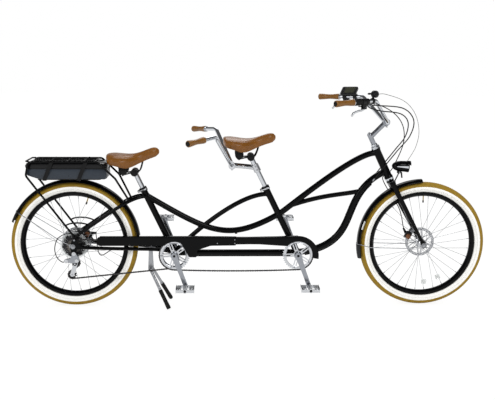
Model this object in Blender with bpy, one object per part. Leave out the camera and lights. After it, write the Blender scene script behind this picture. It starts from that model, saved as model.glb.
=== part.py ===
"""Tandem cruiser bicycle with an electric rear hub, at real size in metres.

+X is forward, +Y is the riders' left and +Z is up. The origin is on the ground, midway between the hubs.
"""
import math

import bmesh
import bpy
from mathutils import Matrix, Vector

LEFT, RIGHT = 1, -1
SIDES = {"left": LEFT, "right": RIGHT}

# Clearances
GAP = 0.0003
SPIN_GAP = 0.0005

# Wheels
TYRE_RADIUS = 0.3395
TYRE_WIDTH = 0.058
RIM_RADIUS = 0.2855
RIM_DEPTH = 0.023
RIM_WIDTH = 0.036
WHEEL_FACETS = 32
HUB_FACETS = 12
SPOKES = 32
SPOKE_RADIUS = 0.0012
SPOKE_STAGGER = 0.0019
ROTOR_RADIUS = 0.080
ROTOR_RING = 0.014
ROTOR_THICKNESS = 0.0018
ROTOR_ARMS = 4
FRONT_FLANGE_RADIUS = 0.024
FRONT_FLANGE_Y = 0.030
FRONT_ROTOR_Y = 0.0405
FRONT_DROPOUT_Y = 0.0505
MOTOR_RADIUS = 0.066
MOTOR_FLANGE_Y = 0.029
FREEWHEEL_SEAT = 0.0170
REAR_ROTOR_Y = 0.0530
REAR_DROPOUT_Y = 0.0675
DROPOUT_THICKNESS = 0.006
AXLE_RADIUS = 0.0048

# Frame
HEAD_ABOVE_TYRE = 0.0665
FORK_OFFSET = 0.0153
HEAD_TILT = math.radians(25.7)
HEAD_LENGTH = 0.182
HEAD_RADIUS = 0.0205
CUP_RADIUS = 0.0235
CUP_HEIGHT = 0.010
STEERER_RADIUS = 0.0127
BRACKET_AHEAD_OF_TYRE = 0.1975
CRANK_SPACING = 0.663
TYRE_AHEAD_OF_BRACKET = 0.3405
BRACKET_DROP = 0.0495
BRACKET_RADIUS = 0.0205
BRACKET_HALF_WIDTH = 0.0365
SPINDLE_RADIUS = 0.0085
CAPTAIN_SEAT_TILT = math.radians(26.0)
CAPTAIN_SEAT_LENGTH = 0.403
STOKER_SEAT_TILT = math.radians(25.4)
STOKER_SEAT_LENGTH = 0.392
POST_RADIUS = 0.0136
SEAT_TUBE_WALL = 0.0034
SEAT_BORE_DEPTH = 0.230
MAIN_TUBE_RADIUS = 0.0160
DOWN_TUBE_RADIUS = 0.0175
BOOM_RADIUS = 0.0168
BRACE_RADIUS = 0.0127
STAY_RADIUS = 0.0095
TOP_TUBE_AT_HEAD = 0.150
DOWN_TUBE_AT_HEAD = 0.043
TOP_TUBE_AT_SEAT = 0.236
STOKER_TUBE_AT_SEAT = 0.358
REAR_TUBE_AT_SEAT = 0.348

# Drivetrain, as distances to the right of the centre plane
CHAIN_PITCH = 0.0127
RING_TEETH = 40
DRIVE_TEETH = 36
SPROCKET_TEETH = (28, 24, 21, 18, 16, 14)
SPROCKET_IN_USE = 3
SPROCKET_STEP = 0.0048
FIRST_SPROCKET = 0.0392
TIMING_LINE = 0.0624
TOOTH_THICKNESS = 0.0018
TOOTH_ABOVE_PITCH = 0.0026
ROOT_BELOW_PITCH = 0.0038
CHAIN_HALF_WIDTH = 0.0033
CHAIN_INNER_HALF_WIDTH = 0.0016
CHAIN_BACK = 0.0054
CHAIN_WEB = 0.0012
CHAIN_SKIRT = 0.0040
PULLEY_TEETH = 11
GUIDE_PULLEY = (0.010, -0.0925)
TENSION_PULLEY = (-0.010, -0.1565)
CRANK_LENGTH = 0.175
CRANK_ANGLE = math.radians(-70)
ARM_THICKNESS = 0.012
RIGHT_ARM_INNER = 0.0740
LEFT_ARM_INNER = 0.0700
GUARD_INNER = 0.0685
GUARD_THICKNESS = 0.0020
PEDAL_LENGTH = 0.100
PEDAL_WIDTH = 0.092
PEDAL_HEIGHT = 0.026
PEDAL_SPINDLE = 0.0048

# Bars and controls
BAR_RADIUS = 0.0111
# The front bar, from the head tube's lower end
BAR_CLAMP_OFFSET = (-0.0271, 0, 0.3023)
BAR_RISE_OFFSET = (-0.1221, 0.197, 0.4253)
BAR_END_OFFSET = (-0.3411, 0.335, 0.4173)
# The stoker's bar, from the captain's bottom bracket
STOKER_CLAMP_OFFSET = (-0.355, 0, 0.476)
STOKER_RISE_OFFSET = (-0.441, 0.225, 0.650)
STOKER_END_OFFSET = (-0.570, 0.400, 0.635)
BAR_CENTRE_HALF = 0.050
BAR_BEND_RADIUS = 0.045
GRIP_WALL = 0.0049
THROTTLE_WALL = 0.0063
GRIP_LENGTH = 0.115
LEFT_GRIP_LENGTH = 0.125
THROTTLE_LENGTH = 0.044
LEVER_LENGTH = 0.118
STEM_CLAMP_WALL = 0.0074
# Places on a grip's bar, as (down, aside, inwards from the bar's end)
LEVER_PIVOT = {LEFT: (0.030, 0, 0.163), RIGHT: (0.030, 0, 0.186)}
LEVER_PIN_RADIUS = 0.0025
SHIFT_PIVOT = (0.024, 0.016, 0.200)
SWITCH_POD = (-0.033, 0.004, 0.2395)

# Seating
SADDLE_LENGTH = 0.268
SADDLE_WIDTH = 0.225
CAPTAIN_POST_REACH = 0.583
STOKER_POST_REACH = 0.488
SADDLE_SETBACK = -0.008
SADDLE_RISE = 0.097
CAPTAIN_SADDLE_TILT = math.radians(3)
STOKER_SADDLE_TILT = math.radians(6)
STOKER_STEM_AT_POST = 0.516

# Rack, battery, fenders and stand
RACK_TUBE_RADIUS = 0.0055
RACK_BESIDE_BATTERY = 0.012
RAIL_ABOVE_TRAY = 0.095
BATTERY_LENGTH = 0.425
BATTERY_WIDTH = 0.148
BATTERY_HEIGHT = 0.090
BATTERY_BEHIND_HUB = 0.236
TRAY_ABOVE_FENDER = 0.0057
TRAY_THICKNESS = 0.004
STRAP_LEAN = 0.42
FENDER_GAP = 0.0135
FENDER_WIDTH = 0.066
FENDER_DROP = 0.014
FENDER_THICKNESS = 0.0018
REAR_FENDER_ARC = (8, 159)
FRONT_FENDER_ARC = (92, 192)
STAND_AHEAD_OF_TYRE = 0.0665
STAND_BELOW_BRACKET = 0.0855
STAND_FOOT = (0.104, 0.100)
STAND_TUBE_RADIUS = 0.0080
STAND_SLEEVE = 0.118
STAND_EAR_Y = 0.020
STAND_BAR_HALF = 0.040

# Lamp and cables
LAMP_RADIUS = 0.031
LAMP_LENGTH = 0.090
LAMP_OFFSET = (0.0569, 0, 0.0653)
LAMP_AIM = (1, 0, -0.05)
CABLE_RADIUS = 0.0025
WIRE_RADIUS = 0.0012

# Places worked out from the sizes above
WHEELBASE = 2 * TYRE_RADIUS + BRACKET_AHEAD_OF_TYRE + CRANK_SPACING + TYRE_AHEAD_OF_BRACKET
REAR_HUB = Vector((-WHEELBASE / 2, 0, TYRE_RADIUS))
FRONT_HUB = Vector((WHEELBASE / 2, 0, TYRE_RADIUS))
BRACKET_HEIGHT = TYRE_RADIUS - BRACKET_DROP
STOKER_BRACKET = Vector((REAR_HUB.x + TYRE_RADIUS + BRACKET_AHEAD_OF_TYRE, 0, BRACKET_HEIGHT))
CAPTAIN_BRACKET = STOKER_BRACKET + Vector((CRANK_SPACING, 0, 0))
STEER_UP = Vector((-math.sin(HEAD_TILT), 0, math.cos(HEAD_TILT)))
STEER_AHEAD = Vector((math.cos(HEAD_TILT), 0, math.sin(HEAD_TILT)))
HEAD_BOTTOM = FRONT_HUB - STEER_AHEAD * FORK_OFFSET + STEER_UP * (TYRE_RADIUS + HEAD_ABOVE_TYRE)
CAPTAIN_UP = Vector((-math.sin(CAPTAIN_SEAT_TILT), 0, math.cos(CAPTAIN_SEAT_TILT)))
STOKER_UP = Vector((-math.sin(STOKER_SEAT_TILT), 0, math.cos(STOKER_SEAT_TILT)))
SEAT_TUBE_RADIUS = POST_RADIUS + SEAT_TUBE_WALL
GRIP_RADIUS = BAR_RADIUS + GRIP_WALL
STEM_CLAMP_RADIUS = BAR_RADIUS + STEM_CLAMP_WALL
BAR_CLAMP = HEAD_BOTTOM + Vector(BAR_CLAMP_OFFSET)
BAR_RISE_CORNER = HEAD_BOTTOM + Vector(BAR_RISE_OFFSET)
BAR_END = HEAD_BOTTOM + Vector(BAR_END_OFFSET)
STOKER_BAR_CLAMP = CAPTAIN_BRACKET + Vector(STOKER_CLAMP_OFFSET)
STOKER_RISE_CORNER = CAPTAIN_BRACKET + Vector(STOKER_RISE_OFFSET)
STOKER_BAR_END = CAPTAIN_BRACKET + Vector(STOKER_END_OFFSET)
LAMP_CENTRE = HEAD_BOTTOM + Vector(LAMP_OFFSET)
FENDER_RADIUS = TYRE_RADIUS + FENDER_GAP
TRAY_TOP = REAR_HUB.z + FENDER_RADIUS + FENDER_THICKNESS + TRAY_ABOVE_FENDER
RACK_RAIL_HEIGHT = TRAY_TOP + RAIL_ABOVE_TRAY
RACK_HALF_WIDTH = BATTERY_WIDTH / 2 + RACK_BESIDE_BATTERY
BATTERY_REAR = REAR_HUB.x - BATTERY_BEHIND_HUB
STAND_X = REAR_HUB.x + TYRE_RADIUS + STAND_AHEAD_OF_TYRE
DRIVE_LINE = FIRST_SPROCKET + SPROCKET_IN_USE * SPROCKET_STEP
RIDERS = {"captain": (CAPTAIN_BRACKET, CAPTAIN_UP, CAPTAIN_SEAT_LENGTH),
          "stoker": (STOKER_BRACKET, STOKER_UP, STOKER_SEAT_LENGTH)}
# Turns a flat outline in local X and Y into the bicycle's side view, with local Z pointing right
SIDE_VIEW = Matrix(((1, 0, 0, 0), (0, 0, -1, 0), (0, 1, 0, 0), (0, 0, 0, 1)))

FINISHES = {
    "black_enamel": ("0b0b0d", 0.0, 0.18),
    "chrome": ("d8dade", 1.0, 0.10),
    "polished_aluminium": ("c4c6c9", 1.0, 0.25),
    "steel": ("8d8f93", 1.0, 0.35),
    "black_plastic": ("141416", 0.0, 0.45),
    "black_rubber": ("191919", 0.0, 0.80),
    "tan_rubber": ("b98a2f", 0.0, 0.75),
    "brown_leather": ("8a5220", 0.0, 0.50),
    "battery_plastic": ("1c2026", 0.0, 0.30),
}


def finish(name):
    """The named finish as a Principled material."""
    if name in bpy.data.materials:
        return bpy.data.materials[name]
    code, metallic, roughness = FINISHES[name]
    material = bpy.data.materials.new(name)
    material.use_nodes = True
    shader = material.node_tree.nodes["Principled BSDF"]
    channels = [int(code[i:i + 2], 16) / 255 for i in (0, 2, 4)]
    shader.inputs["Base Color"].default_value = (*[c ** 2.2 for c in channels], 1)
    shader.inputs["Metallic"].default_value = metallic
    shader.inputs["Roughness"].default_value = roughness
    return material


def solid(bm, place=None, name="piece"):
    """A bmesh made into an object, with doubles merged and faces pointing out."""
    bmesh.ops.remove_doubles(bm, verts=bm.verts, dist=1e-6)
    bmesh.ops.recalc_face_normals(bm, faces=bm.faces)
    mesh = bpy.data.meshes.new(name)
    bm.to_mesh(mesh)
    bm.free()
    if place is not None:
        mesh.transform(place)
        if place.determinant() < 0:
            mesh.flip_normals()
    obj = bpy.data.objects.new(name, mesh)
    bpy.context.scene.collection.objects.link(obj)
    return obj


def bake(obj):
    """Replaces an object's mesh by the one its modifiers give."""
    depsgraph = bpy.context.evaluated_depsgraph_get()
    mesh = bpy.data.meshes.new_from_object(obj.evaluated_get(depsgraph))
    obj.modifiers.clear()
    obj.data = mesh


def combine(target, tool, operation, solver="EXACT"):
    """A Boolean of the tool on the target, applied at once."""
    modifier = target.modifiers.new("combine", "BOOLEAN")
    modifier.operation = operation
    modifier.solver = solver
    modifier.object = tool
    bake(target)
    bpy.data.objects.remove(tool)
    return target


def fuse(target, *tools, solver="EXACT"):
    for tool in tools:
        combine(target, tool, "UNION", solver)
    return target


def cut(target, *tools, solver="EXACT"):
    for tool in tools:
        combine(target, tool, "DIFFERENCE", solver)
    return target


def named(obj, name, finish_name, smooth_angle=math.radians(40)):
    """Gives a finished piece its name, finish and shading."""
    obj.name = name
    obj.data.name = name
    obj.data.materials.clear()
    obj.data.materials.append(finish(finish_name))
    obj.data.shade_smooth()
    obj.data.set_sharp_from_angle(angle=smooth_angle)
    return obj


def aim(origin, along, across=(0, 1, 0)):
    """A frame at origin whose Z runs along one direction and whose X is nearest to across."""
    z = Vector(along).normalized()
    x = Vector(across) - z * z.dot(Vector(across))
    x.normalize()
    y = z.cross(x)
    matrix = Matrix((x, y, z)).transposed().to_4x4()
    matrix.translation = Vector(origin)
    return matrix


def turned(profile, facets, place, loop=True):
    """A profile of (radius, height) pairs spun about local Z. An open one ends on the axis."""
    bm = bmesh.new()
    verts = [bm.verts.new((radius, 0, height)) for radius, height in profile]
    pairs = list(zip(verts, verts[1:]))
    if loop:
        pairs.append((verts[-1], verts[0]))
    edges = [bm.edges.new(pair) for pair in pairs]
    bmesh.ops.spin(bm, geom=verts + edges, cent=(0, 0, 0), axis=(0, 0, 1), angle=2 * math.pi,
                   steps=facets, use_merge=True)
    return solid(bm, place)


def rod(start, end, radius, facets=10, end_radius=None):
    """A round bar, or a cone, between two points."""
    start, end = Vector(start), Vector(end)
    bm = bmesh.new()
    bmesh.ops.create_cone(bm, cap_ends=True, segments=facets, radius1=radius,
                          radius2=end_radius or radius, depth=(end - start).length)
    across = (0, 0, 1) if abs((end - start).normalized().y) > 0.9 else (0, 1, 0)
    return solid(bm, aim((start + end) / 2, end - start, across))


def prism(outline, low, high, place):
    """A flat outline in local X and Y, thick from low to high along local Z."""
    bm = bmesh.new()
    rings = [[bm.verts.new((x, y, z)) for x, y in outline] for z in (low, high)]
    bm.faces.new(rings[0])
    bm.faces.new(rings[1])
    count = len(outline)
    for i in range(count):
        j = (i + 1) % count
        bm.faces.new((rings[0][i], rings[0][j], rings[1][j], rings[1][i]))
    return solid(bm, place)


def block(centre, size, place=None, bevel=0.0):
    """A box, with its edges rounded where bevel is given."""
    bm = bmesh.new()
    bmesh.ops.create_cube(bm, size=1)
    bmesh.ops.scale(bm, vec=size, verts=bm.verts)
    if bevel:
        bmesh.ops.bevel(bm, geom=bm.edges, offset=bevel, segments=1, affect="EDGES", profile=0.5)
    bmesh.ops.translate(bm, vec=centre, verts=bm.verts)
    return solid(bm, place)


def circle(centre, radius, count, first=0.0, last=360.0):
    """Points on an arc, with both ends unless it is a full turn."""
    steps = count if last - first == 360.0 else count - 1
    angles = [math.radians(first + (last - first) * i / steps) for i in range(count)]
    return [(centre[0] + radius * math.cos(a), centre[1] + radius * math.sin(a)) for a in angles]


def capsule(start, end, radius_start, radius_end, count=6):
    """A flat link outline: two round ends joined by straight sides."""
    angle = math.degrees(math.atan2(end[1] - start[1], end[0] - start[0]))
    return (circle(start, radius_start, count, angle + 90, angle + 270)
            + circle(end, radius_end, count, angle - 90, angle + 90))


def tube(points, radius, level=2, radii=None):
    """A round tube along points, from a bevelled curve with filled caps."""
    curve = bpy.data.curves.new("tube", "CURVE")
    curve.dimensions = "3D"
    curve.bevel_depth = radius
    curve.bevel_resolution = level
    curve.use_fill_caps = True
    spline = curve.splines.new("POLY")
    spline.points.add(len(points) - 1)
    for index, position in enumerate(points):
        spline.points[index].co = (*position, 1)
        if radii:
            spline.points[index].radius = radii[index] / radius
    guide = bpy.data.objects.new("tube", curve)
    bpy.context.scene.collection.objects.link(guide)
    depsgraph = bpy.context.evaluated_depsgraph_get()
    bm = bmesh.new()
    bm.from_mesh(bpy.data.meshes.new_from_object(guide.evaluated_get(depsgraph)))
    bpy.data.objects.remove(guide)
    return solid(bm)


def bezier(start, start_handle, end_handle, end, steps):
    """Points on a cubic curve. The handles are offsets from their own ends."""
    a, d = Vector(start), Vector(end)
    b, c = a + Vector(start_handle), d + Vector(end_handle)
    points = []
    for i in range(steps + 1):
        t = i / steps
        points.append(a * (1 - t) ** 3 + b * 3 * t * (1 - t) ** 2 + c * 3 * t * t * (1 - t) + d * t ** 3)
    return points


def through(route, steps):
    """A smooth curve through every point of a route."""
    route = [Vector(p) for p in route]
    ends = [route[0] * 2 - route[1], *route, route[-1] * 2 - route[-2]]
    points = []
    for p0, p1, p2, p3 in zip(ends, ends[1:], ends[2:], ends[3:]):
        for i in range(steps):
            t = i / steps
            points.append((p1 * 2 + (p2 - p0) * t + (p0 * 2 - p1 * 5 + p2 * 4 - p3) * t * t
                           + (p1 * 3 - p0 - p2 * 3 + p3) * t ** 3) / 2)
    return [*points, route[-1]]


def bent(corners, radius, steps=2):
    """Straight runs between corners, with each inner corner rounded to a bend radius."""
    corners = [Vector(p) for p in corners]
    points = [corners[0]]
    for before, corner, after in zip(corners, corners[1:], corners[2:]):
        inward, outward = (before - corner).normalized(), (after - corner).normalized()
        half = inward.angle(outward) / 2
        reach = radius / math.tan(half)
        centre = corner + (inward + outward).normalized() * (radius / math.sin(half))
        first, last = corner + inward * reach - centre, corner + outward * reach - centre
        sweep = first.angle(last)
        for i in range(steps + 1):
            t = i / steps
            points.append(centre + (first * math.sin((1 - t) * sweep) + last * math.sin(t * sweep))
                          / math.sin(sweep))
    return [*points, corners[-1]]


def mirrored(points):
    """The left half's points joined to their reflection, as one run from right to left."""
    return [Vector((p.x, -p.y, p.z)) for p in reversed(points)] + list(points[1:])


def bore_for(radius, facets, clearance=GAP):
    """Radius of a faceted bore whose flats clear a round bar by the clearance."""
    return (radius + clearance) / math.cos(math.pi / facets)


def pitch_radius(teeth):
    return CHAIN_PITCH / (2 * math.sin(math.pi / teeth))


def toothed_outline(teeth):
    """A sprocket's outline: one valley for each roller and a tip between two rollers."""
    root = pitch_radius(teeth) - ROOT_BELOW_PITCH
    tip = pitch_radius(teeth) + TOOTH_ABOVE_PITCH
    step = 2 * math.pi / teeth
    return [(radius * math.cos((i + share) * step), radius * math.sin((i + share) * step))
            for i in range(teeth) for share, radius in ((0, root), (0.5, tip))]


def at_side(centre, right=0.0):
    """The side view placed at a point, with local Z counted to the right of the centre plane."""
    return Matrix.Translation((centre[0], -right, centre[2])) @ SIDE_VIEW


def toothed_disc(teeth, line, centre):
    half = TOOTH_THICKNESS / 2
    return prism(toothed_outline(teeth), line - half, line + half, at_side(centre))


def across(centre, low, high, radius, facets=12):
    """A round bar across the bicycle, from low to high along +Y."""
    return rod((centre[0], low, centre[2]), (centre[0], high, centre[2]), radius, facets)


def frame_paths():
    """Centre lines of the main tubes, from the head tube back to the stoker's seat tube."""
    head_top = HEAD_BOTTOM + STEER_UP * TOP_TUBE_AT_HEAD
    head_low = HEAD_BOTTOM + STEER_UP * DOWN_TUBE_AT_HEAD
    seat_joint = CAPTAIN_BRACKET + CAPTAIN_UP * TOP_TUBE_AT_SEAT
    stoker_joint = CAPTAIN_BRACKET + CAPTAIN_UP * STOKER_TUBE_AT_SEAT
    rear_joint = STOKER_BRACKET + STOKER_UP * REAR_TUBE_AT_SEAT
    paths = {
        "top": bezier(head_top, (-0.099, 0, 0.029), (0.028, 0, 0.011), seat_joint, 7),
        "down": bezier(head_low, (-0.284, 0, -0.135), (0.379, 0, 0.048), CAPTAIN_BRACKET, 11),
        "rear": bezier(seat_joint, (-0.277, 0, -0.159), (0.336, 0, -0.199), rear_joint, 10),
        "stoker": bezier(stoker_joint, (-0.175, 0, 0.013), (0.008, 0, 0.027), STOKER_BRACKET, 8),
    }
    brace_start = paths["down"][2].lerp(paths["down"][3], 0.5)
    brace_end = paths["top"][5].lerp(paths["top"][6], 0.5)
    paths["brace"] = bezier(brace_start, (-0.109, 0, -0.023), (0.180, 0, 0.062), brace_end, 5)
    return paths


def seat_tube_cutter(bracket, up, length):
    return rod(bracket - up * 0.04, bracket + up * (length + 0.02), SEAT_TUBE_RADIUS + GAP, 12)


def bracket_cutter(bracket):
    return across(bracket, -BRACKET_HALF_WIDTH, BRACKET_HALF_WIDTH, BRACKET_RADIUS + GAP, 16)


def captain_cutters():
    return (seat_tube_cutter(CAPTAIN_BRACKET, CAPTAIN_UP, CAPTAIN_SEAT_LENGTH),)


def stoker_cutters():
    return (seat_tube_cutter(STOKER_BRACKET, STOKER_UP, STOKER_SEAT_LENGTH), bracket_cutter(STOKER_BRACKET))


def boom_path():
    overlap = Vector((0.007, 0, 0))
    return [CAPTAIN_BRACKET + overlap, (CAPTAIN_BRACKET + STOKER_BRACKET) / 2, STOKER_BRACKET]


def build_head_tube():
    """Head tube with the headset's cups, bored for the steerer."""
    bore = bore_for(STEERER_RADIUS, 12)
    top = HEAD_LENGTH
    profile = [(bore, top + CUP_HEIGHT), (CUP_RADIUS, top + CUP_HEIGHT), (CUP_RADIUS, top - 0.003),
               (HEAD_RADIUS, top - 0.005), (HEAD_RADIUS, 0.005), (CUP_RADIUS, 0.003),
               (CUP_RADIUS, -CUP_HEIGHT), (bore, -CUP_HEIGHT)]
    return named(turned(profile, 12, aim(HEAD_BOTTOM, STEER_UP)), "head_tube", "black_enamel")


def head_cutter():
    return rod(HEAD_BOTTOM, HEAD_BOTTOM + STEER_UP * HEAD_LENGTH, HEAD_RADIUS + GAP, 12)


def build_main_tubes(paths):
    top = tube(paths["top"], MAIN_TUBE_RADIUS)
    fuse(top, tube(paths["brace"], BRACE_RADIUS))
    cut(top, head_cutter(), tube(paths["down"], DOWN_TUBE_RADIUS + GAP), *captain_cutters())
    named(top, "top_tube", "black_enamel")

    rear = tube(paths["rear"], MAIN_TUBE_RADIUS)
    fuse(rear, tube(paths["stoker"], BRACE_RADIUS))
    cut(rear, *captain_cutters(), *stoker_cutters(), tube(boom_path(), BOOM_RADIUS + GAP))
    named(rear, "stoker_tubes", "black_enamel")

    down = tube(paths["down"], DOWN_TUBE_RADIUS)
    fuse(down, tube(boom_path(), BOOM_RADIUS),
         across(CAPTAIN_BRACKET, -BRACKET_HALF_WIDTH, BRACKET_HALF_WIDTH, BRACKET_RADIUS, 16),
         solver="MANIFOLD")
    cut(down, head_cutter(), *stoker_cutters(),
        across(CAPTAIN_BRACKET, -0.1, 0.1, bore_for(SPINDLE_RADIUS, 12), 12), solver="MANIFOLD")
    named(down, "down_tube", "black_enamel")


def build_seat_tube(name, bracket, up, length, with_shell):
    """Seat tube, bored for its post, with the clamp collar round its top."""
    top = bracket + up * length
    seat_tube = rod(bracket, top, SEAT_TUBE_RADIUS, 12)
    fuse(seat_tube, rod(top - up * 0.018, top + up * 0.004, SEAT_TUBE_RADIUS + 0.004, 12))
    ear = block((0, 0, 0), (0.022, 0.014, 0.014), aim(top - up * 0.007 + ear_offset(up), up))
    fuse(seat_tube, ear)
    if with_shell:
        fuse(seat_tube, across(bracket, -BRACKET_HALF_WIDTH, BRACKET_HALF_WIDTH, BRACKET_RADIUS, 16))
        cut(seat_tube, across(bracket, -0.1, 0.1, bore_for(SPINDLE_RADIUS, 12), 12))
    else:
        cut(seat_tube, bracket_cutter(bracket), tube(boom_path(), BOOM_RADIUS + GAP),
            tube(frame_paths()["down"], DOWN_TUBE_RADIUS + GAP), solver="MANIFOLD")
    cut(seat_tube, rod(top - up * SEAT_BORE_DEPTH, top + up * 0.05, POST_RADIUS + GAP, 12), solver="MANIFOLD")
    return named(seat_tube, name, "black_enamel")


def behind(up):
    """The rearward direction square to a seat tube."""
    return Vector((-up.z, 0, up.x))


def ear_offset(up):
    return behind(up) * (SEAT_TUBE_RADIUS + 0.009)


def clamp_pivot(bracket, up, length):
    """Where a quick-release lever's cam turns, beside the collar's ear on the right."""
    return bracket + up * (length - 0.007) + ear_offset(up) + Vector((0, -0.0155, 0))


def build_clamp_lever(name, pivot, up):
    """Quick-release lever: a cam barrel with a tapered handle that lies forward, outside the collar."""
    ahead = -behind(up)
    place = aim(pivot, up, ahead)
    handle = prism(capsule((0.003, -0.002), (0.044, -0.0276), 0.0030, 0.0050, 4), -0.004, 0.004, place)
    barrel = [(0, 0.0055), (0.0042, 0.0055), (0.0042, -0.0055), (0, -0.0055)]
    lever = fuse(turned(barrel, 8, place, loop=False), handle)
    return named(lever, name, "chrome")


def seat_stay_path(side):
    top = STOKER_BRACKET + STOKER_UP * REAR_TUBE_AT_SEAT + Vector((0, side * 0.018, -0.002))
    end = REAR_HUB + Vector((0.012, side * (REAR_DROPOUT_Y + DROPOUT_THICKNESS / 2), 0.054))
    return bezier(top, (-0.090, side * 0.050, 0.004), (0.180, -side * 0.006, 0.118), end, 7)


def chain_stay_path(side):
    start = STOKER_BRACKET + Vector((-0.004, side * 0.022, 0))
    end = REAR_HUB + Vector((0.050, side * (REAR_DROPOUT_Y + DROPOUT_THICKNESS / 2), -0.004))
    return bezier(start, (-0.060, side * 0.006, 0.038), (0.300, -side * 0.022, -0.022), end, 6)


def build_seat_stays():
    """Twin stays from the stoker's seat tube to the dropouts, with the fender's bridge between them."""
    stays = tube(seat_stay_path(LEFT), STAY_RADIUS)
    reach = FENDER_RADIUS + FENDER_THICKNESS + GAP + 0.006
    above = [p for p in bezier_fine(seat_stay_path(RIGHT)) if (p - side_hub(p)).length > reach]
    point = min(above, key=lambda p: (p - side_hub(p)).length)
    fuse(stays, rod((point.x, point.y, point.z), (point.x, -point.y, point.z), 0.006, 8),
         tube(seat_stay_path(RIGHT), STAY_RADIUS, 2))
    cut(stays, *stoker_cutters(), tube(frame_paths()["rear"], MAIN_TUBE_RADIUS + GAP))
    return named(stays, "seat_stays", "black_enamel")


def bezier_fine(points, parts=100):
    """Closely spaced points along a run of straight pieces."""
    return [a.lerp(b, i / parts) for a, b in zip(points, points[1:]) for i in range(parts)]


def side_hub(point):
    """The rear hub moved sideways to a point's own plane."""
    return Vector((REAR_HUB.x, point.y, REAR_HUB.z))


def dropout(side):
    """A rear dropout plate, with the derailleur's hanger on the right one."""
    outline = [(0.060, -0.011), (0.060, 0.004), (0.026, 0.014), (0.023, 0.048), (0.004, 0.048),
               (-0.012, 0.016), (-0.016, -0.006)]
    outline += [(-0.004, -0.042), (0.012, -0.044), (0.022, -0.016)] if side == RIGHT else [(-0.006, -0.018)]
    low, high = REAR_DROPOUT_Y, REAR_DROPOUT_Y + DROPOUT_THICKNESS
    if side == LEFT:
        low, high = -high, -low
    return prism(outline, low, high, at_side(REAR_HUB))


def stand_pivot():
    return Vector((STAND_X, 0, BRACKET_HEIGHT - STAND_BELOW_BRACKET))


def build_chain_stays():
    """Chain stays with their dropouts, the rear axle, the stand's bracket and its ears."""
    stays = tube(chain_stay_path(LEFT), STAY_RADIUS, 2)
    pivot = stand_pivot()
    bridge_z = min(bezier_fine(chain_stay_path(LEFT)), key=lambda p: abs(p.x - pivot.x)).z
    reach = REAR_DROPOUT_Y + DROPOUT_THICKNESS
    pieces = [tube(chain_stay_path(RIGHT), STAY_RADIUS, 2), dropout(LEFT), dropout(RIGHT),
              block((pivot.x, 0, bridge_z - 0.006), (0.050, 0.064, 0.009)),
              across(REAR_HUB, -reach - 0.010, reach + 0.010, AXLE_RADIUS, 10),
              across(REAR_HUB, -reach - 0.007, -reach + 0.001, 0.0095, 6),
              across(REAR_HUB, reach - 0.001, reach + 0.007, 0.0095, 6)]
    for side in (LEFT, RIGHT):
        ear = prism(capsule((0, 0), (0, bridge_z - pivot.z - 0.004), 0.014, 0.016, 4),
                    side * STAND_EAR_Y - 0.003, side * STAND_EAR_Y + 0.003, at_side(pivot))
        pieces.append(ear)
    fuse(stays, *pieces)
    cut(stays, *stoker_cutters(), across(pivot, -0.1, 0.1, bore_for(STAND_TUBE_RADIUS, 10), 10))
    for side in (LEFT, RIGHT):
        cut(stays, tube(seat_stay_path(side), STAY_RADIUS + GAP, 2))
    return named(stays, "chain_stays", "black_enamel")


def build_stand():
    """Centre stand: a pivot bar with two splayed legs in long rubber sleeves."""
    pivot = stand_pivot()
    stand = across(pivot, -STAND_BAR_HALF, STAND_BAR_HALF, STAND_TUBE_RADIUS, 10)
    for side in (LEFT, RIGHT):
        hip = pivot + Vector((0, side * (STAND_BAR_HALF - 0.004), 0))
        foot = Vector((pivot.x + STAND_FOOT[0], side * STAND_FOOT[1], 0))
        down = (foot - hip).normalized()
        shoe = rod(foot - down * STAND_SLEEVE, foot + down * 0.012, 0.0115, 8)
        fuse(stand, rod(hip, foot, STAND_TUBE_RADIUS, 8), shoe)
    cut(stand, block((pivot.x, 0, -0.05), (0.6, 0.6, 0.1)))
    return named(stand, "centre_stand", "steel")


def tyre_profile():
    """Tyre section as (radius, height): a round carcass closed across the rim's well."""
    half = TYRE_WIDTH / 2
    middle = (TYRE_RADIUS + RIM_RADIUS) / 2
    rise = TYRE_RADIUS - middle
    seat = RIM_RADIUS + GAP
    crown = [(middle + rise * math.sin(math.radians(a)), half * math.cos(math.radians(a)))
             for a in (90, 50, 12, -36)]
    lower = [(radius, -height) for radius, height in crown[1:]]
    bead = RIM_WIDTH / 2 - 0.002
    return [*reversed(crown), *lower, (seat, -bead), (seat, bead)]


def rim_profile():
    half = RIM_WIDTH / 2
    inner = RIM_RADIUS - RIM_DEPTH
    return [(RIM_RADIUS, half), (RIM_RADIUS, -half), (RIM_RADIUS - 0.011, -half), (inner, -half * 0.45),
            (inner, half * 0.45), (RIM_RADIUS - 0.011, half)]


def wheel_place(hub):
    """Local Z along the bicycle's +Y, with a facet corner straight below the hub."""
    return aim(hub, (0, 1, 0), (0, 0, -1))


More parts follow.
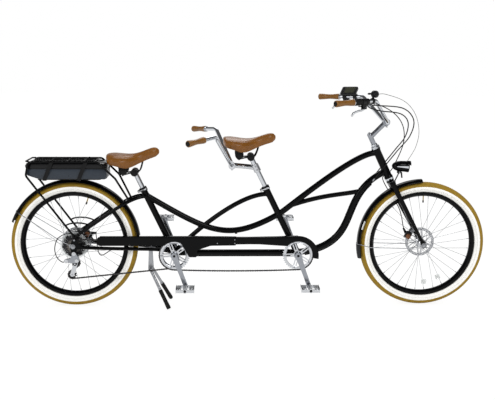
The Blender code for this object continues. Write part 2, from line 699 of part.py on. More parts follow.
def spokes(flange_radius, flange_y, cross_angle, hub):
    """All spokes of one wheel, tangent to the flanges and staggered so that none crosses another."""
    bm = bmesh.new()
    inner = (RIM_RADIUS - RIM_DEPTH) * math.cos(math.pi / WHEEL_FACETS) - 2 * GAP
    per_flange = SPOKES // 2
    step = 2 * math.pi / per_flange
    for side in (LEFT, RIGHT):
        for i in range(per_flange):
            lean = 1 if i % 2 else -1
            rim_angle = (i + (0.25 if side == LEFT else -0.25)) * step
            flange_angle = rim_angle + lean * cross_angle
            start = Vector((math.cos(flange_angle) * flange_radius, side * flange_y + lean * SPOKE_STAGGER,
                            math.sin(flange_angle) * flange_radius))
            end = Vector((math.cos(rim_angle) * inner, side * 0.004 + lean * SPOKE_STAGGER,
                          math.sin(rim_angle) * inner))
            place = aim((start + end) / 2, end - start)
            bmesh.ops.create_cone(bm, cap_ends=True, segments=3, radius1=SPOKE_RADIUS, radius2=SPOKE_RADIUS,
                                  depth=(end - start).length, matrix=place)
    return solid(bm, Matrix.Translation(hub))


def rotor(hub, offset):
    """Brake disc: a slotted ring carried by curved arms on a centre plate, to the left of the hub."""
    low, high = offset - ROTOR_THICKNESS / 2, offset + ROTOR_THICKNESS / 2
    inner = ROTOR_RADIUS - ROTOR_RING
    place = wheel_place(hub)
    disc = turned([(inner, high), (ROTOR_RADIUS, high), (ROTOR_RADIUS, low), (inner, low)], 16, place)
    for i in range(ROTOR_ARMS):
        turn = Matrix.Rotation(i * 2 * math.pi / ROTOR_ARMS, 4, "Z")
        arm = [(0.014, -0.005), (0.014, 0.005), (inner + 0.003, 0.026), (inner + 0.003, 0.016)]
        fuse(disc, prism(arm, low, high, place @ turn))
    return disc


def build_wheel(name, hub, hub_profile, flange_radius, flange_y, cross_angle, rotor_y):
    place = wheel_place(hub)
    named(turned(tyre_profile(), WHEEL_FACETS, place), f"{name}_tyre", "tan_rubber")
    named(turned(rim_profile(), WHEEL_FACETS, place), f"{name}_rim", "black_enamel")
    core = turned(hub_profile, HUB_FACETS, place)
    fuse(core, rotor(hub, rotor_y), spokes(flange_radius, flange_y, cross_angle, hub))
    named(core, f"{name}_hub", "steel", math.radians(30))


def front_hub_profile():
    """Section of the front hub as (radius, offset to the left), bored for the axle."""
    bore = AXLE_RADIUS + SPIN_GAP
    end = FRONT_DROPOUT_Y - SPIN_GAP
    flange = FRONT_FLANGE_Y + 0.0032
    web = FRONT_FLANGE_Y - 0.0032
    seat = FRONT_ROTOR_Y + ROTOR_THICKNESS / 2
    return [(bore, end), (0.010, seat), (0.020, seat), (0.020, flange),
            (FRONT_FLANGE_RADIUS, flange), (FRONT_FLANGE_RADIUS, web), (0.014, web - 0.006),
            (0.014, -web + 0.006), (FRONT_FLANGE_RADIUS, -web), (FRONT_FLANGE_RADIUS, -flange),
            (0.010, -end), (bore, -end)]


def rear_hub_profile():
    """Section of the motor hub, with the sprockets' seat on the right and the brake's on the left."""
    bore = AXLE_RADIUS + SPIN_GAP
    end = REAR_DROPOUT_Y - SPIN_GAP
    flange = MOTOR_FLANGE_Y + 0.0034
    web = MOTOR_FLANGE_Y - 0.0034
    seat = REAR_ROTOR_Y + ROTOR_THICKNESS / 2
    return [(bore, end), (0.012, end), (0.012, seat), (0.022, seat), (0.024, 0.042), (0.056, 0.036),
            (MOTOR_RADIUS, flange), (MOTOR_RADIUS, web), (MOTOR_RADIUS - 0.004, web - 0.003),
            (MOTOR_RADIUS - 0.004, -web + 0.003), (MOTOR_RADIUS, -web), (MOTOR_RADIUS, -flange),
            (0.060, -0.0345), (FREEWHEEL_SEAT, -0.0360), (FREEWHEEL_SEAT, -end), (bore, -end)]


def build_wheels():
    build_wheel("front", FRONT_HUB, front_hub_profile(), FRONT_FLANGE_RADIUS - 0.003, FRONT_FLANGE_Y,
                math.radians(62), FRONT_ROTOR_Y)
    build_wheel("rear", REAR_HUB, rear_hub_profile(), MOTOR_RADIUS - 0.003, MOTOR_FLANGE_Y,
                math.radians(34), REAR_ROTOR_Y)


def build_cassette():
    """Six toothed sprockets on one carrier that turns on the motor hub's seat."""
    core = 0.0215
    inset = TOOTH_THICKNESS / 4
    first = FIRST_SPROCKET - inset
    last = FIRST_SPROCKET + SPROCKET_STEP * (len(SPROCKET_TEETH) - 1) + inset
    cassette = across(REAR_HUB, -last, -first, core, 12)
    for i, teeth in enumerate(SPROCKET_TEETH):
        fuse(cassette, toothed_disc(teeth, FIRST_SPROCKET + i * SPROCKET_STEP, REAR_HUB))
    cut(cassette, across(REAR_HUB, -1, 1, bore_for(FREEWHEEL_SEAT, 12), 12))
    return named(cassette, "cassette", "steel", math.radians(20))


def belt_points(wheels, arc_step=math.radians(20)):
    """Centre line of a chain round wheels of (x, z, radius, turn), with turn -1 where it bends back.

    Each point is returned with its inward direction, so that a section can be set up square to the run.
    """
    count = len(wheels)
    leave, enter = [None] * count, [None] * count
    for i in range(count):
        j = (i + 1) % count
        (x0, z0, r0, s0), (x1, z1, r1, s1) = wheels[i], wheels[j]
        dx, dz = x1 - x0, z1 - z0
        heading = math.atan2(dz, dx)
        lean = math.asin((s0 * r0 - s1 * r1) / math.hypot(dx, dz))
        normal = heading + lean - math.pi / 2
        leave[i] = normal if s0 > 0 else normal + math.pi
        enter[j] = normal if s1 > 0 else normal + math.pi
    points = []
    for (x, z, radius, turn), first, last in zip(wheels, enter, leave):
        sweep = (last - first) * turn % (2 * math.pi)
        steps = max(2, round(sweep / arc_step))
        for i in range(steps + 1):
            angle = first + turn * sweep * i / steps
            outward = Vector((math.cos(angle), 0, math.sin(angle)))
            points.append((Vector((x, 0, z)) + outward * radius, -outward * turn))
    return points


def build_chain(name, wheels, line):
    """A chain as one closed channel: its back outside, its plates beside the teeth, open inwards."""
    wide, narrow = CHAIN_HALF_WIDTH, CHAIN_INNER_HALF_WIDTH
    back, web = -CHAIN_BACK, -CHAIN_BACK + CHAIN_WEB
    section = [(wide, back), (wide, CHAIN_SKIRT), (narrow, CHAIN_SKIRT), (narrow, web),
               (-narrow, web), (-narrow, CHAIN_SKIRT), (-wide, CHAIN_SKIRT), (-wide, back)]
    bm = bmesh.new()
    rings = []
    for point, inward in belt_points(wheels):
        rings.append([bm.verts.new(point + inward * depth + Vector((0, aside - line, 0)))
                      for aside, depth in section])
    for ring, following in zip(rings, rings[1:] + rings[:1]):
        for i in range(len(section)):
            j = (i + 1) % len(section)
            bm.faces.new((ring[i], ring[j], following[j], following[i]))
    return named(solid(bm), name, "steel", math.radians(25))


def ring_wheel(centre, teeth):
    return (centre.x, centre.z, pitch_radius(teeth), 1)


def pulley_place(offset):
    return Vector((REAR_HUB.x + offset[0], 0, REAR_HUB.z + offset[1]))


def build_chains():
    rings = [ring_wheel(CAPTAIN_BRACKET, RING_TEETH), ring_wheel(STOKER_BRACKET, RING_TEETH)]
    build_chain("timing_chain", rings, TIMING_LINE)
    guide, tension = pulley_place(GUIDE_PULLEY), pulley_place(TENSION_PULLEY)
    small = pitch_radius(PULLEY_TEETH)
    build_chain("drive_chain", [ring_wheel(STOKER_BRACKET, DRIVE_TEETH),
                                ring_wheel(REAR_HUB, SPROCKET_TEETH[SPROCKET_IN_USE]),
                                (guide.x, guide.z, small, -1), (tension.x, tension.z, small, 1)], DRIVE_LINE)


def crank_arm(centre, side):
    """One tapered arm with its boss and eye, at the crank's rest angle."""
    angle = CRANK_ANGLE if side == RIGHT else CRANK_ANGLE + math.pi
    eye = (math.cos(angle) * CRANK_LENGTH, math.sin(angle) * CRANK_LENGTH)
    inner = RIGHT_ARM_INNER if side == RIGHT else LEFT_ARM_INNER
    low, high = (inner, inner + ARM_THICKNESS) if side == RIGHT else (-inner - ARM_THICKNESS, -inner)
    return prism(capsule((0, 0), eye, 0.0175, 0.0125, 5), low, high, at_side(centre))


def pedal_axis(centre, side):
    angle = CRANK_ANGLE if side == RIGHT else CRANK_ANGLE + math.pi
    return centre + Vector((math.cos(angle) * CRANK_LENGTH, 0, math.sin(angle) * CRANK_LENGTH))


def pedal_inner(side):
    return (RIGHT_ARM_INNER if side == RIGHT else LEFT_ARM_INNER) + ARM_THICKNESS + 0.012


def chainring(teeth, line, centre, spider):
    """A toothed ring, on a five-armed spider or as a full plate."""
    ring = toothed_disc(teeth, line, centre)
    if not spider:
        return ring
    inner = pitch_radius(teeth) - 0.0165
    half = TOOTH_THICKNESS / 2
    place = at_side(centre)
    cut(ring, turned([(0, 1), (inner, 1), (inner, -1), (0, -1)], 15, place, loop=False))
    for i in range(5):
        turn = Matrix.Rotation(CRANK_ANGLE + (i + 0.5) * 2 * math.pi / 5, 4, "Z")
        arm = [(0.010, -0.009), (inner + 0.002, -0.0055), (inner + 0.002, 0.0055), (0.010, 0.009)]
        fuse(ring, prism(arm, line - half, line + half, place @ turn))
    return ring


def build_crank(name, centre, rings):
    """Spindle, both arms, the pedals' spindles and the chainrings of one rider."""
    outer = {RIGHT: RIGHT_ARM_INNER + ARM_THICKNESS, LEFT: LEFT_ARM_INNER + ARM_THICKNESS}
    crank = across(centre, -outer[RIGHT] + 0.003, outer[LEFT] - 0.003, SPINDLE_RADIUS, 10)
    innermost = min(line for _, line in rings) - 0.004
    fuse(crank, across(centre, -RIGHT_ARM_INNER - 0.004, -innermost, 0.0155, 10))
    for side in (LEFT, RIGHT):
        axis = pedal_axis(centre, side)
        reach = side * (pedal_inner(side) + PEDAL_WIDTH - 0.006)
        start = side * (outer[side] - 0.005)
        fuse(crank, crank_arm(centre, side),
             across(axis, min(start, reach), max(start, reach), PEDAL_SPINDLE, 8))
    fuse(crank, *[chainring(teeth, line, centre, line == TIMING_LINE) for teeth, line in rings])
    return named(crank, name, "polished_aluminium", math.radians(25))


def build_pedal(name, axis, side):
    """Platform pedal: a frame with two windows, raised tread bars and a blind bore for its spindle."""
    inner = pedal_inner(side)
    outer = inner + PEDAL_WIDTH
    middle = side * (inner + outer) / 2
    pedal = block((axis.x, middle, axis.z), (PEDAL_LENGTH, PEDAL_WIDTH, PEDAL_HEIGHT * 0.8))
    window = (PEDAL_LENGTH / 2 - 0.024 - 0.014, PEDAL_WIDTH - 0.016, 1)
    for end in (-1, 1):
        tread = PEDAL_LENGTH / 2 - 0.012
        fuse(pedal, block((axis.x + end * tread, middle, axis.z), (0.018, PEDAL_WIDTH - 0.010, PEDAL_HEIGHT)))
        cut(pedal, block((axis.x + end * (0.014 + window[0] / 2), middle, axis.z), window))
    blind = outer - 0.004
    low, high = sorted((side * (inner - 0.01), side * blind))
    cut(pedal, across(axis, low, high, bore_for(PEDAL_SPINDLE, 8), 8))
    return named(pedal, name, "black_rubber", math.radians(30))


def build_guard():
    """Chain guard: a long band that hooks over the captain's ring, with a top lip and one stand-off."""
    top, bottom = 0.110, 0.053
    ring_gap = 0.080
    rear = STOKER_BRACKET.x - CAPTAIN_BRACKET.x - 0.409
    meet = 180 - math.degrees(math.asin(bottom / ring_gap))
    outline = circle((0, 0), top, 8, -4, 90)
    outline += [(rear + 0.012, top), (rear, top - 0.014), (rear, bottom + 0.014), (rear + 0.012, bottom)]
    outline += list(reversed(circle((0, 0), ring_gap, 10, -4, meet)))
    outer = GUARD_INNER + GUARD_THICKNESS
    place = at_side(CAPTAIN_BRACKET)
    guard = prism(outline, GUARD_INNER, outer, place)
    lip_inner = DRIVE_LINE - CHAIN_HALF_WIDTH - 0.004
    lip = [(rear + 0.014, top - 0.0025), (0, top - 0.0025), (0, top - 0.0003), (rear + 0.014, top - 0.0003)]
    fuse(guard, prism(lip, lip_inner, outer - 0.0005, place))
    tab = STOKER_BRACKET.x - CAPTAIN_BRACKET.x + 0.123
    fuse(guard, prism([(tab - 0.083, bottom + 0.004), (tab - 0.077, -0.004), (tab - 0.070, -0.010),
                       (tab + 0.028, -0.010), (tab + 0.040, -0.004), (tab + 0.092, bottom + 0.004)],
                      GUARD_INNER, outer, place))
    boss_x = CAPTAIN_BRACKET.x + tab
    fuse(guard, rod((boss_x, -GUARD_INNER - 0.001, BRACKET_HEIGHT), (boss_x, 0, BRACKET_HEIGHT), 0.006, 10))
    cut(guard, tube(boom_path(), BOOM_RADIUS + GAP))
    return named(guard, "chain_guard", "black_enamel")


def build_derailleur():
    """Rear derailleur: hanger knuckle, link body, cage with its guide roller, and the tension pulley."""
    guide, tension = pulley_place(GUIDE_PULLEY), pulley_place(TENSION_PULLEY)
    hanger = REAR_DROPOUT_Y + DROPOUT_THICKNESS + GAP
    side = at_side(REAR_HUB)
    inner_gap = CHAIN_HALF_WIDTH + 0.0022
    plate = 0.0015
    link = capsule(GUIDE_PULLEY, TENSION_PULLEY, 0.012, 0.011, 4)
    outer_plate = prism(link, DRIVE_LINE + inner_gap, DRIVE_LINE + inner_gap + plate, side)
    inner_plate = prism(link, DRIVE_LINE - inner_gap - plate, DRIVE_LINE - inner_gap, side)
    roller = pitch_radius(PULLEY_TEETH) - CHAIN_BACK - 0.0008
    low, high = -DRIVE_LINE - inner_gap - 0.0005, -DRIVE_LINE + inner_gap + 0.0005
    body = prism([(-0.002, -0.026), (0.016, -0.029), (0.034, -0.066), (0.026, -0.086), (-0.034, -0.084),
                  (-0.043, -0.070), (-0.014, -0.060)], hanger, hanger + 0.012, side)
    knuckle = across(guide, -hanger - 0.004, -DRIVE_LINE - inner_gap - 0.0005, 0.010, 10)
    derailleur = fuse(body, knuckle, outer_plate, across(guide, low, high, roller, 14), inner_plate,
                      across(tension, low - 0.003, high + 0.003, 0.003, 8))
    named(derailleur, "rear_derailleur", "polished_aluminium", math.radians(30))

    pulley = fuse(toothed_disc(PULLEY_TEETH, DRIVE_LINE, tension),
                  across(tension, -DRIVE_LINE - 0.004, -DRIVE_LINE + 0.004, 0.0075, 8))
    cut(pulley, across(tension, -0.2, 0.2, bore_for(0.003, 8), 8))
    named(pulley, "tension_pulley", "black_plastic", math.radians(30))


def caliper(name, hub, rotor_y, angle, *holders):
    """Disc caliper: a housing that straddles the rotor, its dial, and a foot cut to sit on its holders."""
    place = wheel_place(hub) @ Matrix.Rotation(angle, 4, "Z")
    radius = ROTOR_RADIUS - 0.006
    body = block((radius, 0, rotor_y), (0.030, 0.044, 0.0236), place, bevel=0.004)
    fuse(body, block((radius, 0.034, rotor_y + 0.006), (0.016, 0.044, 0.010), place),
         turned([(0, 0.019), (0.012, 0.019), (0.014, 0.010), (0, 0.010)], 8,
                place @ Matrix.Translation((radius, -0.004, rotor_y)), loop=False))
    slot_half = ROTOR_THICKNESS / 2 + 0.0009
    rim = ROTOR_RADIUS + 0.0025
    cut(body, turned([(0, rotor_y + slot_half), (rim, rotor_y + slot_half), (rim, rotor_y - slot_half),
                      (0, rotor_y - slot_half)], 24, wheel_place(hub), loop=False), *holders)
    return named(body, name, "black_plastic")


def blade_ends(side):
    top = HEAD_BOTTOM - STEER_UP * 0.0265 + Vector((0, side * 0.0505, 0))
    bottom = FRONT_HUB + STEER_UP * 0.030 + Vector((0, side * (FRONT_DROPOUT_Y + 0.0042), 0))
    return top, bottom


def fork_blade(side, extra=0.0):
    """One blade, tapering to the dropout, grown by extra where it cuts a neighbour."""
    start, end = blade_ends(side)
    radii = [0.0145 + extra, 0.0120 + extra, 0.0085 + extra]
    return tube([start, start.lerp(end, 0.5), end], radii[0], radii=radii)


def build_fork():
    """Steerer with its locknut, crown, two tapered blades, dropouts and the front axle."""
    steer = aim(HEAD_BOTTOM, STEER_UP)
    top = HEAD_LENGTH + CUP_HEIGHT + GAP
    crown_top = -CUP_HEIGHT - GAP
    profile = [(0, top + 0.012), (0.0175, top + 0.012), (0.0175, top), (STEERER_RADIUS, top),
               (STEERER_RADIUS, crown_top), (0.021, crown_top), (0.021, crown_top - 0.014),
               (0, crown_top - 0.014)]
    fork = turned(profile, 12, steer, loop=False)
    crown = block((0, 0, -0.0265), (0.118, 0.034, 0.022), steer, bevel=0.006)
    fuse(fork, crown)
    for side in (LEFT, RIGHT):
        end = blade_ends(side)[1]
        low = FRONT_DROPOUT_Y
        high = FRONT_DROPOUT_Y + DROPOUT_THICKNESS
        along = end - FRONT_HUB
        plate = prism(capsule((0, 0), (along.x * 1.1, along.z * 1.1), 0.015, 0.009, 5),
                      *((low, high) if side == RIGHT else (-high, -low)), at_side(FRONT_HUB))
        fuse(fork, fork_blade(side), plate)
    reach = FRONT_DROPOUT_Y + DROPOUT_THICKNESS
    fuse(fork, across(FRONT_HUB, -reach - 0.008, reach + 0.008, AXLE_RADIUS, 8),
         across(FRONT_HUB, -reach - 0.006, -reach + 0.001, 0.009, 6),
         across(FRONT_HUB, reach - 0.001, reach + 0.006, 0.009, 6))
    cut(fork, turned([(0, 0.3), (0.0112, 0.3), (0.0112, 0.10), (0, 0.10)], 12, steer, loop=False))
    return named(fork, "fork", "black_enamel")


def fender_shell(hub, arc, steps):
    """A fender: a shallow arched section swept round the wheel and given its sheet's thickness."""
    half = FENDER_WIDTH / 2
    section = ((-1, FENDER_DROP), (-0.55, 0), (0.55, 0), (1, FENDER_DROP))
    bm = bmesh.new()
    rings = []
    for i in range(steps + 1):
        angle = math.radians(arc[0] + (arc[1] - arc[0]) * i / steps)
        ring = []
        for layer in (0, 1):
            row = []
            for share, drop in section if layer == 0 else reversed(section):
                radius = FENDER_RADIUS - drop + layer * FENDER_THICKNESS
                row.append(bm.verts.new((hub.x + radius * math.cos(angle), half * share,
                                         hub.z + radius * math.sin(angle))))
            ring += row
        rings.append(ring)
    count = len(rings[0])
    for ring, following in zip(rings, rings[1:]):
        for i in range(count):
            j = (i + 1) % count
            bm.faces.new((ring[i], ring[j], following[j], following[i]))
    bm.faces.new(rings[0])
    bm.faces.new(rings[-1])
    return solid(bm)


def fender_point(hub, angle, side):
    radius = FENDER_RADIUS - FENDER_DROP + 0.001
    turn = math.radians(angle)
    return Vector((hub.x + radius * math.cos(turn), side * FENDER_WIDTH / 2, hub.z + radius * math.sin(turn)))


def build_fenders():
    rear = fender_shell(REAR_HUB, REAR_FENDER_ARC, 14)
    wire = 0.0026
    for side in (LEFT, RIGHT):
        foot = REAR_HUB + Vector((-0.011, side * (REAR_DROPOUT_Y + DROPOUT_THICKNESS + GAP + wire), 0.006))
        fuse(rear, tube(bent([fender_point(REAR_HUB, 149, side) - Vector((0, side * 0.001, 0)),
                              fender_point(REAR_HUB, 149, side) + Vector((0.05, side * 0.024, -0.024)),
                              foot + Vector((-0.06, 0, 0.032)), foot], 0.02, 1), wire, 1))
    named(rear, "rear_fender", "black_enamel")

    front = fender_shell(FRONT_HUB, FRONT_FENDER_ARC, 11)
    for side in (LEFT, RIGHT):
        foot = FRONT_HUB + Vector((-0.011, side * (FRONT_DROPOUT_Y + DROPOUT_THICKNESS + GAP + wire), -0.004))
        fuse(front, tube(bent([fender_point(FRONT_HUB, 180, side) - Vector((0, side * 0.001, 0)),
                               fender_point(FRONT_HUB, 180, side) + Vector((0.05, side * 0.026, -0.010)),
                               foot + Vector((-0.06, 0, -0.012)), foot], 0.02, 1), wire, 1))
    crown_foot = HEAD_BOTTOM - STEER_UP * (0.0265 + 0.011 + GAP)
    reach = (crown_foot - FRONT_HUB).length
    steer = aim(crown_foot, STEER_UP)
    height = reach - FENDER_RADIUS
    fuse(front, block((0, 0, -height / 2), (0.022, 0.024, height), steer))
    named(front, "front_fender", "black_enamel")


def build_stem():
    """Quill stem: the post that enters the steerer, a rising arm and the bar's clamp."""
    quill_top = HEAD_BOTTOM + STEER_UP * 0.262
    clamp = BAR_CLAMP
    stem = rod(HEAD_BOTTOM + STEER_UP * 0.120, quill_top, 0.0109, 12)
    fuse(stem, rod(HEAD_BOTTOM + STEER_UP * (HEAD_LENGTH + CUP_HEIGHT + 0.0135), quill_top, 0.0135, 12),
         rod(quill_top - STEER_UP * 0.016, clamp, 0.0135, 10),
         across(clamp, -0.0225, 0.0225, STEM_CLAMP_RADIUS, 12))
    cut(stem, tube(bar_path(), BAR_RADIUS + GAP))
    return named(stem, "stem", "chrome")


def half_bar(clamp, rise_corner, end):
    return bent([clamp, clamp + Vector((0, BAR_CENTRE_HALF, 0)), rise_corner, end], BAR_BEND_RADIUS)


def bar_path():
    return mirrored(half_bar(BAR_CLAMP, BAR_RISE_CORNER, BAR_END))


def stoker_bar_path():
    return mirrored(half_bar(STOKER_BAR_CLAMP, STOKER_RISE_CORNER, STOKER_BAR_END))


def bar_end_frame(corner, end, side):
    """Frame at a bar's end: local Z inwards along the bar, and local X down."""
    flip = Vector((1, side, 1))
    end, corner = Vector(end) * flip, Vector(corner) * flip
    return aim(end, corner - end, (0, 0, -1))


def build_grip(name, place, length):
    """Grip: a waisted sleeve with a closed end that goes over the bar."""
    bore = bore_for(BAR_RADIUS, 10)
    profile = [(0, -0.006), (GRIP_RADIUS - 0.002, -0.006), (GRIP_RADIUS + 0.001, -0.002),
               (GRIP_RADIUS - 0.001, length / 2), (GRIP_RADIUS, length),
               (bore, length), (bore, -GAP), (0, -GAP)]
    return named(turned(profile, 10, place, loop=False), name, "brown_leather")


def bar_collar(place, start, length, radius):
    """A clamp ring on the bar, counted inwards from the bar's end, still to be cut for the bar."""
    return rod(place @ Vector((0, 0, start)), place @ Vector((0, 0, start + length)), radius, 10)


def on_bar(side, place):
    """A place on a grip's bar as a point of the bicycle."""
    return bar_end_frame(BAR_RISE_CORNER, BAR_END, side) @ Vector(place)


def build_brake_controls(side, label):
    """Lever perch on the bar, and the curved brake blade that turns in its fork."""
    place = bar_end_frame(BAR_RISE_CORNER, BAR_END, side)
    down, _, inward = LEVER_PIVOT[side]
    perch = bar_collar(place, inward - 0.020, 0.022, BAR_RADIUS + 0.0055)
    for offset in (-1, 1):
        centre = (down / 2 + 0.010, offset * 0.0072, inward - 0.006)
        fuse(perch, block(centre, (down - 0.004, 0.0036, 0.024), place))
    barrel = [place @ Vector((0.0185, 0, inward + 0.010)), place @ Vector((0.0205, 0, inward + 0.034))]
    pin = [place @ Vector((down, -0.0072, inward)), place @ Vector((down, 0.0072, inward))]
    fuse(perch, block((0.0165, 0, inward + 0.007), (0.010, 0.0168, 0.016), place), rod(*barrel, 0.0048, 6),
         rod(*pin, LEVER_PIN_RADIUS, 6))
    if side == RIGHT:
        low, aside, pod = SHIFT_PIVOT
        fuse(perch, bar_collar(place, pod - 0.008, 0.016, BAR_RADIUS + 0.004),
             rod(place @ Vector((-0.004, aside, pod)), place @ Vector((low, aside, pod)), 0.012, 10),
             solver="MANIFOLD")
    cut(perch, tube(bar_path(), BAR_RADIUS + GAP), solver="MANIFOLD")
    named(perch, f"{label}_lever_perch", "black_plastic")

    route = [(down + 0.001, inward), (down + 0.010, inward - 0.030), (down + 0.020, inward - 0.070),
             (down + 0.034, inward - LEVER_LENGTH)]
    spine = through([(x, z, 0) for x, z in route], 2)
    upper = [(p.x - 0.0055, p.y) for p in spine]
    lower = [(p.x + 0.0055, p.y) for p in reversed(spine)]
    flat = place @ Matrix(((1, 0, 0, 0), (0, 0, 1, 0), (0, 1, 0, 0), (0, 0, 0, 1)))
    blade = prism(upper + lower, -0.0045, 0.0045, flat)
    boss = [place @ Vector((down, -0.0045, inward)), place @ Vector((down, 0.0045, inward))]
    fuse(blade, rod(*boss, 0.0075, 8))
    bore = bore_for(LEVER_PIN_RADIUS, 6)
    cut(blade, rod(place @ Vector((down, -0.02, inward)), place @ Vector((down, 0.02, inward)), bore, 6))
    named(blade, f"{label}_brake_lever", "polished_aluminium")


def build_throttle(place):
    """Twist throttle: a ribbed sleeve that turns on the bar, inboard of the right grip."""
    start = GRIP_LENGTH + 0.001
    bore = bore_for(BAR_RADIUS, 10)
    ribs = 12
    outer = BAR_RADIUS + THROTTLE_WALL
    outline = []
    for i in range(ribs):
        for share, radius in ((0, outer), (0.5, outer - 0.0012)):
            angle = 2 * math.pi * (i + share) / ribs
            outline.append((radius * math.cos(angle), radius * math.sin(angle)))
    throttle = prism(outline, start, start + THROTTLE_LENGTH, place)
    cut(throttle, turned([(0, 1), (bore, 1), (bore, 0), (0, 0)], 10, place, loop=False))
    named(throttle, "throttle", "black_rubber", math.radians(20))


def build_shifter(place):
    """Shift lever: a thumb paddle under the shifter's pod."""
    flat = place @ Matrix.Translation(SHIFT_PIVOT) @ Matrix(
        ((0, 0, 1, 0), (0, 1, 0, 0), (1, 0, 0, 0), (0, 0, 0, 1)))
    paddle = prism(capsule((0, 0), (-0.004, 0.036), 0.008, 0.0065, 6), GAP, GAP + 0.005, flat)
    named(paddle, "shift_lever", "black_plastic")


def build_display(place):
    """Display: a rounded case that faces the captain, on a clamp round the left bar."""
    start = 0.206
    display = bar_collar(place, start, 0.020, BAR_RADIUS + 0.005)
    tilt = Matrix.Translation((-0.046, -0.010, start - 0.022)) @ Matrix.Rotation(math.radians(40), 4, "Z")
    case = block((0, 0, 0), (0.016, 0.058, 0.092), place @ tilt)
    foot, head = Vector((-0.012, 0, start + 0.010)), Vector((-0.045, -0.009, start + 0.002))
    neck = rod(place @ foot, place @ head, 0.007, 8)
    fuse(display, neck, case)
    cut(display, tube(bar_path(), BAR_RADIUS + GAP))
    return named(display, "display", "black_plastic")


def build_light_switch(place):
    """Lamp switch: a round pod with a thumb paddle, clamped above the bar's bend on the right."""
    inward = SWITCH_POD[2] - 0.012
    pod = bar_collar(place, inward - 0.006, 0.012, BAR_RADIUS + 0.004)
    centre = Vector(SWITCH_POD)
    round_place = place @ Matrix.Translation(centre) @ Matrix.Rotation(math.radians(90), 4, "X")
    profile = [(0, 0.016), (0.012, 0.015), (0.0185, 0.006), (0.0185, -0.010), (0.014, -0.015), (0, -0.015)]
    fuse(pod, rod(place @ Vector((-0.013, 0, inward)), place @ centre, 0.0055, 8),
         turned(profile, 10, round_place, loop=False),
         rod(place @ centre, place @ (centre + Vector((-0.004, 0, -0.034))), 0.0035, 8),
         block((centre.x - 0.004, centre.y, centre.z - 0.037), (0.010, 0.016, 0.020), place))
    cut(pod, tube(bar_path(), BAR_RADIUS + GAP))
    return named(pod, "light_switch", "black_plastic")


def build_controls():
    frames = {side: bar_end_frame(BAR_RISE_CORNER, BAR_END, side) for side in (LEFT, RIGHT)}
    named(tube(bar_path(), BAR_RADIUS), "handlebar", "chrome")
    build_grip("left_grip", frames[LEFT], LEFT_GRIP_LENGTH)
    build_grip("right_grip", frames[RIGHT], GRIP_LENGTH)
    for label, side in SIDES.items():
        build_brake_controls(side, label)
    build_throttle(frames[RIGHT])
    build_shifter(frames[RIGHT])
    build_display(frames[LEFT])
    build_light_switch(frames[RIGHT])


def build_headlight():
    """Bullet lamp on a bent strap that stands on the fork's crown."""
    centre = LAMP_CENTRE
    half = LAMP_LENGTH / 2
    profile = [(0, half - 0.003), (0.026, half - 0.003), (0.027, half), (LAMP_RADIUS, half),
               (LAMP_RADIUS, half - 0.010), (0.0295, half - 0.012), (0.0285, 0), (0.023, -half * 0.55),
               (0.012, -half * 0.9), (0, -half)]
    lamp = turned(profile, 12, aim(centre, LAMP_AIM), loop=False)
    foot = HEAD_BOTTOM - STEER_UP * 0.0265 + STEER_AHEAD * (0.017 + GAP + 0.002)
    head = centre - Vector((0.002, 0, 0.020))
    strap = bent([foot - STEER_UP * 0.0105, foot - STEER_UP * 0.003, head], 0.004)
    bm = bmesh.new()
    rings = []
    for index, point in enumerate(strap):
        ahead = (strap[min(index + 1, len(strap) - 1)] - strap[max(index - 1, 0)]).normalized()
        normal = Vector((ahead.z, 0, -ahead.x)) * 0.002
        ring = [bm.verts.new(point + normal * n + Vector((0, 0.009 * y, 0)))
                for n, y in ((-1, -1), (1, -1), (1, 1), (-1, 1))]
        rings.append(ring)
    for ring, following in zip(rings, rings[1:]):
        for i in range(4):
            bm.faces.new((ring[i], ring[i - 1], following[i - 1], following[i]))
    bm.faces.new(rings[0])
    bm.faces.new(rings[-1])
    return named(fuse(lamp, solid(bm)), "headlight", "black_enamel")


def saddle_station(u):
    """Half width, crown height and skirt depth of the saddle at a share u of its length, rear to nose."""
    wide = SADDLE_WIDTH / 2
    narrow = 0.024
    blend = 1 / (1 + math.exp((u - 0.50) * 13))
    end_round = math.sqrt(max(0.0, 1 - (1 - min(1, u / 0.16)) ** 2))
    nose_round = math.sqrt(max(0.0, 1 - max(0, (u - 0.90) / 0.10) ** 2))
    half = (narrow + (wide - narrow) * blend) * (0.55 + 0.45 * end_round) * (0.40 + 0.60 * nose_round)
    crown = 0.012 * math.cos(2 * math.pi * u) + 0.010 * u
    skirt = 0.034 + 0.040 * blend * (0.25 + 0.75 * end_round)
    return half, crown, skirt * (0.55 + 0.45 * nose_round)


def build_saddle(name, seat):
    """Saddle cushion: a crowned top that rolls over into drawn-in skirts, flat underneath."""
    stations = 15
    bm = bmesh.new()
    rings = []
    for i in range(stations + 1):
        u = i / stations
        half, crown, skirt = saddle_station(u)
        section = [(0, crown + 0.004), (0.45, crown + 0.003), (0.80, crown - 0.006), (0.98, crown - 0.020),
                   (1.0, crown - 0.45 * skirt - 0.010), (0.90, crown - skirt), (0.62, crown - skirt + 0.004),
                   (0, crown - 0.030)]
        right = [(-share, height) for share, height in reversed(section[1:-1])]
        ring = [bm.verts.new((u * SADDLE_LENGTH - SADDLE_LENGTH / 2, share * half, height))
                for share, height in section + right]
        rings.append(ring)
    count = len(rings[0])
    for ring, following in zip(rings, rings[1:]):
        for i in range(count):
            j = (i + 1) % count
            bm.faces.new((ring[i], ring[j], following[j], following[i]))
    bm.faces.new(rings[0])
    bm.faces.new(rings[-1])
    return named(solid(bm, seat), name, "brown_leather", math.radians(60))


def saddle_seat(bracket, up, height, tilt):
    """Frame of a saddle above its post, pitched nose up by tilt."""
    origin = bracket + up * height + Vector((SADDLE_SETBACK, 0, SADDLE_RISE))
    return Matrix.Translation(origin) @ Matrix.Rotation(-tilt, 4, "Y")


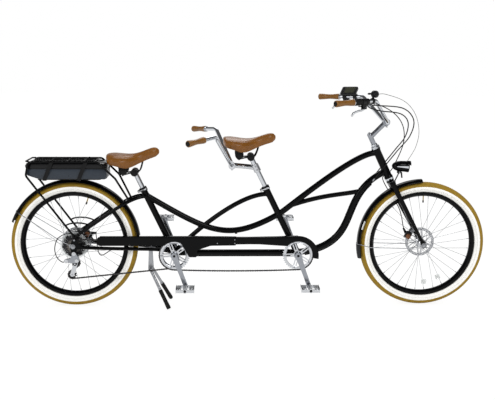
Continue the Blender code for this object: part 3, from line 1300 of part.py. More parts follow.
def build_post(name, bracket, up, seat_length, height, seat, saddle):
    """Seat post with the saddle's clamp, its two rails and the pair of rubber springs."""
    low = bracket + up * (seat_length - SEAT_BORE_DEPTH + 0.060)
    clamp = bracket + up * height
    post = rod(low, clamp, POST_RADIUS, 12)
    local = seat.inverted() @ clamp
    yoke = Vector((0, 0.034, 0))
    fuse(post, rod(seat @ (local - yoke), seat @ (local + yoke), 0.0165, 10))
    for side in (LEFT, RIGHT):
        rail = [(-0.086, side * 0.052, -0.086), (-0.045, side * 0.036, local.z),
                (local.x, side * 0.023, local.z), (0.045, side * 0.020, local.z + 0.014),
                (0.094, side * 0.010, -0.006)]
        low_end, high_end = Vector((-0.086, side * 0.052, -0.094)), Vector((-0.086, side * 0.052, -0.035))
        spring = rod(seat @ low_end, seat @ high_end, 0.0165, 6, 0.0135)
        fuse(post, tube([seat @ Vector(p) for p in rail], 0.0040, 0), spring)
    combine(post, padded_copy(saddle), "DIFFERENCE")
    return named(post, name, "chrome")


def padded_copy(obj):
    """A copy grown by the clearance, for cutting a neighbour back from it."""
    bm = bmesh.new()
    bm.from_mesh(obj.data)
    bm.normal_update()
    for vert in bm.verts:
        vert.co += vert.normal * (2 * GAP)
    return solid(bm)


def build_seats():
    heights = {"captain": (CAPTAIN_POST_REACH, CAPTAIN_SADDLE_TILT),
               "stoker": (STOKER_POST_REACH, STOKER_SADDLE_TILT)}
    for rider, (bracket, up, length) in RIDERS.items():
        height, tilt = heights[rider]
        seat = saddle_seat(bracket, up, height, tilt)
        saddle = build_saddle(f"{rider}_saddle", seat)
        build_post(f"{rider}_seatpost", bracket, up, length, height, seat, saddle)
        build_clamp_lever(f"{rider}_clamp_lever", clamp_pivot(bracket, up, length), up)


def build_stoker_bar():
    """The stoker's stem on the captain's post, its bar and both grips."""
    post = CAPTAIN_BRACKET + CAPTAIN_UP * STOKER_STEM_AT_POST
    clamp = STOKER_BAR_CLAMP
    stem = rod(post - CAPTAIN_UP * 0.021, post + CAPTAIN_UP * 0.021, POST_RADIUS + 0.006, 12)
    fuse(stem, rod(post, clamp, 0.0115, 10), across(clamp, -0.020, 0.020, STEM_CLAMP_RADIUS, 12))
    cut(stem, rod(post - CAPTAIN_UP * 0.1, post + CAPTAIN_UP * 0.1, POST_RADIUS + GAP, 12),
        tube(stoker_bar_path(), BAR_RADIUS + GAP))
    named(stem, "stoker_stem", "polished_aluminium")
    named(tube(stoker_bar_path(), BAR_RADIUS), "stoker_handlebar", "chrome")
    for label, side in SIDES.items():
        place = bar_end_frame(STOKER_RISE_CORNER, STOKER_BAR_END, side)
        build_grip(f"stoker_{label}_grip", place, LEFT_GRIP_LENGTH)


def rack_side(side):
    """One side of the rack: up from the dropout, round the rear bend, along the rail and down to the stay."""
    foot_y = REAR_DROPOUT_Y + DROPOUT_THICKNESS + GAP + RACK_TUBE_RADIUS
    rear, front = BATTERY_REAR + 0.006, BATTERY_REAR + 0.380
    stay = min(bezier_fine(seat_stay_path(side)), key=lambda p: abs(p.x - (REAR_HUB.x + 0.300)))
    corners = [REAR_HUB + Vector((0.010, side * foot_y, 0.034)),
               REAR_HUB + Vector((0.006, side * foot_y, 0.062)),
               (rear, side * RACK_HALF_WIDTH, RACK_RAIL_HEIGHT - 0.072),
               (rear + 0.016, side * RACK_HALF_WIDTH, RACK_RAIL_HEIGHT),
               (front, side * RACK_HALF_WIDTH, RACK_RAIL_HEIGHT),
               (front + 0.090, side * RACK_HALF_WIDTH, RACK_RAIL_HEIGHT - 0.088),
               stay]
    return bent(corners, 0.024, 2)


def build_rack():
    """Rack: two bent tubes, the battery's tray and the two leaning straps that carry it from the rails."""
    rack = tube(rack_side(LEFT), RACK_TUBE_RADIUS, 1)
    side_y = BATTERY_WIDTH / 2 + 0.0025
    wall = RACK_HALF_WIDTH - side_y
    pieces = [tube(rack_side(RIGHT), RACK_TUBE_RADIUS, 1),
              block((BATTERY_REAR + 0.225, 0, TRAY_TOP - TRAY_THICKNESS / 2), (0.330, 0.120, TRAY_THICKNESS))]
    for x in (BATTERY_REAR + 0.101, BATTERY_REAR + 0.279):
        low = TRAY_TOP - 0.006
        outer = side_y + wall
        profile = [(-outer, RACK_RAIL_HEIGHT), (-outer, low), (outer, low), (outer, RACK_RAIL_HEIGHT),
                   (side_y + 0.0005, RACK_RAIL_HEIGHT), (side_y + 0.0005, TRAY_TOP - 0.0005),
                   (-side_y - 0.0005, TRAY_TOP - 0.0005), (-side_y - 0.0005, RACK_RAIL_HEIGHT)]
        foot = x - STRAP_LEAN * TRAY_TOP
        leaning = Matrix(((0, STRAP_LEAN, 1, foot), (1, 0, 0, 0), (0, 1, 0, 0), (0, 0, 0, 1)))
        pieces.append(prism(profile, -0.009, 0.009, leaning))
    fuse(rack, *pieces)
    for side in (LEFT, RIGHT):
        cut(rack, tube(seat_stay_path(side), STAY_RADIUS + GAP, 2))
    return named(rack, "rear_rack", "black_enamel")


def build_battery():
    """Battery case: a rounded slab whose underside rises to the rear, with a pull recess in its end."""
    low = TRAY_TOP + GAP
    top = low + BATTERY_HEIGHT
    front = BATTERY_REAR + BATTERY_LENGTH
    outline = [(BATTERY_REAR + 0.006, low + 0.024), (BATTERY_REAR + 0.060, low + 0.004),
               (BATTERY_REAR + 0.075, low), (front - 0.012, low), (front, low + 0.012), (front, top - 0.018),
               (front - 0.014, top - 0.006), (front - 0.055, top), (BATTERY_REAR + 0.020, top),
               (BATTERY_REAR, top - 0.016)]
    half = BATTERY_WIDTH / 2
    battery = prism(outline, -half, half, SIDE_VIEW)
    bevel = battery.modifiers.new("edges", "BEVEL")
    bevel.width = 0.006
    bevel.segments = 1
    bevel.limit_method = "ANGLE"
    bevel.angle_limit = math.radians(60)
    bake(battery)
    cut(battery, block((BATTERY_REAR, 0, low + 0.052), (0.036, 0.090, 0.022)))
    return named(battery, "battery", "battery_plastic")


def from_head(*offsets):
    """Points given from the head tube's lower end."""
    return [HEAD_BOTTOM + Vector(offset) for offset in offsets]


def build_cables():
    """Brake and shift housings from the right controls to the down tube, and the lamp's wire."""
    place = bar_end_frame(BAR_RISE_CORNER, BAR_END, RIGHT)
    inward = LEVER_PIVOT[RIGHT][2]
    brake = [place @ Vector((0.0206, 0, inward + 0.0352)), place @ Vector((0.0250, -0.004, inward + 0.090)),
             *from_head((0.040, -0.105, 0.381), (0.108, -0.055, 0.316), (0.095, -0.036, 0.231),
                        (0.032, -0.0315, 0.151), (-0.044, -0.0285, 0.053), (-0.092, -0.0205, -0.0127))]
    named(tube(through(brake, 2), CABLE_RADIUS), "rear_brake_cable", "black_rubber")
    _, aside, pod = SHIFT_PIVOT
    shift = [place @ Vector((0.0190, aside + 0.002, pod + 0.0137)),
             place @ Vector((0.0360, aside - 0.004, pod + 0.034)),
             place @ Vector((0.0500, -0.030, pod + 0.066)),
             *from_head((0.025, -0.085, 0.343), (0.076, -0.020, 0.291), (0.062, 0.010, 0.221),
                        (0.018, 0.030, 0.146), (-0.050, 0.0285, 0.043), (-0.100, 0.0205, -0.0247))]
    named(tube(through(shift, 2), CABLE_RADIUS), "shift_cable", "black_rubber")
    down, aside, pod = SWITCH_POD
    lamp_top = LAMP_CENTRE + Vector((LAMP_LENGTH / 2 - 0.005, 0, LAMP_RADIUS))
    wire = [place @ Vector((down, aside - 0.0165, pod)), place @ Vector((down, aside - 0.050, pod + 0.030)),
            *from_head((0.050, -0.085, 0.416), (0.118, -0.045, 0.346), (0.148, -0.015, 0.251),
                       (0.136, 0, 0.166)),
            lamp_top - Vector((0, 0, 0.0015))]
    named(tube(through(wire, 2), WIRE_RADIUS), "lamp_wire", "black_rubber")


def hang(name, pivot, pieces, carrier=None):
    """An empty on a joint's axis that carries the pieces moving with it, itself carried by another one."""
    axis = bpy.data.objects.new(f"{name}_axis", None)
    bpy.context.scene.collection.objects.link(axis)
    axis.location = pivot
    if carrier is not None:
        parent, parent_pivot = carrier
        axis.parent = parent
        axis.location = pivot - parent_pivot
    for piece in pieces:
        obj = bpy.data.objects[piece]
        obj.data.transform(Matrix.Translation(-pivot))
        obj.parent = axis
    return axis, pivot


def hang_moving_pieces():
    """Sets every moving piece on its joint's axis."""
    steering = hang("steering", HEAD_BOTTOM, [
        "fork", "front_fender", "stem", "handlebar", "left_grip", "right_grip", "left_lever_perch",
        "right_lever_perch", "display", "light_switch", "headlight", "front_caliper", "rear_brake_cable",
        "shift_cable", "lamp_wire"])
    hang("front_wheel", FRONT_HUB, ["front_tyre", "front_rim", "front_hub"], steering)
    for label, side in SIDES.items():
        hang(f"{label}_brake", on_bar(side, LEVER_PIVOT[side]), [f"{label}_brake_lever"], steering)
    hang("throttle", on_bar(RIGHT, (0, 0, GRIP_LENGTH + THROTTLE_LENGTH / 2)), ["throttle"], steering)
    hang("shift", on_bar(RIGHT, SHIFT_PIVOT), ["shift_lever"], steering)
    hang("rear_wheel", REAR_HUB, ["rear_tyre", "rear_rim", "rear_hub"])
    hang("cassette", REAR_HUB, ["cassette"])
    hang("tension_pulley", pulley_place(TENSION_PULLEY), ["tension_pulley"])
    for rider, (bracket, up, length) in RIDERS.items():
        crank = hang(f"{rider}_crank", bracket, [f"{rider}_crank"])
        for label, side in SIDES.items():
            hang(f"{rider}_{label}_pedal", pedal_axis(bracket, side), [f"{rider}_{label}_pedal"], crank)
        hang(f"{rider}_clamp", clamp_pivot(bracket, up, length), [f"{rider}_clamp_lever"])
    hang("captain_post", CAPTAIN_BRACKET, ["captain_seatpost", "captain_saddle", "stoker_stem",
                                           "stoker_handlebar", "stoker_left_grip", "stoker_right_grip"])
    hang("stoker_post", STOKER_BRACKET, ["stoker_seatpost", "stoker_saddle"])
    hang("battery", Vector((BATTERY_REAR, 0, TRAY_TOP)), ["battery"])
    hang("stand", stand_pivot(), ["centre_stand"])


def main():
    for obj in list(bpy.data.objects):
        bpy.data.objects.remove(obj)
    paths = frame_paths()
    build_head_tube()
    build_main_tubes(paths)
    for rider, place in RIDERS.items():
        build_seat_tube(f"{rider}_seat_tube", *place, with_shell=rider == "stoker")
    build_seat_stays()
    build_chain_stays()
    build_stand()
    build_wheels()
    build_cassette()
    build_chains()
    build_crank("captain_crank", CAPTAIN_BRACKET, [(RING_TEETH, TIMING_LINE)])
    build_crank("stoker_crank", STOKER_BRACKET, [(RING_TEETH, TIMING_LINE), (DRIVE_TEETH, DRIVE_LINE)])
    for rider, (bracket, _, _) in RIDERS.items():
        for label, side in SIDES.items():
            build_pedal(f"{rider}_{label}_pedal", pedal_axis(bracket, side), side)
    build_guard()
    build_derailleur()
    caliper("front_caliper", FRONT_HUB, FRONT_ROTOR_Y, math.radians(118), fork_blade(LEFT, GAP))
    caliper("rear_caliper", REAR_HUB, REAR_ROTOR_Y, math.radians(236),
            tube(chain_stay_path(LEFT), STAY_RADIUS + GAP))
    build_fork()
    build_fenders()
    build_stem()
    build_controls()
    build_headlight()
    build_seats()
    build_stoker_bar()
    build_rack()
    build_battery()
    build_cables()
    hang_moving_pieces()


main()
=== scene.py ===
"""Looks of an electric tandem cruiser bicycle, built round its CAD frame.

Metres, with +X forward, +Y to the riders' left and +Z up. A shell is a pair: an array of points and a list
of face arrays.
"""

import bpy
import numpy as np
from mathutils import Matrix


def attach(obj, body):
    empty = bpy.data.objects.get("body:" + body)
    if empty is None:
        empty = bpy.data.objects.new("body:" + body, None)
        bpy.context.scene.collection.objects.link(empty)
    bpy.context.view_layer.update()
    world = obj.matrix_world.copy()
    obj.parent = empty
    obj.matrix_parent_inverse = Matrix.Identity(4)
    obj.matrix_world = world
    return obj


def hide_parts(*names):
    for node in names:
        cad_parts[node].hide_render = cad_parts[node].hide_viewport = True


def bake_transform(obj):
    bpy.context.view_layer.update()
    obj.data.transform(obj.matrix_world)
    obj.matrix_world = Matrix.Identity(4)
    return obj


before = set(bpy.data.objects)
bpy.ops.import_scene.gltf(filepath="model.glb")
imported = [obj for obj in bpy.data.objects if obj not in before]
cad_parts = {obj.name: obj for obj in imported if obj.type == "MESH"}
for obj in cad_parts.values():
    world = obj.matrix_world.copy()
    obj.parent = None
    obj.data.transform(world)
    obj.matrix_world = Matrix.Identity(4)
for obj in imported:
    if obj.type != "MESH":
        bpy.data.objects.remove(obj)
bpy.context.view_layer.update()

LEFT, RIGHT = 1, -1
UP, ACROSS, AHEAD = np.array([0.0, 0, 1]), np.array([0.0, 1, 0]), np.array([1.0, 0, 0])


# Surfaces

def vec(*xyz):
    """A point or an offset."""
    return np.array(xyz, float)


def unit(v):
    """The same directions with length 1."""
    return v / np.linalg.norm(v, axis=-1, keepdims=True)


def ray(degrees):
    """Directions in the side view, at angles from ahead towards up: (cos, 0, sin)."""
    turn = np.radians(degrees)
    return np.stack([np.cos(turn), np.zeros_like(turn), np.sin(turn)], -1)


def lattice(points, wrap_u=False, wrap_v=False):
    """Quads between neighbours on a (u, v) grid of points; a wrapped direction joins its ends."""
    rows, columns = points.shape[:2]
    index = np.arange(rows * columns).reshape(rows, columns)
    index = np.vstack([index, index[:1]]) if wrap_u else index
    index = np.hstack([index, index[:, :1]]) if wrap_v else index
    quads = np.stack([index[:-1, :-1], index[1:, :-1], index[1:, 1:], index[:-1, 1:]], -1)
    return points.reshape(-1, 3), [quads.reshape(-1, 4)]


def outward(shell):
    """The same closed shell with its faces pointing out: turned round where its signed volume is negative."""
    points, faces = shell
    centred = points - points.mean(0)
    volume = sum(np.sum(centred[f[:, 0]] * np.cross(centred[f[:, k]], centred[f[:, k + 1]]))
                 for f in faces for k in range(1, f.shape[1] - 1))
    return shell if volume > 0 else (points, [f[:, ::-1] for f in faces])


def filled(points, wrap_u=False):
    """A grid of rings as a closed shell, with its first and last rings filled unless they join."""
    rows, columns = points.shape[:2]
    flat, faces = lattice(points, wrap_u, True)
    ring = np.arange(columns)
    ends = [] if wrap_u else [ring[None], (ring + (rows - 1) * columns)[None, ::-1]]
    return outward((flat, faces + ends))


def carry(path, section, closed=False, across=None):
    """A flat section of (a, b) pairs carried along a path: point = path + a * normal + b * binormal.

    The normal is the part of one fixed direction that is square to the path; where none is given it is the
    direction, of nine, that the path never comes near to.
    """
    path = np.asarray(path, float)
    steps = np.roll(path, -1, 0) - np.roll(path, 1, 0) if closed else np.gradient(path, axis=0)
    tangent = unit(steps)
    if across is None:
        pairs = ((1, 1, 0), (1, -1, 0), (1, 0, 1), (1, 0, -1), (0, 1, 1), (0, 1, -1))
        choices = unit(np.array([AHEAD, ACROSS, UP, *pairs]))
        across = choices[np.abs(tangent @ choices.T).max(0).argmin()]
    normal = unit(across - tangent * (tangent @ across)[:, None])
    binormal = np.cross(tangent, normal)
    section = np.broadcast_to(np.asarray(section, float), (len(path), *np.shape(section)[-2:]))
    return filled(path[:, None] + section[..., :1] * normal[:, None] + section[..., 1:] * binormal[:, None],
                  closed)


def ring(sides, power=1.0):
    """A circle of radius 1, or a squarer one for a power under 1: signed cos and sin to that power."""
    angle = np.linspace(0, 2 * np.pi, sides, endpoint=False)
    pair = np.stack([np.cos(angle), np.sin(angle)], -1)
    return np.sign(pair) * np.abs(pair) ** power


def bar(path, radius, sides=16, closed=False):
    """A round bar: a circle of one radius, or of a radius for each point, carried along a path."""
    return carry(path, np.multiply.outer(np.broadcast_to(radius, len(path)), ring(sides)), closed)


def rod(start, end, radius, sides=20, lip=0.0006):
    """A straight round bar whose two edges are cut back by a small lip."""
    length = np.linalg.norm(np.subtract(end, start))
    lip = min(lip, radius * 0.4, length * 0.3)
    return turned([(0, 0), (radius - lip, 0), (radius, lip), (radius, length - lip), (radius - lip, length),
                   (0, length)], start, np.subtract(end, start), sides)


def turned(profile, origin, along, sides=40, closed=False):
    """A profile of (radius, height) pairs turned about an axis.

    Point = origin + height * axis + radius * spoke(angle).
    A closed profile makes a ring; an open one has its two ends filled.
    """
    profile = np.asarray(profile, float)
    axis = unit(np.asarray(along, float))
    first = unit(np.cross(axis, UP if abs(axis[2]) < 0.9 else AHEAD))
    spoke = ring(sides) @ np.stack([first, np.cross(axis, first)])
    radius = np.maximum(profile[:, :1, None], 2e-5)
    points = np.asarray(origin) + radius * spoke[None] + profile[:, 1:, None] * axis
    return filled(points, closed)


def square_ring(inner, outer, low, high):
    """The profile of a ring with square edges."""
    return [(inner, low), (outer, low), (outer, high), (inner, high)]


def cut_ring(inner, outer, low, high, cut=0.001, rise=0.001):
    """The profile of a ring whose outer edges are cut back: by cut in radius, by rise in height."""
    return [(inner, low), (outer - cut, low), (outer, low + rise), (outer, high - rise),
            (outer - cut, high), (inner, high)]


def aim(origin, along, across):
    """A place whose third direction runs along one vector, with its first nearest to another."""
    third = unit(np.asarray(along, float))
    first = unit(across - third * np.dot(third, across))
    place = np.eye(4)
    place[:3, :3] = np.stack([first, np.cross(third, first), third], -1)
    place[:3, 3] = origin
    return place


def side_at(centre=(0, 0, 0), side=RIGHT):
    """A place that stands a flat outline up in one side's view, its third direction to that side."""
    return np.array([[-side, 0, 0, centre[0]], [0, 0, side, 0], [0, 1, 0, centre[2]], [0, 0, 0, 1]], float)


def spun(degrees):
    """A turn about the third direction."""
    c, s = np.cos(np.radians(degrees)), np.sin(np.radians(degrees))
    return np.array([[c, -s, 0, 0], [s, c, 0, 0], [0, 0, 1, 0], [0, 0, 0, 1]])


def shifted(*offset):
    """A place moved by an offset, with its directions unturned."""
    place = np.eye(4)
    place[:3, 3] = offset
    return place


def placed(first, second, third, origins):
    """Many places as one array, from their three directions and their origins."""
    places = np.zeros((len(origins), 4, 4))
    for column, values in enumerate((first, second, third, origins)):
        places[:, :3, column] = values
    places[:, 3, 3] = 1
    return places


def at(place, *xyz):
    """A point, or an array of points, given in a place's own directions."""
    return np.asarray(xyz[0] if len(xyz) == 1 else xyz, float) @ place[:3, :3].T + place[:3, 3]


def repeat(shell, places):
    """One shell copied to many places at once: every place's matrix times every point."""
    points, faces = shell
    places = np.asarray(places)
    copies = np.einsum("kij,nj->kni", places[:, :3, :3], points) + places[:, None, :3, 3]
    offset = np.arange(len(places))[:, None, None] * len(points)
    return copies.reshape(-1, 3), [(f[None] + offset).reshape(-1, f.shape[1]) for f in faces]


def stacked(outline, rows):
    """Rings of one flat outline: a scale and a height for each."""
    return np.stack([np.column_stack([scale * outline, np.full(len(outline), height)])
                     for scale, height in rows])


def plate(outline, low, high, place, edge=0.0005):
    """A flat outline raised from low to high.

    Each corner moves in along its bisector at both faces, which rounds the edge.
    """
    outline = np.asarray(outline, float)
    ahead = unit(np.roll(outline, -1, 0) - outline)
    normal = np.stack([-ahead[:, 1], ahead[:, 0]], -1)
    x, y = outline.T
    normal *= np.sign(np.sum(x * np.roll(y, -1) - y * np.roll(x, -1)))
    before = np.roll(normal, 1, 0)
    inset = edge * (normal + before) / np.maximum(1 + np.sum(normal * before, -1, keepdims=True), 0.3)
    level = [(1, low), (0.3, low + 0.3 * edge), (0, low + edge),
             (0, high - edge), (0.3, high - 0.3 * edge), (1, high)]
    rows = [np.column_stack([outline + share * inset, np.full(len(outline), height)])
            for share, height in level]
    return filled(at(place, np.stack(rows)))


def arc(centre, radius, first, last, count):
    """Points on an arc, in degrees, with both its ends."""
    angle = np.radians(np.linspace(first, last, count))
    return np.stack([centre[0] + radius * np.cos(angle), centre[1] + radius * np.sin(angle)], -1)


def link(start, end, radius_start, radius_end, count=12):
    """A flat link outline: two round ends joined by straight sides."""
    heading = np.degrees(np.arctan2(end[1] - start[1], end[0] - start[0]))
    return np.vstack([arc(start, radius_start, heading + 90, heading + 270, count),
                      arc(end, radius_end, heading - 90, heading + 90, count)])


def pebble(size, place, power=0.35, rows=18, columns=28):
    """A rounded block: half sizes times signed powers of the cosines and sines of a globe's two angles."""
    rise = np.linspace(-np.pi / 2 + 0.02, np.pi / 2 - 0.02, rows)
    girth, height = np.sign([np.cos(rise), np.sin(rise)]) * np.abs([np.cos(rise), np.sin(rise)]) ** power
    outline = ring(columns, power)
    globe = np.stack([np.column_stack([g * outline, np.full(columns, h)]) for g, h in zip(girth, height)])
    return filled(at(place, globe * np.asarray(size) / 2))


def punched(radii, angles, keep, low, high, place):
    """A flat disc on a polar grid: cells left out where keep is false, a wall at each cell's free side."""
    rows, columns = radii.shape
    flat = np.stack([radii * np.cos(angles), radii * np.sin(angles)], -1)
    points = np.stack([np.concatenate([flat, np.full((rows, columns, 1), z)], -1) for z in (low, high)])
    here = np.arange(points[..., 0].size).reshape(2, rows, columns)
    there = np.roll(here, -1, 2)
    a, b, c, d = here[:, :-1], here[:, 1:], there[:, 1:], there[:, :-1]
    blank = np.zeros((1, columns), bool)
    inner, outer = np.vstack([blank, keep[:-1]]), np.vstack([keep[1:], blank])
    walls = [(a, b, np.roll(keep, 1, 1)), (b, c, outer), (c, d, np.roll(keep, -1, 1)), (d, a, inner)]
    faces = [np.stack([x[1] for x in (a, b, c, d)], -1)[keep],
             np.stack([x[0] for x in (d, c, b, a)], -1)[keep]]
    faces += [np.stack([p[0], q[0], q[1], p[1]], -1)[keep & ~beside] for p, q, beside in walls]
    used, packed = np.unique(np.concatenate(faces), return_inverse=True)
    return at(place, points.reshape(-1, 3)[used]), [packed.reshape(-1, 4)]


def curve(start, leave, arrive, end, count=56):
    """Points on a cubic curve; leave and arrive are its handles, as offsets from its two ends."""
    t = np.linspace(0, 1, count)[:, None]
    b, c = np.add(start, leave), np.add(end, arrive)
    return start * (1 - t) ** 3 + 3 * b * t * (1 - t) ** 2 + 3 * c * t ** 2 * (1 - t) + end * t ** 3


def spline(p0, p1, p2, p3, t):
    """The Catmull-Rom cubic from p1 to p2, at shares t of the span."""
    return (2 * p1 + (p2 - p0) * t + (2 * p0 - 5 * p1 + 4 * p2 - p3) * t ** 2
            + (3 * p1 - p0 - 3 * p2 + p3) * t ** 3) / 2


def through(route, steps=12):
    """A smooth run through every point of a route: the Catmull-Rom cubic on each span."""
    route = np.asarray(route, float)
    ends = np.vstack([2 * route[0] - route[1], route, 2 * route[-1] - route[-2]])
    corners = [ends[i:len(ends) - 3 + i, None] for i in range(4)]
    run = spline(*corners, np.linspace(0, 1, steps, endpoint=False)[None, :, None])
    return np.vstack([run.reshape(-1, 3), route[-1:]])


def bent(corners, radius, steps=10):
    """Straight runs between corners, each inner corner rounded by an arc that touches both runs."""
    corners = np.asarray(corners, float)
    runs = [corners[:1]]
    t = np.linspace(0, 1, steps)[:, None]
    for before, corner, after in zip(corners, corners[1:], corners[2:]):
        back, on = unit(before - corner), unit(after - corner)
        half = np.arccos(np.clip(back @ on, -1, 1)) / 2
        centre = corner + unit(back + on) * radius / np.sin(half)
        first, last = (corner + way * radius / np.tan(half) - centre for way in (back, on))
        sweep = np.pi - 2 * half
        runs.append(centre + (first * np.sin((1 - t) * sweep) + last * np.sin(t * sweep)) / np.sin(sweep))
    return np.vstack([*runs, corners[-1:]])


def mirrored(points):
    """The left half's points after their reflection, as one run from right to left."""
    return np.vstack([points[::-1] * vec(1, -1, 1), points[1:]])


def bead(joint, along, tube_radius, axis_point, axis, big_radius):
    """A weld where a tube meets a round one, as a thin round bar on the closed curve where they cross.

    For each angle round the tube, the quadratic gives the step along it whose distance from the big tube's
    axis is the big radius.
    """
    along, axis = unit(np.asarray(along, float)), unit(np.asarray(axis, float))
    first = unit(np.cross(along, axis))
    around = joint + tube_radius * ring(64) @ np.stack([first, np.cross(along, first)])
    flat_step = along - axis * (along @ axis)
    offset = around - axis_point
    flat = offset - (offset @ axis)[:, None] * axis
    middle, square = flat @ flat_step, flat_step @ flat_step
    root = np.sqrt(np.maximum(middle ** 2 - square * (np.sum(flat ** 2, -1) - big_radius ** 2), 0))
    return bar(around + ((root - middle) / square)[:, None] * along, 0.0021, 8, closed=True)


# Finishes

def colour(code):
    """Linear colour of an sRGB hex code: c / 12.92 when dark, else ((c + 0.055) / 1.055) to the 2.4."""
    c = np.array([int(code[i:i + 2], 16) for i in (0, 2, 4)]) / 255
    return (*[float(x) for x in np.where(c <= 0.04045, c / 12.92, ((c + 0.055) / 1.055) ** 2.4)], 1.0)


def add(tree, kind, inputs=None, **settings):
    """One node of a kind, with its settings, its inputs set to values or linked to other nodes' outputs."""
    node = tree.nodes.new("ShaderNode" + kind)
    for key, value in settings.items():
        setattr(node, key, value)
    for key, value in (inputs or {}).items():
        if isinstance(value, bpy.types.NodeSocket):
            tree.links.new(value, node.inputs[key])
        else:
            node.inputs[key].default_value = value
    return node


def ramp(tree, value, low, high, first, last):
    """A value's share of the range from low to high, as a level from first to last."""
    limits = {"From Min": low, "From Max": high, "To Min": first, "To Max": last}
    return add(tree, "MapRange", {"Value": value, **limits}).outputs["Result"]


def surface(name, grain, rough, tones=None, bump=None, **sockets):
    """A material whose roughness, and colour where two tones are given, drift with a noise.

    The noise's scale is one over its real grain in metres; bump gives (grain, height) of its relief.
    """
    material = bpy.data.materials.new(name)
    material.use_nodes = True
    tree = material.node_tree
    shader = tree.nodes["Principled BSDF"]
    for key, value in sockets.items():
        shader.inputs[key.replace("_", " ")].default_value = value
    where = add(tree, "TexCoord").outputs["Object"]
    noise = {"Vector": where, "Scale": 1 / grain, "Detail": 4.0, "Roughness": 0.55}
    drift = add(tree, "TexNoise", noise).outputs["Fac"]
    tree.links.new(ramp(tree, drift, 0.3, 0.7, *rough), shader.inputs["Roughness"])
    if tones:
        mixed = add(tree, "Mix", {0: drift, 6: colour(tones[0]), 7: colour(tones[1])}, data_type="RGBA")
        tree.links.new(mixed.outputs[2], shader.inputs["Base Color"])
    if bump:
        relief = add(tree, "TexNoise",
                     {"Vector": where, "Scale": 1 / bump[0], "Detail": 3.0}).outputs["Fac"]
        slope = add(tree, "Bump", {"Height": relief, "Distance": bump[1], "Strength": 0.5})
        tree.links.new(slope.outputs["Normal"], shader.inputs["Normal"])
    return material, tree, shader, where


def leather(name, tones, crease):
    """Finished hide: rubbed patches, and cells drawn a little coarse, with painted shade in the creases
    between them.
    """
    material, tree, shader, where = surface(name, 0.045, (0.28, 0.4), Specular_IOR_Level=0.4)
    dark, plain, worn = (colour(tone) for tone in tones)
    grid = {"Vector": where, "Scale": 1 / crease}
    cells = add(tree, "TexVoronoi", grid, feature="DISTANCE_TO_EDGE").outputs["Distance"]
    ridge = ramp(tree, cells, 0.0, 0.16, 0.0, 1.0)
    patch = add(tree, "TexNoise", {"Vector": where, "Scale": 1 / 0.06, "Detail": 5.0}).outputs["Fac"]
    rubbed = add(tree, "Mix", {0: patch, 6: plain, 7: worn}, data_type="RGBA").outputs[2]
    # Painted shade: the darkest tone fills the creases at the cells' edges
    hide = add(tree, "Mix", {0: ridge, 6: dark, 7: rubbed}, data_type="RGBA").outputs[2]
    slope = add(tree, "Bump", {"Height": ridge, "Distance": 0.0002, "Strength": 0.06}).outputs["Normal"]
    tree.links.new(hide, shader.inputs["Base Color"])
    tree.links.new(slope, shader.inputs["Normal"])
    return material


# Stove enamel on steel: deep gloss black with the faint waviness of sprayed paint
black_enamel = surface("black_enamel", 0.03, (0.08, 0.16), ("030304", "070708"), (0.006, 0.0001),
                       Specular_IOR_Level=0.1)[0]
# Matt black paint on wire and brackets
satin_black = surface("satin_black_paint", 0.012, (0.32, 0.46), ("070708", "0d0d0f"),
                      Specular_IOR_Level=0.2)[0]
# Chrome plate on steel: mirror bright, its grey from what it reflects
chrome = surface("chrome_plate", 0.025, (0.05, 0.11), ("c2c5ca", "d3d6da"), Metallic=1.0)[0]
# Buffed aluminium: soft mirror with cloudy polishing marks
bright_alloy = surface("buffed_aluminium", 0.018, (0.16, 0.26), ("bdbfc3", "d0d2d5"), (0.004, 0.0001),
                       Metallic=1.0)[0]
# Forged and polished alloy of the stem and cranks, a shade greyer than chrome
grey_alloy = surface("forged_aluminium", 0.016, (0.16, 0.26), ("8a8d93", "a6a9af"), Metallic=1.0)[0]
# Zinc-plated steel: dull silver, slightly clouded
zinc = surface("zinc_plated_steel", 0.01, (0.26, 0.4), ("94969a", "adafb3"), Metallic=1.0)[0]
# Oiled steel of chains and sprockets: grey with a brown film
oiled_steel = surface("oiled_steel", 0.008, (0.3, 0.48), ("55514d", "77736f"), Metallic=1.0)[0]
# Dark phosphated steel of the chain's plates and the big sprockets
dark_steel = surface("phosphated_steel", 0.008, (0.35, 0.5), ("2a2a2c", "3f3e40"), Metallic=0.9)[0]
# Moulded nylon: fine spark-eroded grain, drawn at 2 mm so that it shows
black_plastic = surface("moulded_nylon", 0.014, (0.4, 0.54), ("08080a", "101012"), (0.002, 0.0002),
                        Specular_IOR_Level=0.25)[0]
# Vulcanised black rubber: dry and dusty
black_rubber = surface("black_rubber", 0.012, (0.6, 0.78), ("0c0c0c", "151515"), (0.003, 0.0002),
                       Specular_IOR_Level=0.2)[0]
# Tan tread rubber: olive gold in two tones
tan_rubber = surface("tan_tread_rubber", 0.02, (0.62, 0.8), ("7a5f12", "a08026"), (0.004, 0.0003),
                     Specular_IOR_Level=0.25)[0]
# White sidewall rubber
white_rubber = surface("white_sidewall_rubber", 0.04, (0.45, 0.62), ("efeeea", "f8f7f4"), (0.005, 0.0001),
                       Specular_IOR_Level=0.3)[0]
# Grey moulded line and bead of the tyre
grey_rubber = surface("grey_rubber", 0.012, (0.55, 0.7), ("85837e", "9b9993"), Specular_IOR_Level=0.3)[0]
# Tanned leather of the saddles and of the grips; the first tone of each is painted shade in the creases
saddle_leather = leather("tanned_saddle_leather", ("613804", "6e4105", "8c570c"), 0.0028)
grip_leather = leather("tanned_grip_leather", ("5c3a0b", "6e450d", "94631d"), 0.0026)
# Waxed linen thread
thread = surface("waxed_thread", 0.004, (0.6, 0.8), ("7c5522", "8f662e"))[0]
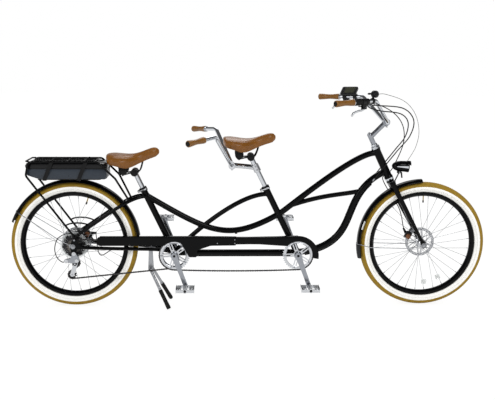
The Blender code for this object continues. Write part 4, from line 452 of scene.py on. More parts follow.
# Battery shell: glossy black ABS above, blue-grey ABS below
battery_black = surface("black_abs", 0.03, (0.14, 0.24), ("050507", "0a0a0d"), (0.006, 0.0001),
                        Specular_IOR_Level=0.25)[0]
battery_grey = surface("blue_grey_abs", 0.024, (0.26, 0.38), ("1c232c", "27303b"), (0.003, 0.0001),
                       Specular_IOR_Level=0.4)[0]
# Copper-coloured anodising of the brakes' dials
copper_anodised = surface("copper_anodised_aluminium", 0.01, (0.3, 0.42), ("6b452f", "8a5d40"),
                          Metallic=0.8)[0]
# Brass of the valve stems
brass = surface("brass", 0.008, (0.25, 0.4), ("9a8347", "b39b58"), Metallic=1.0)[0]
# Clear polycarbonate: thin, faintly frosted
clear_plastic = surface("clear_polycarbonate", 0.01, (0.08, 0.16), None, Base_Color=colour("eef1f2"),
                        Transmission_Weight=0.55, IOR=1.2, Alpha=0.55)[0]
# Lamp glass: clear and polished
lamp_glass = surface("lamp_glass", 0.01, (0.03, 0.08), None, Base_Color=colour("f4f6f7"),
                     Transmission_Weight=0.9, IOR=1.45)[0]
# Smoked screen of the display
smoked_glass = surface("smoked_acrylic", 0.02, (0.05, 0.1), ("2e2f26", "3a3b30"), Specular_IOR_Level=0.3)[0]
# White reflective tape and the greyer rubber of the mud flap
white_tape = surface("white_reflective_tape", 0.004, (0.25, 0.4), ("d5d6d4", "e6e7e5"))[0]
flap_rubber = surface("flap_rubber", 0.012, (0.5, 0.68), ("17191b", "232528"), (0.003, 0.0002),
                      Specular_IOR_Level=0.25)[0]


def piece(name, body, *coats, stands_for=None, slot=None, crease=35):
    """An object of coats, each a finish with its shells, put in the mesh as whole arrays.

    Coats whose shells share one array of points share its vertices. The piece rides on a body.
    """
    mesh = bpy.data.meshes.new(name)
    starts, points, loops, sizes, finishes, total = {}, [], [], [], [], 0
    for number, (coat, *shells) in enumerate(coats):
        mesh.materials.append(coat)
        for shell_points, shell_faces in shells:
            if id(shell_points) not in starts:
                starts[id(shell_points)] = total
                points.append(shell_points)
                total += len(shell_points)
            for f in shell_faces:
                loops.append((f + starts[id(shell_points)]).ravel())
                sizes.append(np.full(len(f), f.shape[1]))
                finishes.append(np.full(len(f), number))
    loops, sizes = np.concatenate(loops), np.concatenate(sizes)
    mesh.vertices.add(total)
    mesh.vertices.foreach_set("co", np.concatenate(points).astype(np.float32).ravel())
    mesh.loops.add(len(loops))
    mesh.loops.foreach_set("vertex_index", loops.astype(np.int32))
    mesh.polygons.add(len(sizes))
    mesh.polygons.foreach_set("loop_start", np.concatenate([[0], np.cumsum(sizes)[:-1]]).astype(np.int32))
    mesh.polygons.foreach_set("material_index", np.concatenate(finishes).astype(np.int32))
    mesh.update(calc_edges=True)
    mesh.shade_smooth()
    mesh.set_sharp_from_angle(angle=np.radians(crease))
    obj = bpy.data.objects.new(name, mesh)
    bpy.context.scene.collection.objects.link(obj)
    if body:
        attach(obj, body)
    if stands_for:
        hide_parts(stands_for)
    return obj


# Sizes, as in the CAD

REAR_HUB, FRONT_HUB = vec(-0.94, 0, 0.3395), vec(0.94, 0, 0.3395)
STOKER_BRACKET, CAPTAIN_BRACKET = vec(-0.403, 0, 0.29), vec(0.26, 0, 0.29)
HEAD_TILT, CAPTAIN_TILT, STOKER_TILT = np.radians([25.7, 26.0, 25.4])
STEER_UP = vec(-np.sin(HEAD_TILT), 0, np.cos(HEAD_TILT))
STEER_AHEAD = vec(np.cos(HEAD_TILT), 0, np.sin(HEAD_TILT))
HEAD_BOTTOM = FRONT_HUB - STEER_AHEAD * 0.0153 + STEER_UP * 0.406
CAPTAIN_UP = vec(-np.sin(CAPTAIN_TILT), 0, np.cos(CAPTAIN_TILT))
STOKER_UP = vec(-np.sin(STOKER_TILT), 0, np.cos(STOKER_TILT))
HEAD_LENGTH, HEAD_RADIUS, SEAT_TUBE_RADIUS, POST_RADIUS = 0.182, 0.0205, 0.017, 0.0136
MAIN_RADIUS, DOWN_RADIUS, BOOM_RADIUS, BRACE_RADIUS, STAY_RADIUS = 0.016, 0.0175, 0.0168, 0.0127, 0.0095
BRACKET_RADIUS, BRACKET_HALF = 0.0205, 0.0365
CAPTAIN_SEAT_TUBE, STOKER_SEAT_TUBE = 0.403, 0.392
TYRE_HALF, RIM_RADIUS, RIM_DEPTH, RIM_HALF = 0.029, 0.2855, 0.023, 0.018
FRONT_DROPOUT, REAR_DROPOUT, DROPOUT = 0.0505, 0.0675, 0.006
PITCH, DRIVE_LINE, TIMING_LINE, FIRST_SPROCKET, SPROCKET_STEP = 0.0127, 0.0536, 0.0624, 0.0392, 0.0048
CRANK_ANGLE, CRANK_LENGTH = -70.0, 0.175
GUIDE, TENSION = REAR_HUB + vec(0.01, 0, -0.0925), REAR_HUB + vec(-0.01, 0, -0.1565)
BAR_RADIUS, BAR_BORE, GRIP_RADIUS = 0.0111, 0.0113, 0.016
BAR_CLAMP = HEAD_BOTTOM + vec(-0.0271, 0, 0.3023)
BAR_RISE = HEAD_BOTTOM + vec(-0.1221, 0.197, 0.4253)
BAR_END = HEAD_BOTTOM + vec(-0.3411, 0.335, 0.4173)
STOKER_CLAMP = CAPTAIN_BRACKET + vec(-0.355, 0, 0.476)
STOKER_RISE = CAPTAIN_BRACKET + vec(-0.441, 0.225, 0.65)
STOKER_END = CAPTAIN_BRACKET + vec(-0.57, 0.4, 0.635)
LAMP = HEAD_BOTTOM + vec(0.0569, 0, 0.0653)
FENDER_RADIUS, FENDER_HALF, HOUSING_RADIUS = 0.353, 0.033, 0.0025
TRAY_TOP, RAIL_HEIGHT, RACK_HALF, BATTERY_REAR = 0.7, 0.795, 0.086, -1.176
STAND_PIVOT = vec(-0.534, 0, 0.2045)
BOTH = (LEFT, RIGHT)


def pitch_radius(teeth):
    """Radius at which a sprocket's rollers sit: half a pitch over the sine of half a tooth's angle."""
    return PITCH / (2 * np.sin(np.pi / teeth))


def from_head(*offsets):
    """Points given from the bottom of the head tube."""
    return [HEAD_BOTTOM + vec(*offset) for offset in offsets]


# Camera, light and floor

def make_camera():
    """A 60 mm view from the drive side, 10 degrees down; its directions come from yaw, pitch and roll."""
    spot, focal_over_width, sensor = (-0.151, -4.374, 1.365), 826.7 / 495, 36.0
    yaw, pitch, roll = np.radians([1.83, 10.18, 0.33])
    look = vec(np.sin(yaw) * np.cos(pitch), np.cos(yaw) * np.cos(pitch), -np.sin(pitch))
    right = vec(np.cos(yaw), -np.sin(yaw), 0)
    up = np.cross(right, look)
    right, up = right * np.cos(roll) + up * np.sin(roll), up * np.cos(roll) - right * np.sin(roll)
    camera = bpy.data.objects.new("camera", bpy.data.cameras.new("camera"))
    camera.data.sensor_fit = "HORIZONTAL"
    camera.data.sensor_width = sensor
    camera.data.lens = focal_over_width * sensor
    place = shifted(*spot)
    place[:3, :3] = np.stack([right, up, -look], -1)
    camera.matrix_world = Matrix(place.tolist())
    bpy.context.scene.collection.objects.link(camera)
    bpy.context.scene.camera = camera


def seen_by(tree):
    """One for rays from the camera, off mirrors and through glass; nought for rays that only light."""
    path = add(tree, "LightPath").outputs
    direct = add(tree, "Math", {0: path["Is Camera Ray"], 1: path["Is Transmission Ray"]},
                 operation="MAXIMUM").outputs[0]
    return add(tree, "Math", {0: direct, 1: path["Is Glossy Ray"]}, operation="MAXIMUM").outputs[0]


def make_light():
    """White round the camera; for all else, a sky that brightens from the horizon up; three soft lamps."""
    scene = bpy.context.scene
    scene.view_settings.view_transform = "Standard"
    world = bpy.data.worlds.new("studio")
    world.use_nodes = True
    scene.world = world
    tree = world.node_tree
    tree.nodes.clear()
    height = add(tree, "SeparateXYZ", {0: add(tree, "TexCoord").outputs["Generated"]}).outputs["Z"]
    sky = ramp(tree, height, -0.15, 0.85, 0.42, 1.0)
    backdrop = ramp(tree, height, 0.06, 0.3, 1.0, 0.12)
    level = add(tree, "Mix", {0: seen_by(tree), 2: sky, 3: backdrop}, data_type="FLOAT").outputs[0]
    background = add(tree, "Background", {"Color": (1, 1, 1, 1), "Strength": level})
    add(tree, "OutputWorld", {"Surface": background.outputs[0]})
    lamps = (("key", (1.6, -3.2, 3.4), (0, 0, 0.5), 1.8, 55),
             ("fill", (-2.6, -2.4, 2.6), (-0.4, 0, 0.5), 1.6, 28),
             ("back", (0.2, 2.8, 3.2), (0, 0, 0.6), 2.4, 40))
    for name, spot, target, size, power in lamps:
        lamp = bpy.data.objects.new(name, bpy.data.lights.new(name, "AREA"))
        lamp.data.shape, lamp.data.size, lamp.data.energy = "DISK", size, power
        lamp.matrix_world = Matrix(aim(spot, np.subtract(spot, target), ACROSS).tolist())
        scene.collection.objects.link(lamp)


def make_floor():
    """A wide pale floor; the camera sees mostly plain white, with a share of the shaded floor."""
    floor = bpy.data.objects.new("floor", bpy.data.meshes.new("floor"))
    span = ring(4, 0.5) * 30
    floor.data.from_pydata(np.column_stack([span, np.full(4, -0.0004)]).tolist(), [], [[0, 1, 2, 3]])
    material = bpy.data.materials.new("pale_floor")
    material.use_nodes = True
    tree = material.node_tree
    share = add(tree, "Math", {0: seen_by(tree), 1: 0.84}, operation="MULTIPLY").outputs[0]
    shader = tree.nodes["Principled BSDF"]
    shader.inputs["Base Color"].default_value = colour("f2f2f0")
    shader.inputs["Roughness"].default_value = 0.9
    shader.inputs["Specular IOR Level"].default_value = 0.0
    white = add(tree, "Emission", {"Color": (1, 1, 1, 1), "Strength": 1.05}).outputs[0]
    both = add(tree, "MixShader", {0: share, 1: shader.outputs[0], 2: white}).outputs[0]
    tree.links.new(both, tree.nodes["Material Output"].inputs["Surface"])
    floor.data.materials.append(material)
    bpy.context.scene.collection.objects.link(floor)


# Cables

def bar_place(rise, end, side):
    """A bar's end: third direction inwards along the bar, first direction down."""
    flip = vec(1, side, 1)
    return aim(end * flip, (rise - end) * flip, -UP)


RIGHT_HAND, LEFT_HAND = bar_place(BAR_RISE, BAR_END, RIGHT), bar_place(BAR_RISE, BAR_END, LEFT)


def make_cables():
    """Housings as round bars on smooth runs; two reach the down tube."""
    brake = [at(RIGHT_HAND, 0.0206, 0, 0.2212), at(RIGHT_HAND, 0.025, -0.004, 0.276),
             *from_head((0.04, -0.105, 0.381), (0.108, -0.055, 0.316), (0.095, -0.036, 0.231),
                        (0.032, -0.0315, 0.151), (-0.044, -0.0285, 0.053), (-0.092, -0.0205, -0.0127))]
    shift = [at(RIGHT_HAND, 0.019, 0.018, 0.2137), at(RIGHT_HAND, 0.036, 0.012, 0.234),
             at(RIGHT_HAND, 0.05, -0.03, 0.266),
             *from_head((0.03, -0.085, 0.352), (0.086, -0.022, 0.302), (0.08, 0.006, 0.224),
                        (0.03, 0.026, 0.148), (-0.05, 0.0285, 0.043), (-0.1, 0.0205, -0.0247))]
    for name, route, node in (("brake_housing", brake, "rear_brake_cable"),
                              ("shift_housing", shift, "shift_cable")):
        run = through(route, 14)
        ferrules = [carry(run[i:i + 4], 0.0038 * ring(14)) for i in (0, len(run) - 4)]
        obj = piece(name, None, (black_rubber, bar(run, 0.003, 14)), (zinc, *ferrules), stands_for=node,
                    slot="black_rubber")
        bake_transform(obj)
    wire = [at(RIGHT_HAND, -0.033, -0.0125, 0.2575), at(RIGHT_HAND, -0.033, -0.046, 0.2835),
            *from_head((0.05, -0.085, 0.416), (0.118, -0.045, 0.346), (0.148, -0.015, 0.251),
                       (0.136, 0, 0.166)), LAMP + vec(0.04, 0, 0.0295)]
    piece("lamp_flex", "steering", (black_rubber, bar(through(wire, 14), 0.0012, 10)),
          stands_for="lamp_wire", slot="black_rubber")


# Frame

def main_lines():
    """Centre lines of the main tubes as cubic curves."""
    seat_joint = CAPTAIN_BRACKET + CAPTAIN_UP * 0.236
    lines = {"top": (HEAD_BOTTOM + STEER_UP * 0.15, vec(-0.099, 0, 0.029), vec(0.028, 0, 0.011),
                     seat_joint),
             "down": (HEAD_BOTTOM + STEER_UP * 0.043, vec(-0.284, 0, -0.135), vec(0.379, 0, 0.048),
                      CAPTAIN_BRACKET),
             "rear": (seat_joint, vec(-0.277, 0, -0.159), vec(0.336, 0, -0.199),
                      STOKER_BRACKET + STOKER_UP * 0.348),
             "stoker": (CAPTAIN_BRACKET + CAPTAIN_UP * 0.358, vec(-0.175, 0, 0.013), vec(0.008, 0, 0.027),
                        STOKER_BRACKET)}
    lines["brace"] = (curve(*lines["down"], 45)[10], vec(-0.109, 0, -0.023), vec(0.18, 0, 0.062),
                      curve(*lines["top"], 29)[22])
    return lines


def screw(place, radius=0.003, height=0.0022):
    """A domed screw head with a six-sided socket."""
    dome = [(0, 0), (radius, 0), (radius, height * 0.5), (radius * 0.8, height), (0, height)]
    socket = filled(at(place, stacked(ring(6) * radius * 0.45, ((1, height * 0.3), (1, height * 1.01)))))
    return turned(dome, at(place, 0, 0, 0), place[:3, 2], 16), socket


def screws(places, radius, height):
    """A screw head at each of several places."""
    return [shell for place in places for shell in screw(place, radius, height)]


def guide_boss(spot, along):
    """A small saddle that holds a cable under a tube."""
    place = aim(spot, along, ACROSS)
    return pebble((0.012, 0.01, 0.014), place, 0.5, 10, 14)


def make_frame():
    """Head tube, main tubes with welds and cable runs, seat tubes with collars and quick releases."""
    runs = {name: curve(*line) for name, line in main_lines().items()}
    tube_profile = [(0.015, 0.178), (0.0232, 0.178), (0.0235, 0.173), (0.0222, 0.168), (HEAD_RADIUS, 0.165),
                    (HEAD_RADIUS, 0.017), (0.0222, 0.014), (0.0235, 0.009), (0.0232, 0.004), (0.015, 0.004)]
    upper = [(0.014, 0.1925), (0.0205, 0.1925), (0.0228, 0.1905), (0.0234, 0.1865), (0.0236, 0.1785),
             (0.0212, 0.1775), (0.014, 0.1775)]
    lower = [(0.014, 0.0045), (0.0212, 0.0045), (0.0236, 0.0035), (0.0234, -0.0045), (0.0222, -0.0075),
             (0.0212, -0.0098), (0.014, -0.0098)]
    band = [(0.0236, 0.1845), (0.0242, 0.1838), (0.0242, 0.1822), (0.0236, 0.1815)]
    head, *cups = (turned(profile, HEAD_BOTTOM, STEER_UP, 56, True)
                   for profile in (tube_profile, upper, lower, band))
    piece("head_tube_and_headset", "frame", (black_enamel, head), (chrome, *cups), stands_for="head_tube",
          slot="black_enamel")

    captain_axis, stoker_axis = ((CAPTAIN_BRACKET, CAPTAIN_UP, SEAT_TUBE_RADIUS),
                                 (STOKER_BRACKET, STOKER_UP, SEAT_TUBE_RADIUS))
    head_axis = (HEAD_BOTTOM, STEER_UP, HEAD_RADIUS)
    shells = {"captain": (CAPTAIN_BRACKET, ACROSS, BRACKET_RADIUS),
              "stoker": (STOKER_BRACKET, ACROSS, BRACKET_RADIUS)}

    def weld(name, first, radius, axis):
        """The bead at the first or the last end of a main tube."""
        run = runs[name] if first else runs[name][::-1]
        return bead(run[0], run[1] - run[0], radius, *axis)

    piece("top_tube_and_brace", "frame",
          (black_enamel, bar(runs["top"], MAIN_RADIUS, 28), bar(runs["brace"], BRACE_RADIUS, 24),
           weld("top", True, MAIN_RADIUS, head_axis), weld("top", False, MAIN_RADIUS, captain_axis)),
          stands_for="top_tube", slot="black_enamel")
    rear = runs["rear"]
    bosses = [guide_boss(rear[i] - vec(0, 0, MAIN_RADIUS), rear[i + 1] - rear[i]) for i in (18, 36)]
    piece("stoker_tube_pair", "frame",
          (black_enamel, bar(rear, MAIN_RADIUS, 28), bar(runs["stoker"], BRACE_RADIUS, 24),
           weld("rear", True, MAIN_RADIUS, captain_axis), weld("rear", False, MAIN_RADIUS, stoker_axis),
           weld("stoker", True, BRACE_RADIUS, captain_axis),
           weld("stoker", False, BRACE_RADIUS, shells["stoker"]), *bosses),
          stands_for="stoker_tubes", slot="black_enamel")

    shell_profile = cut_ring(0.012, BRACKET_RADIUS, -BRACKET_HALF, BRACKET_HALF)
    cup = [(0.0088, BRACKET_HALF), (0.0195, BRACKET_HALF), (0.0195, BRACKET_HALF + 0.003),
           (0.017, BRACKET_HALF + 0.004), (0.0088, BRACKET_HALF + 0.004)]

    def bracket(centre):
        """A crank bracket's shell, then its two bearing cups."""
        return (turned(shell_profile, centre, ACROSS, 48, True),
                *[turned(cup, centre, side * ACROSS, 40, True) for side in BOTH])

    down, boom = runs["down"], np.linspace(CAPTAIN_BRACKET, STOKER_BRACKET, 20)
    captain_shell, *captain_cups = bracket(CAPTAIN_BRACKET)
    clips = [guide_boss(boom[i] - vec(0, 0, BOOM_RADIUS), AHEAD) for i in (3, 9, 15)]
    tangents = unit(np.gradient(down, axis=0))
    below = np.stack([-tangents[:, 2], np.zeros(len(down)), tangents[:, 0]], -1)
    under = down + below * (DOWN_RADIUS + 0.0022)
    cable_pair = [bar(under[7:54] + vec(0, side * 0.005, 0), 0.0022, 8) for side in BOTH]
    boom_pair = [bar(boom[1:18] + vec(0, side * 0.005, -BOOM_RADIUS - 0.002), 0.0022, 8) for side in BOTH]
    hoops = [down[i] + (DOWN_RADIUS + 0.0012) * ring(40) @ np.stack([below[i], ACROSS])
             for i in (12, 26, 40)]
    straps = [bar(hoop, 0.0012, 8, True) for hoop in hoops]
    piece("down_tube_and_boom", "frame",
          (black_enamel, bar(down, DOWN_RADIUS, 28), bar(boom, BOOM_RADIUS, 28), captain_shell,
           weld("down", True, DOWN_RADIUS, head_axis), weld("down", False, DOWN_RADIUS, shells["captain"]),
           bead(CAPTAIN_BRACKET, -AHEAD, BOOM_RADIUS, *shells["captain"]),
           bead(STOKER_BRACKET, AHEAD, BOOM_RADIUS, *shells["stoker"]), *clips),
          (bright_alloy, *captain_cups), (black_rubber, *cable_pair, *boom_pair, *straps),
          stands_for="down_tube", slot="black_enamel")

    bore = POST_RADIUS + 0.0003
    for rider, centre, up, length in (("captain", CAPTAIN_BRACKET, CAPTAIN_UP, CAPTAIN_SEAT_TUBE),
                                      ("stoker", STOKER_BRACKET, STOKER_UP, STOKER_SEAT_TUBE)):
        wall = [(bore, 0.15), (SEAT_TUBE_RADIUS, 0.0), (SEAT_TUBE_RADIUS, length - 0.018),
                (SEAT_TUBE_RADIUS, length - 0.001), (SEAT_TUBE_RADIUS - 0.001, length), (bore, length)]
        band = [(SEAT_TUBE_RADIUS - 0.001, length - 0.018), (0.0202, length - 0.018),
                (0.021, length - 0.0172), (0.021, length + 0.0032), (0.0202, length + 0.004),
                (bore, length + 0.004), (bore, length)]
        back = vec(-up[2], 0, up[0])
        ear = aim(centre + up * (length - 0.007) + back * (SEAT_TUBE_RADIUS + 0.009), up, ACROSS)
        bolt = rod(at(ear, -0.015, 0, 0), at(ear, 0.0165, 0, 0), 0.0026, 16)
        nut_profile = [(0, 0), (0.0056, 0), (0.0062, 0.0012), (0.0056, 0.004), (0, 0.0048)]
        nut = turned(nut_profile, at(ear, 0.011, 0, 0), ACROSS, 20)
        shell_parts = bracket(centre) if rider == "stoker" else ()
        piece(f"{rider}_seat_tube_and_collar", "frame",
              (black_enamel, turned(wall, centre, up, 48, True), *shell_parts[:1],
               bead(centre, up, SEAT_TUBE_RADIUS, *shells[rider])),
              (satin_black, turned(band, centre, up, 48, True), pebble((0.022, 0.014, 0.014), ear, 0.3)),
              (bright_alloy, bolt, nut, *shell_parts[1:]), stands_for=f"{rider}_seat_tube",
              slot="black_enamel")
        cam = at(ear, -0.0155, 0, 0)
        shaft = np.linspace((0.002, -0.002, 0), (0.046, -0.0288, 0), 24)
        swell = 0.003 + 0.0021 * np.linspace(0, 1, 24) ** 1.5
        swell[-3:] *= (0.9, 0.65, 0.2)
        section = np.stack([np.full(24, 0.0042), swell], -1)[:, None] * ring(16, 0.8)
        handle = carry(at(aim(cam, up, -back), shaft), section, across=up)
        barrel = turned(cut_ring(0, 0.0042, -0.0055, 0.0055, 0.0004, 0.0005), cam, up, 24)
        piece(f"{rider}_quick_release", f"{rider}_clamp_lever", (bright_alloy, handle, barrel),
              stands_for=f"{rider}_clamp_lever", slot="chrome")


def stay_lines(side):
    """Centre lines of one side's seat stay and chain stay, as cubic curves."""
    seat = curve(STOKER_BRACKET + STOKER_UP * 0.348 + vec(0, side * 0.018, -0.002),
                 vec(-0.09, side * 0.05, 0.004), vec(0.18, -side * 0.006, 0.118),
                 REAR_HUB + vec(0.012, side * 0.0705, 0.054), 48)
    chain = curve(STOKER_BRACKET + vec(-0.004, side * 0.022, 0), vec(-0.06, side * 0.006, 0.038),
                  vec(0.3, -side * 0.022, -0.022), REAR_HUB + vec(0.05, side * 0.0705, -0.004), 48)
    return seat, chain


def axle_nuts(hub, edge, size, height, washer):
    """A six-sided nut and its washer outside the dropouts at each end of an axle."""
    shells = []
    for side in BOTH:
        shells.append(plate(ring(6) * size, edge, edge + height, side_at(hub, side), 0.0008))
        profile = square_ring(0.005, washer, edge - 0.001, edge + 0.0008)
        shells.append(turned(profile, hub, side * ACROSS, 32, True))
    return shells


def make_stays():
    """Twin stays with their bridge, dropout plates, axle nuts, and the stand's bracket below them."""
    seats, chains = zip(*[stay_lines(side) for side in BOTH])
    reach = np.linalg.norm(seats[0] * vec(1, 0, 1) - REAR_HUB, axis=1)
    near = seats[0][np.where(reach > 0.3611, reach, 9).argmin()]
    bridge = rod(near, near * vec(1, -1, 1), 0.006, 20)
    taper = (STAY_RADIUS, 0.0088, 0.007, 0.0035)
    tips = [bar(np.linspace(s[-1], s[-1] + (s[-1] - s[-2]) * 0.6, 4), taper, 20) for s in (*seats, *chains)]
    piece("seat_stay_pair", "frame",
          (black_enamel, *[bar(s, STAY_RADIUS, 24) for s in seats], bridge, *tips[:2]),
          stands_for="seat_stays", slot="black_enamel")
    outline = [(0.06, -0.011), (0.06, 0.004), (0.04, 0.008), (0.028, 0.014), (0.024, 0.03), (0.023, 0.048),
               (0.004, 0.048), (-0.006, 0.028), (-0.012, 0.016), (-0.016, 0.004), (-0.016, -0.006)]
    hanger = [(-0.01, -0.026), (-0.006, -0.04), (0.003, -0.046), (0.012, -0.044), (0.018, -0.032),
              (0.022, -0.016)]
    plain = [(-0.012, -0.014), (-0.006, -0.018), (0.01, -0.016)]
    edge = REAR_DROPOUT + DROPOUT
    dropouts = [plate(outline + tail, low, low + DROPOUT, side_at(REAR_HUB), 0.0012)
                for tail, low in ((plain, -edge), (hanger, REAR_DROPOUT))]
    axle = rod(REAR_HUB - ACROSS * (edge + 0.012), REAR_HUB + ACROSS * (edge + 0.012), 0.0048, 20)
    bridge_z = chains[0][np.abs(chains[0][:, 0] - STAND_PIVOT[0]).argmin()][2]
    mount = pebble((0.052, 0.066, 0.011), shifted(STAND_PIVOT[0], 0, bridge_z - 0.006), 0.25)
    lug = link((0, 0), (0, bridge_z - STAND_PIVOT[2] - 0.004), 0.0135, 0.0085)
    ears = [plate(lug, side * 0.02 - 0.003, side * 0.02 + 0.003, side_at(STAND_PIVOT), 0.0008)
            for side in BOTH]
    welds = [bead(STOKER_BRACKET + vec(0, side * 0.022, 0), chain[4] - chain[0], STAY_RADIUS,
                  STOKER_BRACKET, ACROSS, BRACKET_RADIUS) for side, chain in zip(BOTH, chains)]
    piece("chain_stay_pair", "frame",
          (black_enamel, *[bar(chain, STAY_RADIUS, 24) for chain in chains], *dropouts, *tips[2:], *welds),
          (zinc, mount, *ears, axle, *axle_nuts(REAR_HUB, edge, 0.0095, 0.007, 0.0125)),
          stands_for="chain_stays", slot="black_enamel")


def make_stand():
    """Pivot bar, two splayed legs, and the rubber sleeves on their lower ends, cut level at the floor."""
    legs, sleeves, rings = [], [], []
    steps = np.array([0, 0.0015, 0.004, 0.02, 0.05, 0.08, 0.095, 0.106, 0.112])[:, None] * 0.998
    girth = np.array([0.0088, 0.0104, 0.011, 0.0108, 0.0106, 0.011, 0.0116, 0.0114, 0.0098])
    for side in BOTH:
        hip, foot = STAND_PIVOT + vec(0, side * 0.036, 0), vec(STAND_PIVOT[0] + 0.104, side * 0.1, 0)
        down = unit(foot - hip)
        length = np.linalg.norm(foot - hip)
        legs.append(bar(hip + np.linspace(0, length - 0.112, 16)[:, None] * down, 0.008, 20))
        points, faces = bar(foot - down * (0.116 - steps), girth, 24)
        sleeves.append((np.column_stack([points[:, :2], np.maximum(points[:, 2], 0.0002)]), faces))
        rings.append(turned(square_ring(0.0078, 0.0098, 0, 0.004), foot - down * 0.121, down, 28, True))
    cross = rod(STAND_PIVOT - ACROSS * 0.041, STAND_PIVOT + ACROSS * 0.041, 0.0078, 28)
    heel = plate(link((0, 0), (0.02, -0.026), 0.011, 0.007), -0.014, -0.011, side_at(STAND_PIVOT), 0.0006)
    start, end = STAND_PIVOT + vec(0.012, 0.0, -0.01), STAND_PIVOT + vec(0.004, 0.0, 0.05)
    turns = np.linspace(0, 11 * 2 * np.pi, 180)
    rise = np.linspace(0, np.linalg.norm(end - start), 180)
    coil = np.column_stack([0.0042 * np.cos(turns), 0.0042 * np.sin(turns), rise])
    spring = bar(at(aim(start, end - start, ACROSS), coil), 0.0008, 6)
    piece("stand_legs", "centre_stand", (zinc, *legs, cross, heel, *rings), (black_rubber, *sleeves),
          stands_for="centre_stand", slot="steel")
    piece("stand_spring", "frame", (zinc, spring), slot="steel")


# Wheels

def make_tyre(label, hub, body):
    """A tyre: an ellipse turned about the hub, grooved where either of two waves is below its level."""
    steps = 720
    wall = np.array([216, 213, 210, 207, 204, 202.4, 199.6, 196.5, 193.5, 190.5, 187.5, 184, 180, 176.5,
                     173.5])
    degrees = np.concatenate([wall, np.linspace(170, 10, 41), 180 - wall[::-1]])
    section = np.radians(degrees)
    around = np.linspace(0, 2 * np.pi, steps, endpoint=False)[:, None]
    share = degrees - 90
    tread = np.clip((np.sin(section) - 0.36) * 6, 0, 1) * (np.abs(share) < 62)
    blocks = np.sin(around * 180 + np.abs(share) * 0.12)
    ribs = np.cos(np.radians(share) * 14)
    groove = np.clip(np.maximum(-blocks - 0.35, -ribs - 0.5) * 3, 0, 1) * tread
    foot = np.broadcast_to([0.2858, 0.2888], (steps, 2))
    radius = np.hstack([foot, 0.3125 + 0.027 * np.sin(section) - 0.0009 * groove, foot[:, ::-1]])
    raised = 0.0007 * (np.exp(-((degrees + 24) / 2.5) ** 2) + np.exp(-((degrees - 204) / 2.5) ** 2))
    offset = np.concatenate([[-0.015, -0.0188], (TYRE_HALF + raised) * np.cos(section), [0.0188, 0.015]])
    points = np.stack([hub[0] + radius * np.cos(around), np.broadcast_to(offset, radius.shape),
                       hub[2] + radius * np.sin(around)], -1)
    flat, (quads,) = outward(lattice(points, True, True))
    bands = quads.reshape(steps, -1, 4)
    column = np.arange(bands.shape[1])
    grey = np.isin(column, (0, 6, 67, 73, 74))
    tan = (column > 15) & (column < 58)
    parts = ((tan_rubber, tan), (white_rubber, ~grey & ~tan), (grey_rubber, grey))
    coats = [(finish, (flat, [bands[:, part].reshape(-1, 4)])) for finish, part in parts]
    piece(f"{label}_tyre_rubber", body, *coats, stands_for=f"{label}_tyre", slot="tan_rubber", crease=50)


def make_rim(label, hub, valve, body):
    """A rim's profile turned about the hub, with a valve and its cap at an angle in degrees."""
    inner = RIM_RADIUS - RIM_DEPTH
    half = [(RIM_RADIUS - 0.002, 0.0145), (RIM_RADIUS, 0.016), (RIM_RADIUS, 0.0176),
            (RIM_RADIUS - 0.001, RIM_HALF), (RIM_RADIUS - 0.011, RIM_HALF), (RIM_RADIUS - 0.014, 0.0172),
            (inner + 0.003, 0.01), (inner + 0.0006, 0.007), (inner, 0.005)]
    rim = half + [(r, -y) for r, y in reversed(half)]
    out = ray(valve)
    stem = turned([(0, 0), (0.0042, 0), (0.0042, 0.002), (0.003, 0.003), (0.003, 0.03), (0.0026, 0.036),
                   (0, 0.036)], hub + out * (inner + 0.001), -out, 16)
    cap = turned([(0, 0), (0.0038, 0), (0.004, 0.01), (0.0028, 0.013), (0, 0.014)],
                 hub + out * (inner - 0.024), -out, 16)
    piece(f"{label}_rim_hoop", body, (black_enamel, turned(rim, hub, ACROSS, 180, True)), (brass, stem),
          (black_rubber, cap), stands_for=f"{label}_rim", slot="black_enamel")


def spokes(hub, flange_radius, flange_y, cross):
    """Wires with their nipples and heads, from the flanges to the rim; every other one leans back."""
    wire_radius, lift = 0.00105, 0.0019
    number = np.arange(16)
    lean = np.where(number % 2, 1, -1)
    starts, ends = [], []
    for side in BOTH:
        angle = (number + 0.25 * side) * 22.5
        starts.append(flange_radius * ray(angle + lean * cross)
                      + ACROSS * (side * flange_y + lean * lift)[:, None])
        ends.append(0.2618 * ray(angle) + ACROSS * (side * 0.004 + lean * lift)[:, None])
    starts, ends = np.concatenate(starts) + hub, np.concatenate(ends) + hub
    third = unit(ends - starts)
    first = unit(np.cross(third, ACROSS)) * wire_radius
    second = np.cross(third, first)
    wire = filled(stacked(ring(8), ((1, 0), (1, 1))))
    nipple = filled(stacked(ring(8), ((1.2, 0), (1.9, 0.001), (2.0, 0.011), (2.0, 0.013))))
    head = filled(stacked(ring(8), ((0.5, -0.0008), (2.0, -0.0004), (2.0, 0.0004), (0.5, 0.0008))))
    return (repeat(wire, placed(first, second, ends - starts, starts)),
            repeat(nipple, placed(first, second, third, ends - third * 0.0125)),
            repeat(head, placed(AHEAD * wire_radius, UP * wire_radius, -ACROSS, starts)))


